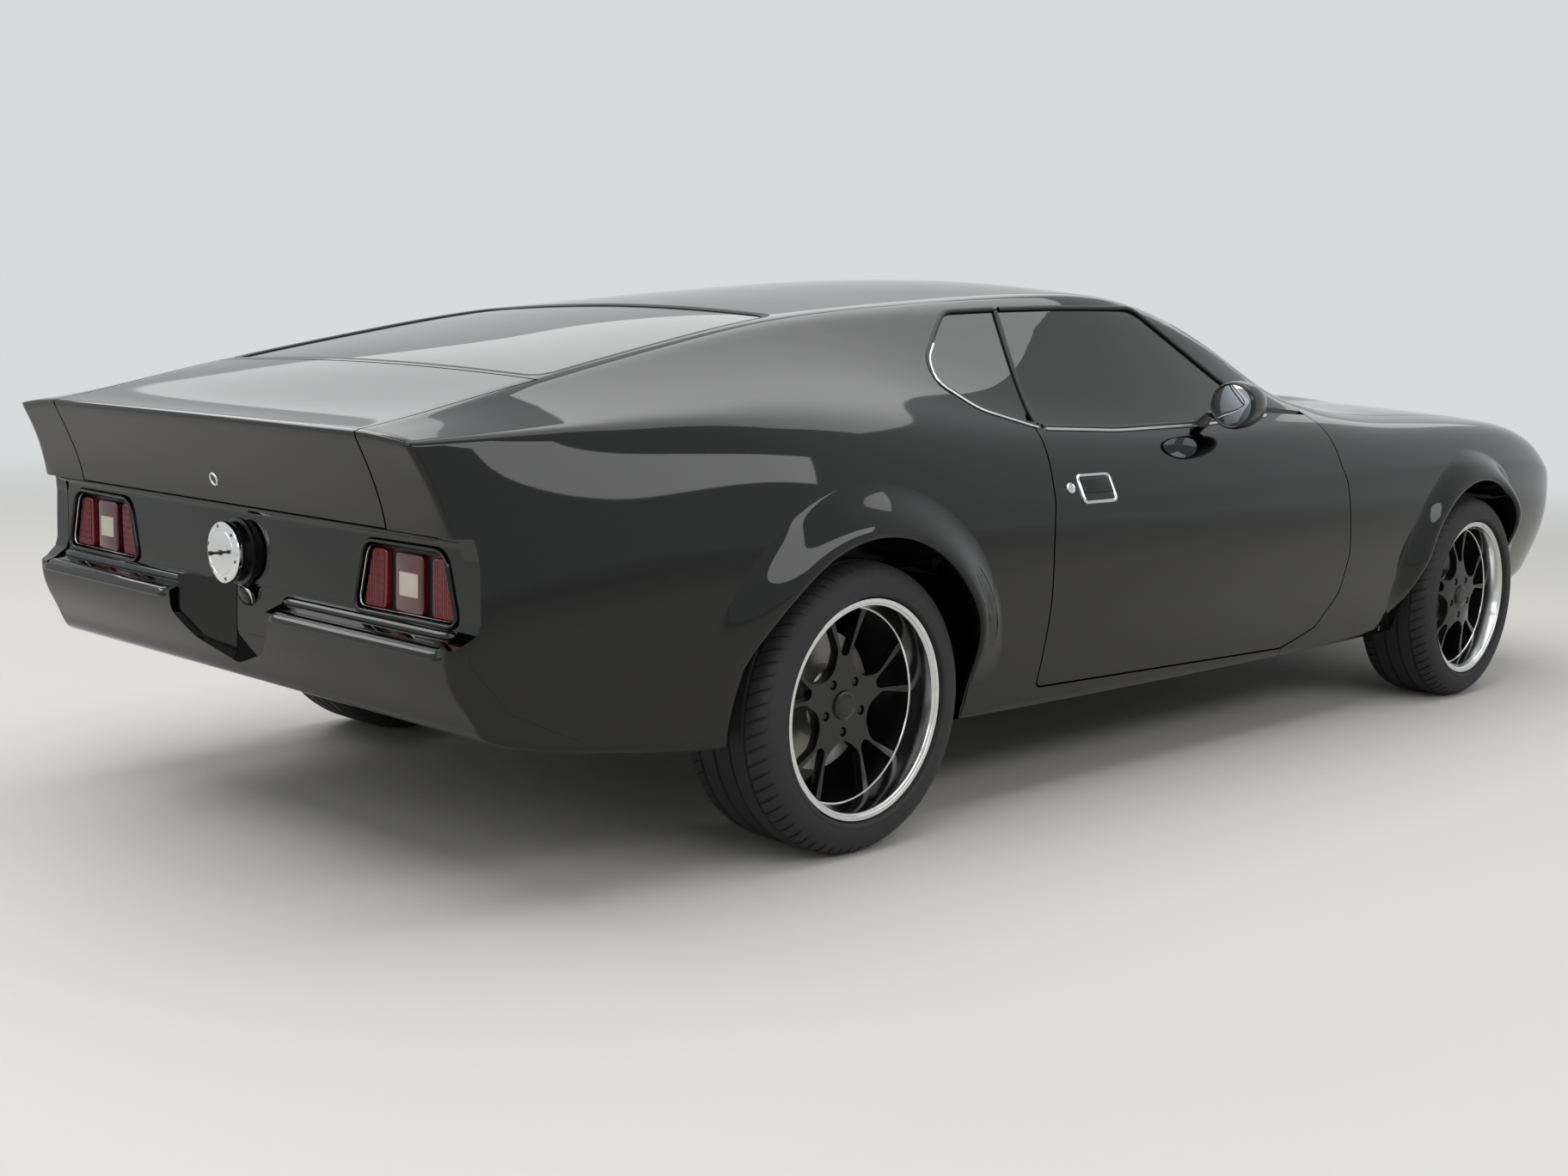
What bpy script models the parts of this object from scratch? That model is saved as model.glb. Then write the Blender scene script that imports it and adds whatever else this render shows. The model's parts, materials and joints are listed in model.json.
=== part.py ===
"""A fastback muscle car with flared arches and split-spoke wheels, in metres.

+X is forward, +Y is the car's left and +Z is up. The origin is on the floor,
at the middle of the length and width. Places along the car are given as axle
shares: -1 is the tail, 0 the rear axle, 1 the front axle and 2 the nose.
"""

import math

import bmesh
import bpy
from mathutils import Matrix, Vector

# Driving sizes of the body
WHEELBASE = 2.769
REAR_OVERHANG = 1.020
FRONT_OVERHANG = 1.020
HALF_WIDTH = 0.930
ROOF_HEIGHT = 1.245
SKIN = 0.018
PANEL_GAP = 0.006
SEAT_GAP = 0.0003
MOVING_GAP = 0.006
OVERRUN = 0.300
SUBDIVISION_LEVEL = 1
FLAT_ANGLE = math.radians(0.5)

# Wheels, tyres and brakes
TYRE_RADIUS = 0.310
TYRE_WIDTH = {"rear": 0.262, "front": 0.236}
FLANGE_Y = {"rear": 0.923, "front": 0.945}
HUB_FACE_INSET = {"rear": 0.064, "front": 0.052}
RIM_WIDTH = {"rear": 0.240, "front": 0.214}
RIM_RADIUS = 0.235
RIM_BEAD_RADIUS = 0.218
BARREL_RADIUS = 0.207
BARREL_WALL = 0.006
FLANGE_WALL = 0.007
SIDEWALL_BULGE = 0.011
SIDEWALL_WIDEST_RATIO = 0.42
SHOULDER_RATIOS = (0.80, 0.7)
TREAD_EDGE_RATIO = 2.2
HUB_RADIUS = 0.074
HUB_DEPTH = 0.040
CAP_RADIUS = 0.034
CAP_HEIGHT = 0.018
CAP_FACE_RATIO = 0.8
SPOKE_COUNT = 5
SPOKE_DEPTH = 0.024
SPOKE_STEP = 0.0015
SPOKE_STEM_WIDTH = 0.046
SPOKE_TIP_WIDTH = 0.026
SPOKE_FORK_RADIUS = 0.118
SPOKE_TIP_ANGLE = math.radians(15.5)
SPOKE_FIRST_TURN_SHARE = 0.25
SPOKE_ROOT_RATIO = 0.6
SPOKE_OVERLAP_RATIO = 0.4
SPOKE_CHAMFER_RATIO = 0.7
SPOKE_DISH = {"rear": -0.002, "front": 0.020}
DISC_RADIUS = 0.150
DISC_THICKNESS = 0.022
DISC_INSET = 0.030
CALIPER_LENGTH = 0.150
CALIPER_HEIGHT = 0.056
CALIPER_WALL = 0.020
CALIPER_ANGLE = math.radians(20)
SPINDLE_RADIUS = 0.026
STEER_AXIS_Y = 0.778
WHEEL_SEGMENTS = 28
HUB_SEGMENTS = 16
ROD_SEGMENTS = 10
POST_RADIUS = 0.022
BRACKET_HEIGHT = 0.056
KNUCKLE_HEIGHT = 0.260

# Wheel openings and flares
ARCH_RADIUS = 0.362
FLARE_WIDTH = 0.075
# Share of the flare's width out from the opening, share of the skin in from the lip.
FLARE_CROWN_RATIOS = ((0.35, 0.333), (0.70, 1.4))
FLARE_TURNS = (math.radians(-3), math.radians(183))
FLARE_Y = {"rear": 0.968, "front": 0.972}
WELL_INNER_Y = {"rear": 0.655, "front": 0.520}
ARCH_SEGMENTS = 24

# Panel seams and openings. Side outlines are (axle share, height share), plan
# outlines of the right half are (axle share, width share).
DOOR_SHARES = (
    (0.244, 0.723), (0.238, 0.667), (0.223, 0.554), (0.223, 0.482), (0.226, 0.387), (0.225, 0.223),
    (0.632, 0.200), (0.690, 0.235), (0.722, 0.310), (0.729, 0.402), (0.717, 0.528), (0.708, 0.586),
    (0.717, 0.643), (0.721, 0.723),
)
SIDE_WINDOW_SHARES = (
    (0.217, 0.914), (0.160, 0.828), (0.151, 0.790), (0.181, 0.742), (0.249, 0.705), (0.361, 0.696),
    (0.506, 0.700), (0.641, 0.712), (0.596, 0.782), (0.548, 0.859), (0.502, 0.934), (0.361, 0.928),
    (0.289, 0.922),
)
GLASS_SPLIT_SHARES = ((0.287, 0.922), (0.249, 0.705))
WINDSHIELD_SHARES = ((0.556, 0.0), (0.536, 0.56), (0.696, 0.70), (0.766, 0.0))
WINDSHIELD_FLOOR_SHARE = 0.70
BACKLIGHT_FLOOR_SHARE = 0.72
BACKLIGHT_SHARES = ((0.0445, 0.0), (0.0415, 0.565), (-0.590, 0.629), (-0.590, 0.0))
LID_PLAN_SHARES = ((-0.602, 0.0), (-0.602, 0.640), (-1.120, 0.632), (-1.120, 0.0))
LID_SIDE_SHARES = (
    (-0.500, 0.900), (-1.150, 0.900), (-1.150, 0.574), (-0.833, 0.574), (-0.833, 0.643), (-0.500, 0.700),
)
HOOD_SHARES = ((0.791, 0.0), (0.778, 0.40), (0.740, 0.774), (1.677, 0.715), (1.780, 0.50), (1.820, 0.0))
HOOD_FLOOR_SHARE = 0.560
NOSE_SHARE = 1.736
BELLY_SHARES = (
    (-0.820, -0.100), (1.730, -0.100), (1.730, 0.300), (1.420, 0.275), (1.045, 0.275), (1.020, 0.385),
    (0.980, 0.385), (0.955, 0.240), (0.700, 0.240), (0.130, 0.240), (0.030, 0.310), (-0.080, 0.310),
    (-0.820, 0.330),
)
VALANCE_SHARES = (
    (-1.150, 0.440), (-0.912, 0.440), (-0.912, 0.394), (-0.843, 0.321), (-0.686, 0.261), (-0.549, 0.217),
    (-0.529, 0.130), (-1.150, 0.130),
)
REAR_POCKET_SHARES = (
    (-1.150, 0.574), (-0.909, 0.574), (-0.894, 0.562), (-0.894, 0.440), (-0.907, 0.426), (-0.953, 0.411),
    (-1.150, 0.411),
)
REAR_POCKET_HALF_WIDTH = 0.762
REAR_WALL_INNER_SHARES = ((-1.150, 0.580), (-0.855, 0.580), (-0.855, 0.270), (-1.150, 0.270))
LICENCE_SHARES = ((0.205, 0.440), (0.205, 0.378), (0.140, 0.336), (0.0, 0.305))
LICENCE_DEPTH_SHARE = -0.872

# Tail lamps and fuel cap
LAMP_INNER_Y = 0.428
LAMP_OUTER_Y = (0.748, 0.712)
LAMP_TOP_INNER_Y = 0.455
LAMP_Z_SHARES = (0.4402, 0.5494)
LAMP_DEPTH = 0.034
LAMP_RIM = 0.008
LENS_DROP = 0.011
LENS_SPLIT_Y = (0.536, 0.647)
FUEL_CAP_Z_SHARE = 0.4916
FUEL_CAP_RADIUS = 0.064
FUEL_CAP_DEPTH = 0.032
FUEL_CAP_BODY_RATIOS = (0.6, 0.92)
FUEL_CAP_LEVER_RATIOS = (1.5, 0.3, 0.08)

# Glass
GLASS_THICKNESS = 0.005
GLASS_CLEARANCE = 0.004
GLASS_DROP = 0.004
WINDOW_INNER_Y = 0.480

# Doors, hood and lid
DOOR_INNER_Y = 0.775
# The door's edge draws in toward the cabin so that it swings clear: (Y, inset).
DOOR_EDGE_STEPS = ((DOOR_INNER_Y, 0.0090), (0.830, 0.0035), (0.900, 0.0), (HALF_WIDTH + OVERRUN, 0.0))
JAMB_Y = 0.750
JAMB_LIP = 0.006
SILL_TOP_SHARE = 0.237
SILL_SPAN_SHARES = (0.145, 0.755)
FENDER_TOP_Y = 0.735
FENDER_START_SHARE = 0.840
DOOR_STOP_SHARE = 0.560
LID_STOP_Y = 0.300
STOP_SIZE = 0.020
STOP_REACH_RATIO = 1.5
DOOR_HINGE_SHARE = 0.712
DOOR_HINGE_Y = 0.936
DOOR_HINGE_Z_SHARE = 0.400
HOOD_HINGE_SHARES = (0.740, 0.745)
LID_HINGE_SHARES = (-0.602, 0.812)

# Cabin
SEAT_Y = 0.375
SEAT_WIDTH = 0.480
SEAT_SHARE = 0.372
CUSHION_HEIGHT = 0.150
CUSHION_LENGTH = 0.500
BACK_HEIGHT = 0.520
BACK_THICKNESS = 0.110
BACK_FOOT_RATIO = 0.85
HEADREST_RATIOS = (0.9, 0.1)
BACK_RAKE = 0.150
HEADREST_HEIGHT = 0.130
HEADREST_WIDTH = 0.250
REAR_SEAT_SHARES = (
    (0.110, 0.365), (0.240, 0.365), (0.240, 0.420), (0.150, 0.410), (0.085, 0.660), (0.060, 0.660),
    (0.085, 0.365),
)
REAR_SEAT_HALF_WIDTH = 0.600
DASH_SHARES = (
    (0.652, 0.520), (0.640, 0.560), (0.622, 0.600), (0.616, 0.655), (0.640, 0.690), (0.700, 0.690),
    (0.765, 0.640), (0.765, 0.600), (0.700, 0.520),
)
DASH_HALF_WIDTH = 0.700
WHEEL_RADIUS = 0.185
WHEEL_GRIP_RADIUS = 0.014
WHEEL_ARM_RATIO = 0.6
WHEEL_BOSS_RATIO = 1.6
WHEEL_RIM_STEPS = 16
WHEEL_GRIP_STEPS = 5
WHEEL_ARM_STEPS = 6
WHEEL_SHARE = 0.545
WHEEL_Z_SHARE = 0.6145
WHEEL_Y = 0.360
COLUMN_RADIUS = 0.026
COLUMN_RAKE = math.radians(22)
COLUMN_END_SHARE = 0.657

# Floor and running gear
FLOOR_THICKNESS = 0.012
CABIN_FLOOR_ROW = 6
TOE_BOARD_ROW = 8
TUNNEL_SPAN_SHARES = (0.190, 0.764)
TUNNEL_HOLLOW_SHARES = (0.150, 0.800)
FLOOR_FLANGE_RATIOS = (0.1, 0.9)
FLOOR_SHARES = (
    (-0.780, 0.330), (-0.150, 0.330), (-0.020, 0.365), (0.110, 0.365), (0.170, 0.350), (0.200, 0.222),
    (0.725, 0.222), (0.765, 0.290), (0.765, 0.660),
)
FLOOR_HALF_WIDTH = {"cabin": JAMB_Y - SEAT_GAP, "rear": 0.630}
CABIN_FLOOR_SHARES = (0.205, 0.722)
TUNNEL_HALF_WIDTH = (0.128, 0.094)
TUNNEL_TOP_SHARE = 0.330
TANK_SHARES = ((-0.620, 0.265), (-0.250, 0.265))
TANK_HALF_WIDTH = 0.380
TANK_BEVEL = 0.030
ENGINE_SHARES = (0.830, 1.060)
ENGINE_HALF_WIDTH = 0.250
ENGINE_TOP_SHARE = 0.610
ENGINE_BEVEL_RATIO = 0.1
GEARBOX_SHARE = 0.600
GEARBOX_RADIUS = 0.085
GEARBOX_Z = 0.300
SHAFT_RADIUS = 0.035
AXLE_TUBE_RADIUS = 0.038
DIFF_CLEARANCE = 0.0194
AXLE_FLOOR_ROW = 2
DIFF_HALF_WIDTH = 0.100
DIFF_FACE_RATIO = 0.6
DIFF_BAND_RATIO = 0.4
SPRING_Y = 0.550
SPRING_WIDTH = 0.060
SPRING_THICKNESS = 0.022
SPRING_SHARES = ((-0.600, 0.262), (-0.300, 0.205), (0.000, 0.195), (0.110, 0.200), (0.165, 0.212))
# Columns: place along the car, the spring's height there and the height of what carries it.
SHACKLE_SHARES = ((-0.590, 0.259, 0.330), (0.085, 0.198, 0.365))
SUBFRAME_SHARES = (0.955, 1.045)
SUBFRAME_Z = (0.165, 0.235)
SUBFRAME_HALF_WIDTH = 0.500
RAIL_Y = 0.420
RAIL_WIDTH = 0.070
RAIL_HEIGHT = 0.090
RAIL_FRONT_SHARE = 1.640
HOOD_STOP_Y = 0.300
RADIATOR_SHARE = 1.500
RADIATOR_DEPTH = 0.050
RADIATOR_HEIGHT_SHARE = 0.321
ARM_RADIUS = 0.018
ARM_Z = {"lower": 0.195, "upper": 0.425}
EXHAUST_RADIUS = 0.030
EXHAUST_Y = 0.240
EXHAUST_CLEARANCE = 0.025
MUFFLER_RADIUS = 0.066
MUFFLER_SHARES = (0.260, 0.420)
EXHAUST_SHARES = (-0.300, 0.880)
HANGER_SHARE = -0.270
FRONT_HANGER_SHARE = 0.540
EXHAUST_BRIDGE_SHARE = 0.500

# Front end
GRILLE_SHARES = ((0.50, 0.395), (0.58, 0.430), (0.58, 0.530), (0.56, 0.560))
GRILLE_DEPTH = 0.060
GRILLE_BACK_SHARE = 1.880
GRILLE_BAR = 0.012
GRILLE_COLUMN_INSET = 0.018
GRILLE_BARS = 5
GRILLE_COLUMNS = 3
HEADLAMP_Y = 0.655
HEADLAMP_Z_SHARE = 0.478
HEADLAMP_RADIUS = 0.082
HEADLAMP_DEPTH = 0.070
LAMP_BOWL_DEPTH_RATIO = 0.3
LAMP_BOWL_RATIO = 0.88
LAMP_SEGMENTS = 16
HEADLAMP_X_SHARE = 1.880

# Mirrors and door handles
MIRROR_SHARE = 0.515
MIRROR_Y = 0.905
MIRROR_Z_SHARE = 0.751
MIRROR_RADIUS = 0.062
MIRROR_LENGTH = 0.150
# Head profile from the glass to the nose: share of the radius, share of the length.
MIRROR_PROFILE = ((0, -0.30), (0.80, -0.30), (0.98, -0.22), (1, 0.05), (0.86, 0.40), (0.50, 0.66), (0, 0.75))
MIRROR_NECK_RATIO = 1.5
MIRROR_PEDESTAL = (0.050, 0.016)
MIRROR_FOOT_Y = 0.822
MIRROR_FOOT_Z_SHARE = 0.675
HANDLE_SHARES = ((0.263, 0.619), (0.313, 0.562))
HANDLE_PROUD = 0.008
HANDLE_DEPTH = 0.016


def along(share):
    """The X of an axle share."""
    if share < 0:
        return REAR_AXLE_X + share * REAR_OVERHANG
    if share <= 1:
        return REAR_AXLE_X + share * WHEELBASE
    return FRONT_AXLE_X + (share - 1) * FRONT_OVERHANG


def across(share):
    return share * HALF_WIDTH


def height(share):
    return share * ROOF_HEIGHT


LENGTH = REAR_OVERHANG + WHEELBASE + FRONT_OVERHANG
REAR_AXLE_X = REAR_OVERHANG - LENGTH / 2
FRONT_AXLE_X = REAR_AXLE_X + WHEELBASE
AXLE_X = {"rear": REAR_AXLE_X, "front": FRONT_AXLE_X}

# One row for each station of the right half of the body. Columns: axle share,
# bow of the middle ahead of the side as a share of the wheelbase, middle height,
# then share pairs (across, up) for rail, glass base, belt, hip, crease and sill.
STATION_SHARES = (
    (-1.003, 0.000, 0.721, (0.645, 0.719), (0.745, 0.715), (0.809, 0.709),
     (0.823, 0.640), (0.849, 0.560), (0.849, 0.297)),
    (-0.895, 0.000, 0.727, (0.655, 0.735), (0.750, 0.729), (0.832, 0.716),
     (0.858, 0.655), (0.885, 0.562), (0.892, 0.273)),
    (-0.608, 0.000, 0.809, (0.648, 0.791), (0.773, 0.757), (0.880, 0.730),
     (0.922, 0.665), (0.962, 0.564), (0.932, 0.235)),
    (-0.245, 0.000, 0.865, (0.625, 0.849), (0.780, 0.793), (0.925, 0.747),
     (0.972, 0.675), (0.998, 0.566), (0.950, 0.205)),
    (0.036, 0.000, 0.917, (0.608, 0.901), (0.780, 0.806), (0.915, 0.735),
     (0.966, 0.662), (1.000, 0.564), (0.948, 0.190)),
    (0.217, 0.000, 0.964, (0.618, 0.930), (0.838, 0.728), (0.900, 0.696),
     (0.952, 0.640), (1.000, 0.562), (0.944, 0.185)),
    (0.361, 0.000, 0.990, (0.620, 0.953), (0.853, 0.699), (0.908, 0.680),
     (0.955, 0.628), (1.000, 0.562), (0.942, 0.182)),
    (0.520, 0.036, 0.992, (0.602, 0.965), (0.849, 0.700), (0.909, 0.682),
     (0.957, 0.630), (1.002, 0.566), (0.940, 0.180)),
    (0.704, 0.068, 0.727, (0.755, 0.727), (0.812, 0.717), (0.880, 0.697),
     (0.945, 0.645), (1.002, 0.572), (0.938, 0.180)),
    (0.849, 0.040, 0.722, (0.715, 0.699), (0.815, 0.687), (0.895, 0.670),
     (0.955, 0.630), (1.005, 0.577), (0.938, 0.183)),
    (1.000, 0.020, 0.722, (0.710, 0.696), (0.815, 0.684), (0.893, 0.672),
     (0.955, 0.632), (1.005, 0.580), (0.930, 0.195)),
    (1.423, 0.020, 0.700, (0.690, 0.682), (0.805, 0.676), (0.880, 0.664),
     (0.932, 0.625), (0.970, 0.574), (0.912, 0.235)),
    (1.717, 0.036, 0.662, (0.668, 0.652), (0.775, 0.641), (0.845, 0.620),
     (0.885, 0.595), (0.920, 0.548), (0.865, 0.268)),
    (1.886, 0.047, 0.613, (0.645, 0.601), (0.742, 0.592), (0.800, 0.577),
     (0.838, 0.548), (0.852, 0.512), (0.795, 0.275)),
)
# How far each row of the tail and of the nose stands ahead of its end station.
TAIL_SETBACK_SHARES = (0.000, 0.048, 0.076, 0.070, 0.040, 0.120)
NOSE_SETBACK_SHARES = (0.100, 0.060, 0.025, 0.000, 0.005, 0.090)
RAIL_INNER_SHARE = 0.55
RAIL_CROWN_SHARE = 0.30
MID_DROP_SHARE = 0.30
LOW_DROP_SHARE = 0.68
MID_BULGE_SHARE = 1.004
LOW_TUCK_SHARE = 0.30
ROWS = ("belt", "hip", "crease", "mid", "low", "sill")
CREASE_WEIGHT_SHARES = {"belt": 0.35, "crease": 0.45, "sill": 0.55, "rail": 0.60}
TAIL_TOP_WEIGHT_SHARE = 0.9
TAIL_CORNER_WEIGHT_SHARE = 0.7
TAIL_EDGE_WEIGHT_SHARES = (0.8, 0.6, 0.4, 0.2, 0.0)
RAIL_CREASE_SPANS = 8

PAINT = ("black paint", (0.006, 0.006, 0.007), 0.08, 0.0)
TRIM = ("satin black", (0.020, 0.020, 0.022), 0.40, 0.0)
CHROME = ("bright trim", (0.780, 0.780, 0.790), 0.10, 1.0)
GLASS = ("tinted glass", (0.030, 0.032, 0.034), 0.05, 0.0)
RUBBER = ("tyre rubber", (0.022, 0.022, 0.023), 0.75, 0.0)
LENS = ("red lens", (0.420, 0.012, 0.014), 0.15, 0.0)
VINYL = ("black vinyl", (0.030, 0.029, 0.029), 0.55, 0.0)
STEEL = ("dark steel", (0.120, 0.120, 0.125), 0.45, 0.8)
ALUMINIUM = ("polished aluminium", (0.800, 0.800, 0.810), 0.15, 1.0)
LAMP_GLASS = ("lamp glass", (0.700, 0.720, 0.740), 0.05, 0.0)


def clear_scene():
    for item in list(bpy.data.objects):
        bpy.data.objects.remove(item, do_unlink=True)


def material(finish):
    name, colour, roughness, metallic = finish
    found = bpy.data.materials.get(name)
    if found:
        return found
    made = bpy.data.materials.new(name)
    made.use_nodes = True
    shader = made.node_tree.nodes["Principled BSDF"]
    shader.inputs["Base Color"].default_value = (*colour, 1)
    shader.inputs["Roughness"].default_value = roughness
    shader.inputs["Metallic"].default_value = metallic
    return made


def new_object(name, mesh, finish=None):
    made = bpy.data.objects.new(name, mesh)
    bpy.context.scene.collection.objects.link(made)
    if finish:
        mesh.materials.clear()
        mesh.materials.append(material(finish))
    return made


def from_bmesh(name, shape, finish=None):
    bmesh.ops.recalc_face_normals(shape, faces=shape.faces)
    mesh = bpy.data.meshes.new(name)
    shape.to_mesh(mesh)
    shape.free()
    return new_object(name, mesh, finish)


def evaluated_mesh(item):
    graph = bpy.context.evaluated_depsgraph_get()
    return bpy.data.meshes.new_from_object(item.evaluated_get(graph))


def duplicate(item, name):
    made = new_object(name, item.data.copy())
    made.matrix_world = item.matrix_world.copy()
    return made


def drop(*items):
    for item in items:
        bpy.data.objects.remove(item, do_unlink=True)


def boolean(target, other, operation, keep=False, solver="EXACT"):
    step = target.modifiers.new(operation.lower(), "BOOLEAN")
    step.operation = operation
    step.solver = solver
    step.object = other
    mesh = evaluated_mesh(target)
    target.modifiers.clear()
    target.data = mesh
    if not keep:
        drop(other)
    return target


def cut(target, other, keep=False, solver="EXACT"):
    return boolean(target, other, "DIFFERENCE", keep, solver)


def join(target, *others, solver="EXACT"):
    for other in others:
        boolean(target, other, "UNION", solver=solver)
    return target


def common(target, other, keep=False, solver="EXACT"):
    return boolean(target, other, "INTERSECT", keep, solver)


def finish_object(item, name, finish, smooth_angle=math.radians(35)):
    item.name = name
    item.data.name = name
    shape = bmesh.new()
    shape.from_mesh(item.data)
    bmesh.ops.remove_doubles(shape, verts=shape.verts, dist=1e-5)
    bmesh.ops.dissolve_degenerate(shape, edges=shape.edges, dist=1e-5)
    bmesh.ops.dissolve_limit(shape, angle_limit=FLAT_ANGLE, verts=shape.verts, edges=shape.edges)
    shape.to_mesh(item.data)
    shape.free()
    item.data.materials.clear()
    item.data.materials.append(material(finish))
    item.data.shade_smooth()
    item.data.set_sharp_from_angle(angle=smooth_angle)
    return item


def mirrored(item, name):
    """A copy on the other side of the centre plane."""
    mesh = item.data.copy()
    mesh.transform(Matrix.Scale(-1, 4, (0, 1, 0)) @ item.matrix_world)
    mesh.flip_normals()
    return new_object(name, mesh)


def set_origin(item, point):
    item.data.transform(Matrix.Translation(-Vector(point)) @ item.matrix_world)
    item.matrix_world = Matrix.Translation(Vector(point))


def box(name, low, high, finish=None, bevel=0.0):
    shape = bmesh.new()
    bmesh.ops.create_cube(shape, size=1)
    size = [b - a for a, b in zip(low, high)]
    middle = [(a + b) / 2 for a, b in zip(low, high)]
    bmesh.ops.scale(shape, vec=size, verts=shape.verts)
    bmesh.ops.translate(shape, vec=middle, verts=shape.verts)
    if bevel:
        bmesh.ops.bevel(shape, geom=shape.edges, offset=bevel, segments=1, affect="EDGES")
    return from_bmesh(name, shape, finish)


def prism(name, outline, axis, low, high, finish=None):
    """A closed outline in the plane across the axis, drawn out from low to high."""
    place = {
        "x": lambda a, b, c: (c, a, b),
        "y": lambda a, b, c: (a, c, b),
        "z": lambda a, b, c: (a, b, c),
    }[axis]
    shape = bmesh.new()
    ends = [[shape.verts.new(place(a, b, c)) for a, b in outline] for c in (low, high)]
    shape.faces.new(ends[0])
    shape.faces.new(ends[1])
    count = len(outline)
    for i in range(count):
        j = (i + 1) % count
        shape.faces.new((ends[0][i], ends[0][j], ends[1][j], ends[1][i]))
    return from_bmesh(name, shape, finish)


def stacked(name, rings):
    """A closed solid through outlines of (x, z), each at its own Y."""
    shape = bmesh.new()
    loops = [[shape.verts.new((x, y, z)) for x, z in outline] for outline, y in rings]
    shape.faces.new(loops[0])
    shape.faces.new(loops[-1])
    count = len(loops[0])
    for first, second in zip(loops, loops[1:]):
        for i in range(count):
            j = (i + 1) % count
            shape.faces.new((first[i], first[j], second[j], second[i]))
    return from_bmesh(name, shape)


def turned(name, profile, centre, segments, finish=None, ring=True):
    """A profile of (radius, y) turned about the line through the centre along Y."""
    shape = bmesh.new()
    rings = []
    for radius, y in profile:
        if radius == 0:
            rings.append([shape.verts.new((centre[0], y, centre[2]))])
            continue
        rings.append([
            shape.verts.new((
                centre[0] + radius * math.cos(math.tau * k / segments),
                y,
                centre[2] + radius * math.sin(math.tau * k / segments),
            ))
            for k in range(segments)
        ])
    pairs = list(zip(rings, rings[1:]))
    if ring:
        pairs.append((rings[-1], rings[0]))
    for first, second in pairs:
        for k in range(segments):
            n = (k + 1) % segments
            corners = [
                first[k % len(first)], first[n % len(first)],
                second[n % len(second)], second[k % len(second)],
            ]
            unique = list(dict.fromkeys(corners))
            if len(unique) > 2:
                shape.faces.new(unique)
    return from_bmesh(name, shape, finish)


def cylinder(name, start, end, radius, segments=20, finish=None, end_radius=None):
    start, end = Vector(start), Vector(end)
    shape = bmesh.new()
    bmesh.ops.create_cone(
        shape, cap_ends=True, segments=segments, radius1=radius,
        radius2=radius if end_radius is None else end_radius, depth=(end - start).length,
    )
    turn = (end - start).to_track_quat("Z", "Y").to_matrix().to_4x4()
    bmesh.ops.transform(shape, matrix=Matrix.Translation((start + end) / 2) @ turn, verts=shape.verts)
    return from_bmesh(name, shape, finish)


def arc(centre, radius, start, end, count):
    step = (end - start) / (count - 1)
    return [
        (centre[0] + radius * math.cos(start + step * k), centre[1] + radius * math.sin(start + step * k))
        for k in range(count)
    ]


def grown(outline, distance):
    """The outline moved outward by the distance, with mitred corners."""
    count = len(outline)
    area = sum(
        outline[i][0] * outline[(i + 1) % count][1] - outline[(i + 1) % count][0] * outline[i][1]
        for i in range(count)
    )
    side = 1 if area > 0 else -1
    moved = []
    for i in range(count):
        before = Vector(outline[i - 1])
        here = Vector(outline[i])
        after = Vector(outline[(i + 1) % count])
        first = (here - before).normalized()
        second = (after - here).normalized()
        normal_one = Vector((first.y, -first.x)) * side
        normal_two = Vector((second.y, -second.x)) * side
        mitre = normal_one + normal_two
        mitre = mitre / max(mitre.dot(normal_one), 0.3)
        moved.append(tuple(here + mitre * distance))
    return moved


def both_sides(outline, name, inner, outer):
    """One prism on each side of the centre plane, as one cutter."""
    right = prism(name, outline, "y", -outer, -inner)
    left = prism(name + " left", outline, "y", inner, outer)
    shape = bmesh.new()
    shape.from_mesh(right.data)
    shape.from_mesh(left.data)
    drop(right, left)
    return from_bmesh(name, shape)


def half_rows(station):
    """The right side's (y, z) rows of one station, from belt to sill."""
    belt, hip, crease, sill = station[5:9]
    mid_z = crease[1] + MID_DROP_SHARE * (sill[1] - crease[1])
    low_z = crease[1] + LOW_DROP_SHARE * (sill[1] - crease[1])
    mid = (max(crease[0], sill[0]) * MID_BULGE_SHARE, mid_z)
    low = (crease[0] + LOW_TUCK_SHARE * (sill[0] - crease[0]), low_z)
    return (belt, hip, crease, mid, low, sill)


def top_columns(station):
    """The right half of the top, from the centre to the glass base: (y, z)."""
    middle, rail, base = station[2:5]
    inner = (rail[0] * RAIL_INNER_SHARE, middle + RAIL_CROWN_SHARE * (rail[1] - middle))
    return ((0, middle), inner, rail, base)


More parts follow.
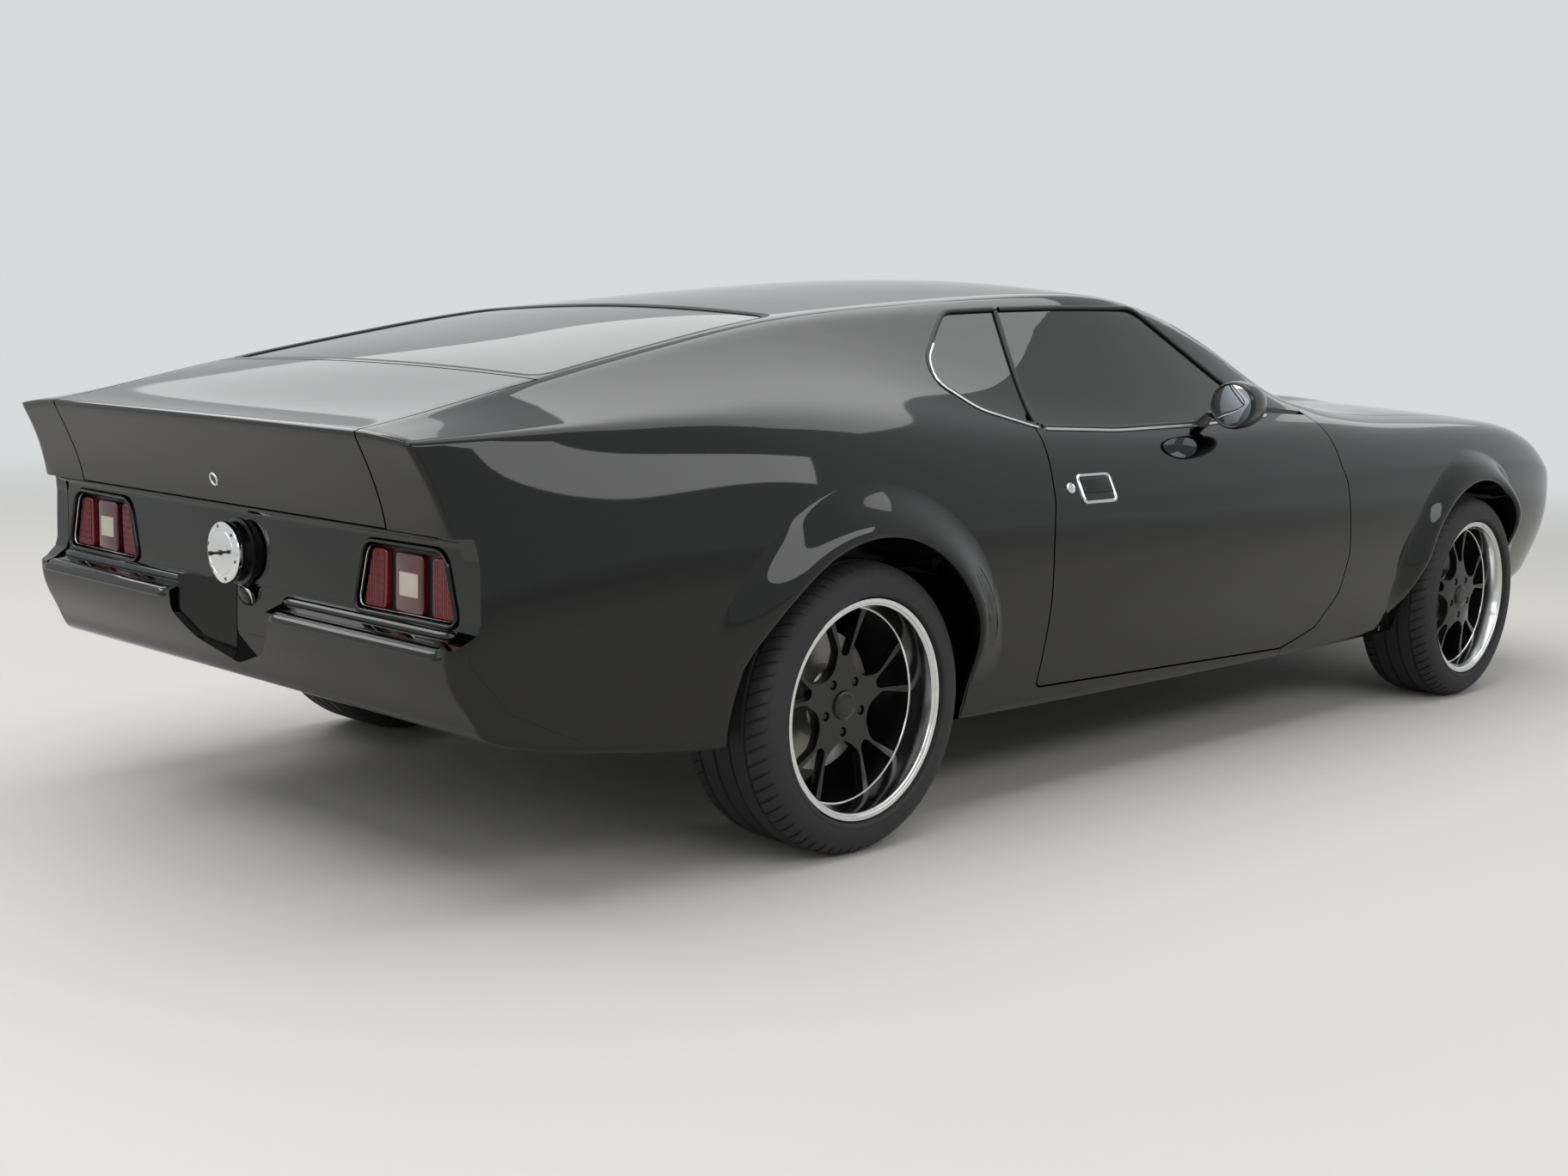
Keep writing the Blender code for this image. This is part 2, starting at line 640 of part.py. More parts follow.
def body_cage():
    """The body's control cage, a box of quads: stations along, columns across, rows down."""
    shape = bmesh.new()
    crease_layer = shape.edges.layers.float.new("crease_edge")
    last = len(STATION_SHARES) - 1
    grid = {}

    def vertex(key, x, y, z):
        grid[key] = shape.verts.new((x, y, z))

    for s, station in enumerate(STATION_SHARES):
        columns = top_columns(station)
        rows = half_rows(station)
        base_x = along(station[0])
        bow = station[1] * WHEELBASE
        belt_y = rows[0][0]
        setbacks = [0] * len(ROWS)
        if s == 0:
            setbacks = [share * REAR_OVERHANG for share in TAIL_SETBACK_SHARES]
        if s == last:
            setbacks = [-share * FRONT_OVERHANG for share in NOSE_SETBACK_SHARES]
        for side in (-1, 1):
            for c, (y, z) in enumerate(columns):
                if c == 0 and side == 1:
                    continue
                share = y / belt_y
                x = base_x + setbacks[0] + bow * (1 - share * share)
                vertex((s, side * c, 0), x, side * across(y), height(z))
            for r, (y, z) in enumerate(rows):
                vertex((s, side * 4, r), base_x + setbacks[r], side * across(y), height(z))
            sill_y, sill_z = rows[-1]
            for c, (y, _) in enumerate(columns):
                if c == 0 and side == 1:
                    continue
                share = y / belt_y
                x = base_x + setbacks[-1] + bow * (1 - share * share)
                vertex((s, side * c, 5), x, side * across(share * sill_y), height(sill_z))
            if s in (0, last):
                for r in range(1, 5):
                    row_y, row_z = rows[r]
                    for c, (y, _) in enumerate(columns):
                        if c == 0 and side == 1:
                            continue
                        share = y / belt_y
                        x = base_x + setbacks[r] + bow * (1 - share * share)
                        vertex((s, side * c, r), x, side * across(share * row_y), height(row_z))

    def quad(*keys):
        shape.faces.new([grid[key] for key in keys])

    for s in range(last):
        for c in range(-4, 4):
            quad((s, c, 0), (s + 1, c, 0), (s + 1, c + 1, 0), (s, c + 1, 0))
            quad((s, c, 5), (s, c + 1, 5), (s + 1, c + 1, 5), (s + 1, c, 5))
        for r in range(5):
            for side in (-4, 4):
                quad((s, side, r), (s, side, r + 1), (s + 1, side, r + 1), (s + 1, side, r))
    for s in (0, last):
        for r in range(5):
            for c in range(-4, 4):
                quad((s, c, r), (s, c + 1, r), (s, c + 1, r + 1), (s, c, r + 1))

    def sharpen(first, second, weight):
        edge = shape.edges.get((grid[first], grid[second]))
        edge[crease_layer] = weight

    weights = CREASE_WEIGHT_SHARES
    for s in range(last):
        for side in (-1, 1):
            sharpen((s, side * 4, 2), (s + 1, side * 4, 2), weights["crease"])
            sharpen((s, side * 4, 5), (s + 1, side * 4, 5), weights["sill"])
            if s < len(TAIL_EDGE_WEIGHT_SHARES):
                sharpen((s, side * 4, 0), (s + 1, side * 4, 0), TAIL_EDGE_WEIGHT_SHARES[s])
            if s < RAIL_CREASE_SPANS:
                sharpen((s, side * 2, 0), (s + 1, side * 2, 0), weights["rail"])
    for c in range(-4, 4):
        sharpen((0, c, 0), (0, c + 1, 0), TAIL_TOP_WEIGHT_SHARE)
    for side in (-4, 4):
        for r in range(5):
            sharpen((0, side, r), (0, side, r + 1), TAIL_CORNER_WEIGHT_SHARE)
    return shape


def body_solid(name, level):
    item = from_bmesh(name, body_cage())
    step = item.modifiers.new("smooth", "SUBSURF")
    step.levels = level
    step.render_levels = level
    mesh = evaluated_mesh(item)
    item.modifiers.clear()
    item.data = mesh
    return item


def coarse_solid(name, smooth):
    """The control cage with its points laid on the smooth body."""
    item = from_bmesh(name, body_cage())
    for vertex, place in zip(item.data.vertices, smooth.data.vertices):
        vertex.co = place.co
    return item


def thinned(item, name, distance):
    """A copy whose surface lies the distance inside the item's."""
    made = duplicate(item, name)
    shape = bmesh.new()
    shape.from_mesh(made.data)
    bmesh.ops.triangulate(shape, faces=shape.faces)
    shape.normal_update()
    moves = []
    for vertex in shape.verts:
        normal = vertex.normal
        spread = min(face.normal.dot(normal) for face in vertex.link_faces)
        moves.append(-normal * distance / max(spread, 0.5))
    for vertex, move in zip(shape.verts, moves):
        vertex.co += move
    shape.to_mesh(made.data)
    shape.free()
    return made



def side(shares):
    return [(along(a), height(b)) for a, b in shares]


def plan(shares):
    """The outline of both halves from the right half's shares."""
    right = [(along(a), -across(b)) for a, b in shares]
    left = [(x, -y) for x, y in reversed(right) if y != 0]
    return right + left


def wheel_well(axle, radius, inner_y, name):
    """Both wheels' wells of one axle, as one cutter."""
    outline = arc((AXLE_X[axle], TYRE_RADIUS), radius, 0, math.tau * (1 - 1 / ARCH_SEGMENTS), ARCH_SEGMENTS)
    return both_sides(outline, name, inner_y, HALF_WIDTH + OVERRUN)


def flare(axle, side_sign):
    """A rounded lip round the wheel opening, its outer edge sunk in the body's side."""
    centre = (AXLE_X[axle], TYRE_RADIUS)
    outer = FLARE_Y[axle]
    root = HALF_WIDTH - FLARE_WIDTH
    section = (
        (ARCH_RADIUS - SKIN / 2, root),
        (ARCH_RADIUS - SKIN / 2, outer - SKIN / 2),
        (ARCH_RADIUS, outer),
        *((ARCH_RADIUS + FLARE_WIDTH * out, outer - SKIN * drop_y) for out, drop_y in FLARE_CROWN_RATIOS),
        (ARCH_RADIUS + FLARE_WIDTH, HALF_WIDTH - SKIN / 2),
        (ARCH_RADIUS + FLARE_WIDTH, root),
    )
    start, end = FLARE_TURNS
    shape = bmesh.new()
    rings = []
    for k in range(ARCH_SEGMENTS // 2 + 1):
        angle = start + (end - start) * k / (ARCH_SEGMENTS // 2)
        rings.append([
            shape.verts.new((
                centre[0] + radius * math.cos(angle), side_sign * y, centre[1] + radius * math.sin(angle),
            ))
            for radius, y in section
        ])
    count = len(section)
    for first, second in zip(rings, rings[1:]):
        for i in range(count):
            j = (i + 1) % count
            shape.faces.new((first[i], first[j], second[j], second[i]))
    shape.faces.new(rings[0])
    shape.faces.new(rings[-1])
    return from_bmesh("flare", shape)


def lamp_outline():
    """The left lamp's outline in the plane across the car's length: (y, z)."""
    low, high = (height(share) for share in LAMP_Z_SHARES)
    return [(LAMP_INNER_Y, low), (LAMP_OUTER_Y[0], low), (LAMP_OUTER_Y[1], high), (LAMP_TOP_INNER_Y, high)]


def lamp_pockets():
    panel_x = along(REAR_POCKET_SHARES[2][0])
    outline = grown(lamp_outline(), SEAT_GAP)
    depth = LAMP_DEPTH + SEAT_GAP
    left = prism("pocket", outline, "x", panel_x - OVERRUN, panel_x + depth)
    right = mirrored(left, "pocket right")
    return join(left, right)


def make_body():
    """The painted panels, each cut from one smooth hollow body."""
    solid = body_solid("solid", SUBDIVISION_LEVEL)
    coarse = coarse_solid("coarse", solid)
    skin = thinned(coarse, "cavity", SKIN)
    sill_top = height(SILL_TOP_SHARE)
    drop(coarse)
    cut(skin, wheel_well("rear", ARCH_RADIUS + SKIN, WELL_INNER_Y["rear"] - SKIN, "well"))
    cut(skin, wheel_well("front", ARCH_RADIUS + SKIN, WELL_INNER_Y["front"] - SKIN, "well"))
    cut(skin, prism("rear wall", side(REAR_WALL_INNER_SHARES), "y", -HALF_WIDTH, HALF_WIDTH))
    sill_start, sill_end = (along(share) for share in SILL_SPAN_SHARES)
    sill = box("sill", (sill_start, JAMB_Y, 0), (sill_end, HALF_WIDTH + OVERRUN, sill_top))
    cut(skin, mirrored(sill, "sill right"))
    cut(skin, sill)
    shell = duplicate(solid, "shell")
    for axle in ("rear", "front"):
        for sign in (-1, 1):
            join(shell, flare(axle, sign))
    whole = duplicate(shell, "whole")
    cut(shell, skin)
    for axle in ("rear", "front"):
        cut(shell, wheel_well(axle, ARCH_RADIUS, WELL_INNER_Y[axle], "well"))
    cut(shell, prism("belly", side(BELLY_SHARES), "y", SKIN - JAMB_Y, JAMB_Y - SKIN))
    rear_zone = (-REAR_POCKET_HALF_WIDTH, REAR_POCKET_HALF_WIDTH)
    cut(shell, prism("rear pocket", side(REAR_POCKET_SHARES), "y", *rear_zone))
    cut(shell, lamp_pockets())
    licence = [(across(b), height(c)) for b, c in LICENCE_SHARES]
    licence += [(-y, z) for y, z in reversed(licence) if y]
    cut(shell, prism("licence", licence, "x", along(-1) - OVERRUN, along(LICENCE_DEPTH_SHARE)))

    window = side(SIDE_WINDOW_SHARES)
    cut(shell, prism("side windows", window, "y", -HALF_WIDTH, HALF_WIDTH))
    for shares, floor in (
        (WINDSHIELD_SHARES, WINDSHIELD_FLOOR_SHARE), (BACKLIGHT_SHARES, BACKLIGHT_FLOOR_SHARE),
    ):
        cut(shell, prism("glass hole", plan(shares), "z", height(floor), ROOF_HEIGHT + OVERRUN))

    parts = {}
    gap = PANEL_GAP / 2
    seam = SEAT_GAP / 2
    well_top = TYRE_RADIUS + ARCH_RADIUS + SKIN
    hood_floor = max(height(HOOD_FLOOR_SHARE), well_top + MOVING_GAP)
    hood_zone = ("z", hood_floor, ROOF_HEIGHT + OVERRUN)
    hood_line = plan(HOOD_SHARES)
    parts["hood"] = common(duplicate(shell, "hood"), prism("zone", grown(hood_line, -gap), *hood_zone))
    cut(shell, prism("zone", grown(hood_line, gap), *hood_zone))

    def lid_zone(distance):
        across_zone = prism("zone", grown(plan(LID_PLAN_SHARES), distance), "z", 0, ROOF_HEIGHT + OVERRUN)
        return common(across_zone, prism("zone", grown(side(LID_SIDE_SHARES), distance), "y", -1, 1))

    parts["deck_lid"] = common(duplicate(shell, "deck_lid"), lid_zone(-gap))
    cut(shell, lid_zone(gap))

    door_outline = side(DOOR_SHARES)
    glass_line = grown(window, SEAT_GAP - GLASS_CLEARANCE)
    zone = stacked("zone", [(grown(door_outline, -gap - inset), -y) for y, inset in DOOR_EDGE_STEPS])
    door = common(duplicate(whole, "door_right"), zone)
    parts["door_right"] = cut(door, prism("window", glass_line, "y", -HALF_WIDTH, HALF_WIDTH))
    parts["door_left"] = mirrored(door, "door_left")
    door_gap = both_sides(grown(door_outline, gap), "zone", JAMB_Y + JAMB_LIP, HALF_WIDTH + OVERRUN)
    cut(shell, door_gap, solver="MANIFOLD")
    drop(whole)

    nose_x = along(NOSE_SHARE)
    far_x = along(2) + OVERRUN
    top_z = ROOF_HEIGHT + OVERRUN
    wide = HALF_WIDTH + OVERRUN
    nose = box("zone", (nose_x + seam, -wide, -OVERRUN), (far_x, wide, top_z))
    parts["front_fascia"] = common(duplicate(shell, "front_fascia"), nose, solver="MANIFOLD")
    cut(shell, box("zone", (nose_x - seam, -wide, -OVERRUN), (far_x, wide, top_z)))

    lid_floor = height(LID_SIDE_SHARES[3][1]) + gap
    wall_x = along(REAR_WALL_INNER_SHARES[1][0])
    for sign in (-1, 1):
        middle = sign * LID_STOP_Y
        join(shell, box(
            "lid stop", (wall_x - STOP_SIZE * STOP_REACH_RATIO, middle - STOP_SIZE, lid_floor - STOP_SIZE),
            (wall_x - STOP_SIZE / 2, middle + STOP_SIZE, lid_floor - SEAT_GAP),
        ))
        near, far = sorted((sign * (JAMB_Y + JAMB_LIP / 2), sign * (DOOR_INNER_Y - SEAT_GAP)))
        stop_x = along(DOOR_STOP_SHARE)
        join(shell, box(
            "door stop", (stop_x, near, sill_top - STOP_SIZE),
            (stop_x + STOP_SIZE * 4, far, sill_top - JAMB_LIP / 2),
        ))

    parts["rear_valance"] = common(
        duplicate(shell, "rear_valance"),
        prism("zone", grown(side(VALANCE_SHARES), -seam), "y", -wide, wide),
    )
    cut(shell, prism("zone", grown(side(VALANCE_SHARES), seam), "y", -wide, wide))

    def fender_zone(distance):
        """Both fenders' space: outboard from the door's front edge on, and all of it past the cowl."""
        edge = [(x, z) for x, z in door_outline if x > along(0.5)]
        start = [(edge[0][0], -OVERRUN)] + edge + [(edge[-1][0], top_z)]
        outline = start + [(far_x, top_z), (far_x, -OVERRUN)]
        wide = both_sides(grown(outline, distance), "wide", FENDER_TOP_Y, HALF_WIDTH + OVERRUN)
        ahead = box(
            "ahead", (along(FENDER_START_SHARE) - distance, -HALF_WIDTH, -OVERRUN), (far_x, HALF_WIDTH, top_z)
        )
        return join(wide, ahead)

    front = common(duplicate(shell, "front"), fender_zone(-seam))
    cut(shell, fender_zone(seam))
    right_half = box("half", (along(0), -1 - HALF_WIDTH, -OVERRUN), (far_x, 0, top_z))
    parts["fender_left"] = cut(duplicate(front, "fender_left"), right_half, keep=True)
    parts["fender_right"] = common(front, right_half)
    parts["body_shell"] = shell
    for name, item in parts.items():
        finish_object(item, name, PAINT)
    return solid, parts


def place_hinges(parts):
    """Each moving panel's origin goes on its hinge."""
    hinge_x = along(DOOR_HINGE_SHARE)
    hinge_z = height(DOOR_HINGE_Z_SHARE)
    set_origin(parts["door_right"], (hinge_x, -DOOR_HINGE_Y, hinge_z))
    set_origin(parts["door_left"], (hinge_x, DOOR_HINGE_Y, hinge_z))
    for name, (share, high) in (("hood", HOOD_HINGE_SHARES), ("deck_lid", LID_HINGE_SHARES)):
        set_origin(parts[name], (along(share), 0, height(high)))



def glass_piece(name, solid, zone):
    """A thin sheet along the body's smooth surface, inside the zone."""
    sheet = thinned(solid, name, GLASS_DROP)
    core = thinned(solid, "core", GLASS_DROP + GLASS_THICKNESS)
    common(sheet, zone)
    cut(sheet, core)
    return finish_object(sheet, name, GLASS)


def make_glass(solid):
    """Windscreen, rear window and the side windows, split at the leaning divider."""
    pieces = []
    for name, shares, floor in (
        ("windshield", WINDSHIELD_SHARES, WINDSHIELD_FLOOR_SHARE),
        ("rear_window", BACKLIGHT_SHARES, BACKLIGHT_FLOOR_SHARE),
    ):
        outline = grown(plan(shares), -SEAT_GAP)
        zone = prism("zone", outline, "z", height(floor) + SEAT_GAP, ROOF_HEIGHT + OVERRUN)
        pieces.append(glass_piece(name, solid, zone))
    (top_x, top_z), (low_x, low_z) = side(GLASS_SPLIT_SHARES)
    lean = (top_x - low_x) / (top_z - low_z)
    high, low = ROOF_HEIGHT + OVERRUN, 0
    high_x = top_x + lean * (high - top_z)
    foot_x = low_x + lean * (low - low_z)
    for name, direction, clearance in (("door_glass", 1, GLASS_CLEARANCE), ("quarter_glass", -1, SEAT_GAP)):
        window = grown(side(SIDE_WINDOW_SHARES), -clearance)
        edge = direction * GLASS_CLEARANCE
        far = direction * WHEELBASE
        half = [(foot_x + edge, low), (high_x + edge, high), (high_x + far, high), (foot_x + far, low)]
        zone = prism("zone", window, "y", -HALF_WIDTH, -WINDOW_INNER_Y)
        common(zone, prism("half", half, "y", -HALF_WIDTH - OVERRUN, 0))
        if direction < 0:
            cut(zone, prism("door", grown(side(DOOR_SHARES), PANEL_GAP), "y", -HALF_WIDTH - OVERRUN, 0))
        right = glass_piece(name + "_right", solid, zone)
        left = mirrored(right, name + "_left")
        pieces += [right, finish_object(left, name + "_left", GLASS)]
    return pieces


def tyre_profile(axle):
    """The tyre's closed section as (radius, y) from the wheel's outer flange plane inward."""
    flange = FLANGE_Y[axle]
    width = TYRE_WIDTH[axle]
    middle = flange - RIM_WIDTH[axle] / 2
    half = width / 2
    seat = RIM_BEAD_RADIUS + SEAT_GAP
    side_height = TYRE_RADIUS - RIM_RADIUS
    bead_y = RIM_WIDTH[axle] / 2 - FLANGE_WALL - SEAT_GAP
    outer = (
        (seat, bead_y),
        (RIM_RADIUS + SEAT_GAP + FLANGE_WALL, bead_y),
        (RIM_RADIUS + side_height * SIDEWALL_WIDEST_RATIO, half),
        (RIM_RADIUS + side_height * SHOULDER_RATIOS[0], half - SIDEWALL_BULGE * SHOULDER_RATIOS[1]),
        (TYRE_RADIUS, half - SIDEWALL_BULGE * TREAD_EDGE_RATIO),
    )
    near = [(radius, -(middle + y)) for radius, y in outer]
    far = [(radius, -(middle - y)) for radius, y in reversed(outer)]
    return near + far


def rim_profile(axle):
    """The barrel's closed section, with a deep outer lip, as (radius, y)."""
    out = -FLANGE_Y[axle]
    back = out + RIM_WIDTH[axle]
    face = out + HUB_FACE_INSET[axle]
    return [
        (RIM_RADIUS, out), (RIM_RADIUS, out + FLANGE_WALL), (RIM_BEAD_RADIUS, out + FLANGE_WALL),
        (RIM_BEAD_RADIUS, back), (BARREL_RADIUS, back), (BARREL_RADIUS, face),
        (RIM_BEAD_RADIUS - BARREL_WALL, out + FLANGE_WALL), (RIM_RADIUS - BARREL_WALL, out),
    ]


def make_wheel(axle):
    """The right wheel of one axle: rim with disc as one casting and its tyre."""
    centre = (AXLE_X[axle], 0, TYRE_RADIUS)
    rim = turned("rim", rim_profile(axle), centre, WHEEL_SEGMENTS)
    face = -FLANGE_Y[axle] + HUB_FACE_INSET[axle]
    dish = SPOKE_DISH[axle]
    hub_face = face - dish
    middle_face = hub_face + dish / 2
    disc_face = disc_back(axle) - DISC_THICKNESS
    hub = turned("hub", [
        (0, hub_face - CAP_HEIGHT), (CAP_RADIUS * CAP_FACE_RATIO, hub_face - CAP_HEIGHT), (CAP_RADIUS, hub_face),
        (HUB_RADIUS, hub_face), (HUB_RADIUS, disc_face), (DISC_RADIUS, disc_face),
        (DISC_RADIUS, disc_back(axle)), (0, disc_back(axle)),
    ], centre, HUB_SEGMENTS, ring=False)
    tip_radius = BARREL_RADIUS + BARREL_WALL / 2
    for k in range(SPOKE_COUNT):
        middle = math.tau * (k + SPOKE_FIRST_TURN_SHARE) / SPOKE_COUNT
        fork = Vector((SPOKE_FORK_RADIUS * math.cos(middle), SPOKE_FORK_RADIUS * math.sin(middle)))
        root = Vector((math.cos(middle), math.sin(middle))) * HUB_RADIUS * SPOKE_ROOT_RATIO
        for sign in (-1, 1):
            angle = middle + sign * SPOKE_TIP_ANGLE
            tip = Vector((tip_radius * math.cos(angle), tip_radius * math.sin(angle)))
            start = fork - (tip - fork).normalized() * SPOKE_TIP_WIDTH * SPOKE_OVERLAP_RATIO
            tine = spoke(centre, start, tip, SPOKE_TIP_WIDTH, middle_face + SPOKE_STEP * 2, face + SPOKE_STEP)
            join(hub, tine, solver="MANIFOLD")
        stem = spoke(centre, root, fork, SPOKE_STEM_WIDTH, hub_face + SPOKE_STEP, middle_face + SPOKE_STEP)
        join(hub, stem, solver="MANIFOLD")
    join(rim, hub, solver="MANIFOLD")
    tyre = turned("tyre", tyre_profile(axle), centre, WHEEL_SEGMENTS)
    return rim, tyre


def spoke(centre, start, end, width, start_y, end_y):
    """One straight arm in the wheel's plane, its face running from start_y to end_y."""
    run = end - start
    aside = Vector((-run.y, run.x)).normalized() * width / 2
    shape = bmesh.new()
    rings = []
    for point, y in ((start, start_y), (end, end_y)):
        ring = []
        for offset, drop_y in ((-SPOKE_CHAMFER_RATIO, 0), (SPOKE_CHAMFER_RATIO, 0), (1, 1), (-1, 1)):
            place = point + aside * offset
            ring.append(shape.verts.new((centre[0] + place.x, y + drop_y * SPOKE_DEPTH, centre[2] + place.y)))
        rings.append(ring)
    for i in range(4):
        j = (i + 1) % 4
        shape.faces.new((rings[0][i], rings[0][j], rings[1][j], rings[1][i]))
    shape.faces.new(rings[0])
    shape.faces.new(rings[1])
    return from_bmesh("spoke", shape)


def disc_back(axle):
    """The Y of the right brake disc's inner face."""
    hub_face = -FLANGE_Y[axle] + HUB_FACE_INSET[axle] - SPOKE_DISH[axle]
    return hub_face + HUB_DEPTH + DISC_INSET + DISC_THICKNESS


def make_wheels():
    wheels = {}
    for axle in ("rear", "front"):
        rim, tyre = make_wheel(axle)
        for kind, item, finish in (("rim", rim, ALUMINIUM), ("tyre", tyre, RUBBER)):
            right_name = f"{kind}_{axle}_right"
            left_name = f"{kind}_{axle}_left"
            finish_object(item, right_name, finish)
            left = finish_object(mirrored(item, left_name), left_name, finish)
            for made, sign in ((item, -1), (left, 1)):
                set_origin(made, (AXLE_X[axle], sign * FLANGE_Y[axle], TYRE_RADIUS))
                wheels[made.name] = made
    return wheels


def caliper(axle):
    """A U over the right disc's edge, on the inner side and bridging it."""
    inner_face = disc_back(axle)
    outer_face = inner_face - DISC_THICKNESS
    gap = MOVING_GAP
    centre = Vector((AXLE_X[axle], 0, TYRE_RADIUS))
    low = DISC_RADIUS - CALIPER_HEIGHT
    high = DISC_RADIUS + gap + CALIPER_WALL / 2
    body = box(
        "caliper",
        (-CALIPER_LENGTH / 2, outer_face - gap - CALIPER_WALL / 2, low),
        (CALIPER_LENGTH / 2, inner_face + gap + CALIPER_WALL, high),
    )
    slot = box(
        "slot", (-CALIPER_LENGTH, outer_face - gap, low - OVERRUN),
        (CALIPER_LENGTH, inner_face + gap, DISC_RADIUS + gap),
    )
    cut(body, slot)
    turn = Matrix.Rotation(math.radians(90) - CALIPER_ANGLE, 4, "Y")
    body.data.transform(Matrix.Translation(centre) @ turn)
    return body


def make_knuckles():
    """Front uprights with spindles and callipers, turning on the steering axis."""
    x, z = FRONT_AXLE_X, TYRE_RADIUS
    spindle_end = disc_back("front") + SEAT_GAP
    post_y = -STEER_AXIS_Y
    right = cylinder(
        "knuckle_right", (x, post_y, z - KNUCKLE_HEIGHT / 2), (x, post_y, z + KNUCKLE_HEIGHT / 2),
        POST_RADIUS, HUB_SEGMENTS,
    )
    join(right, cylinder("spindle", (x, spindle_end, z), (x, post_y, z), SPINDLE_RADIUS))
    caliper_y = disc_back("front") + MOVING_GAP + CALIPER_WALL / 2
    bracket = box(
        "bracket", (x - DISC_RADIUS, caliper_y, z - BRACKET_HEIGHT / 2), (x, post_y, z + BRACKET_HEIGHT / 2),
    )
    join(right, bracket)
    item = caliper("front")
    item.data.transform(
        Matrix.Translation((x, 0, z)) @ Matrix.Rotation(math.pi, 4, "Y") @ Matrix.Translation((-x, 0, -z))
    )
    join(right, item)
    finish_object(right, "knuckle_right", STEEL)
    left = finish_object(mirrored(right, "knuckle_left"), "knuckle_left", STEEL)
    for item, sign in ((right, -1), (left, 1)):
        set_origin(item, (x, sign * STEER_AXIS_Y, z))
    return right, left


def make_rear_axle():
    """The rear axle's tube, differential, leaf springs and propeller shaft."""
    x, z = REAR_AXLE_X, TYRE_RADIUS
    end = -disc_back("rear") - SEAT_GAP
    diff_radius = height(FLOOR_SHARES[AXLE_FLOOR_ROW][1]) - z - DIFF_CLEARANCE
    axle = cylinder("rear_axle", (x, -end, z), (x, end, z), AXLE_TUBE_RADIUS, ROD_SEGMENTS)
    join(axle, turned("diff", [
        (0, -DIFF_HALF_WIDTH), (diff_radius * DIFF_FACE_RATIO, -DIFF_HALF_WIDTH),
        (diff_radius, -DIFF_HALF_WIDTH * DIFF_BAND_RATIO),
        (diff_radius, DIFF_HALF_WIDTH * DIFF_BAND_RATIO),
        (diff_radius * DIFF_FACE_RATIO, DIFF_HALF_WIDTH), (0, DIFF_HALF_WIDTH),
    ], (x, 0, z), ROD_SEGMENTS, ring=False))
    shaft_end = along(GEARBOX_SHARE) - SEAT_GAP
    join(axle, cylinder("shaft", (x, 0, z), (shaft_end, 0, GEARBOX_Z), SHAFT_RADIUS, ROD_SEGMENTS))
    line = side(SPRING_SHARES)
    upper = [(px, pz + SPRING_THICKNESS) for px, pz in reversed(line)]
    for sign in (-1, 1):
        low = sign * SPRING_Y - SPRING_WIDTH / 2
        join(axle, prism("spring", line + upper, "y", low, low + SPRING_WIDTH))
        for place_share, spring_share, carrier_share in SHACKLE_SHARES:
            shackle_x = along(place_share)
            join(axle, box(
                "shackle",
                (shackle_x, low + SPRING_THICKNESS / 4, height(spring_share) + SPRING_THICKNESS / 2),
                (shackle_x + SPRING_THICKNESS, low + SPRING_WIDTH - SPRING_THICKNESS / 4,
                 height(carrier_share) - SEAT_GAP),
            ))
        low_z = height(SPRING_SHARES[2][1]) + SPRING_THICKNESS / 2
        join(axle, box(
            "seat", (x - SPRING_WIDTH / 2, low + SPRING_THICKNESS / 4, low_z),
            (x + SPRING_WIDTH / 2, low + SPRING_WIDTH - SPRING_THICKNESS / 4, z),
        ))
    return finish_object(axle, "rear_axle", STEEL)


def toe_board_x(z):
    """Where the outer face of the sloping toe board is at a height."""
    (low_x, low_z), (high_x, high_z) = side(FLOOR_SHARES[CABIN_FLOOR_ROW:TOE_BOARD_ROW])
    return low_x + (high_x - low_x) * (z - low_z) / (high_z - low_z)


def lowest_over(target, x, y, reach):
    """The target's lowest Z above the corners of a square pad."""
    heights = []
    for dx in (-reach, reach):
        for dy in (-reach, reach):
            hit, place, _, _ = target.ray_cast(Vector((x + dx, y + dy, 0)), Vector((0, 0, 1)))
            if hit:
                heights.append(place.z)
    return min(heights)


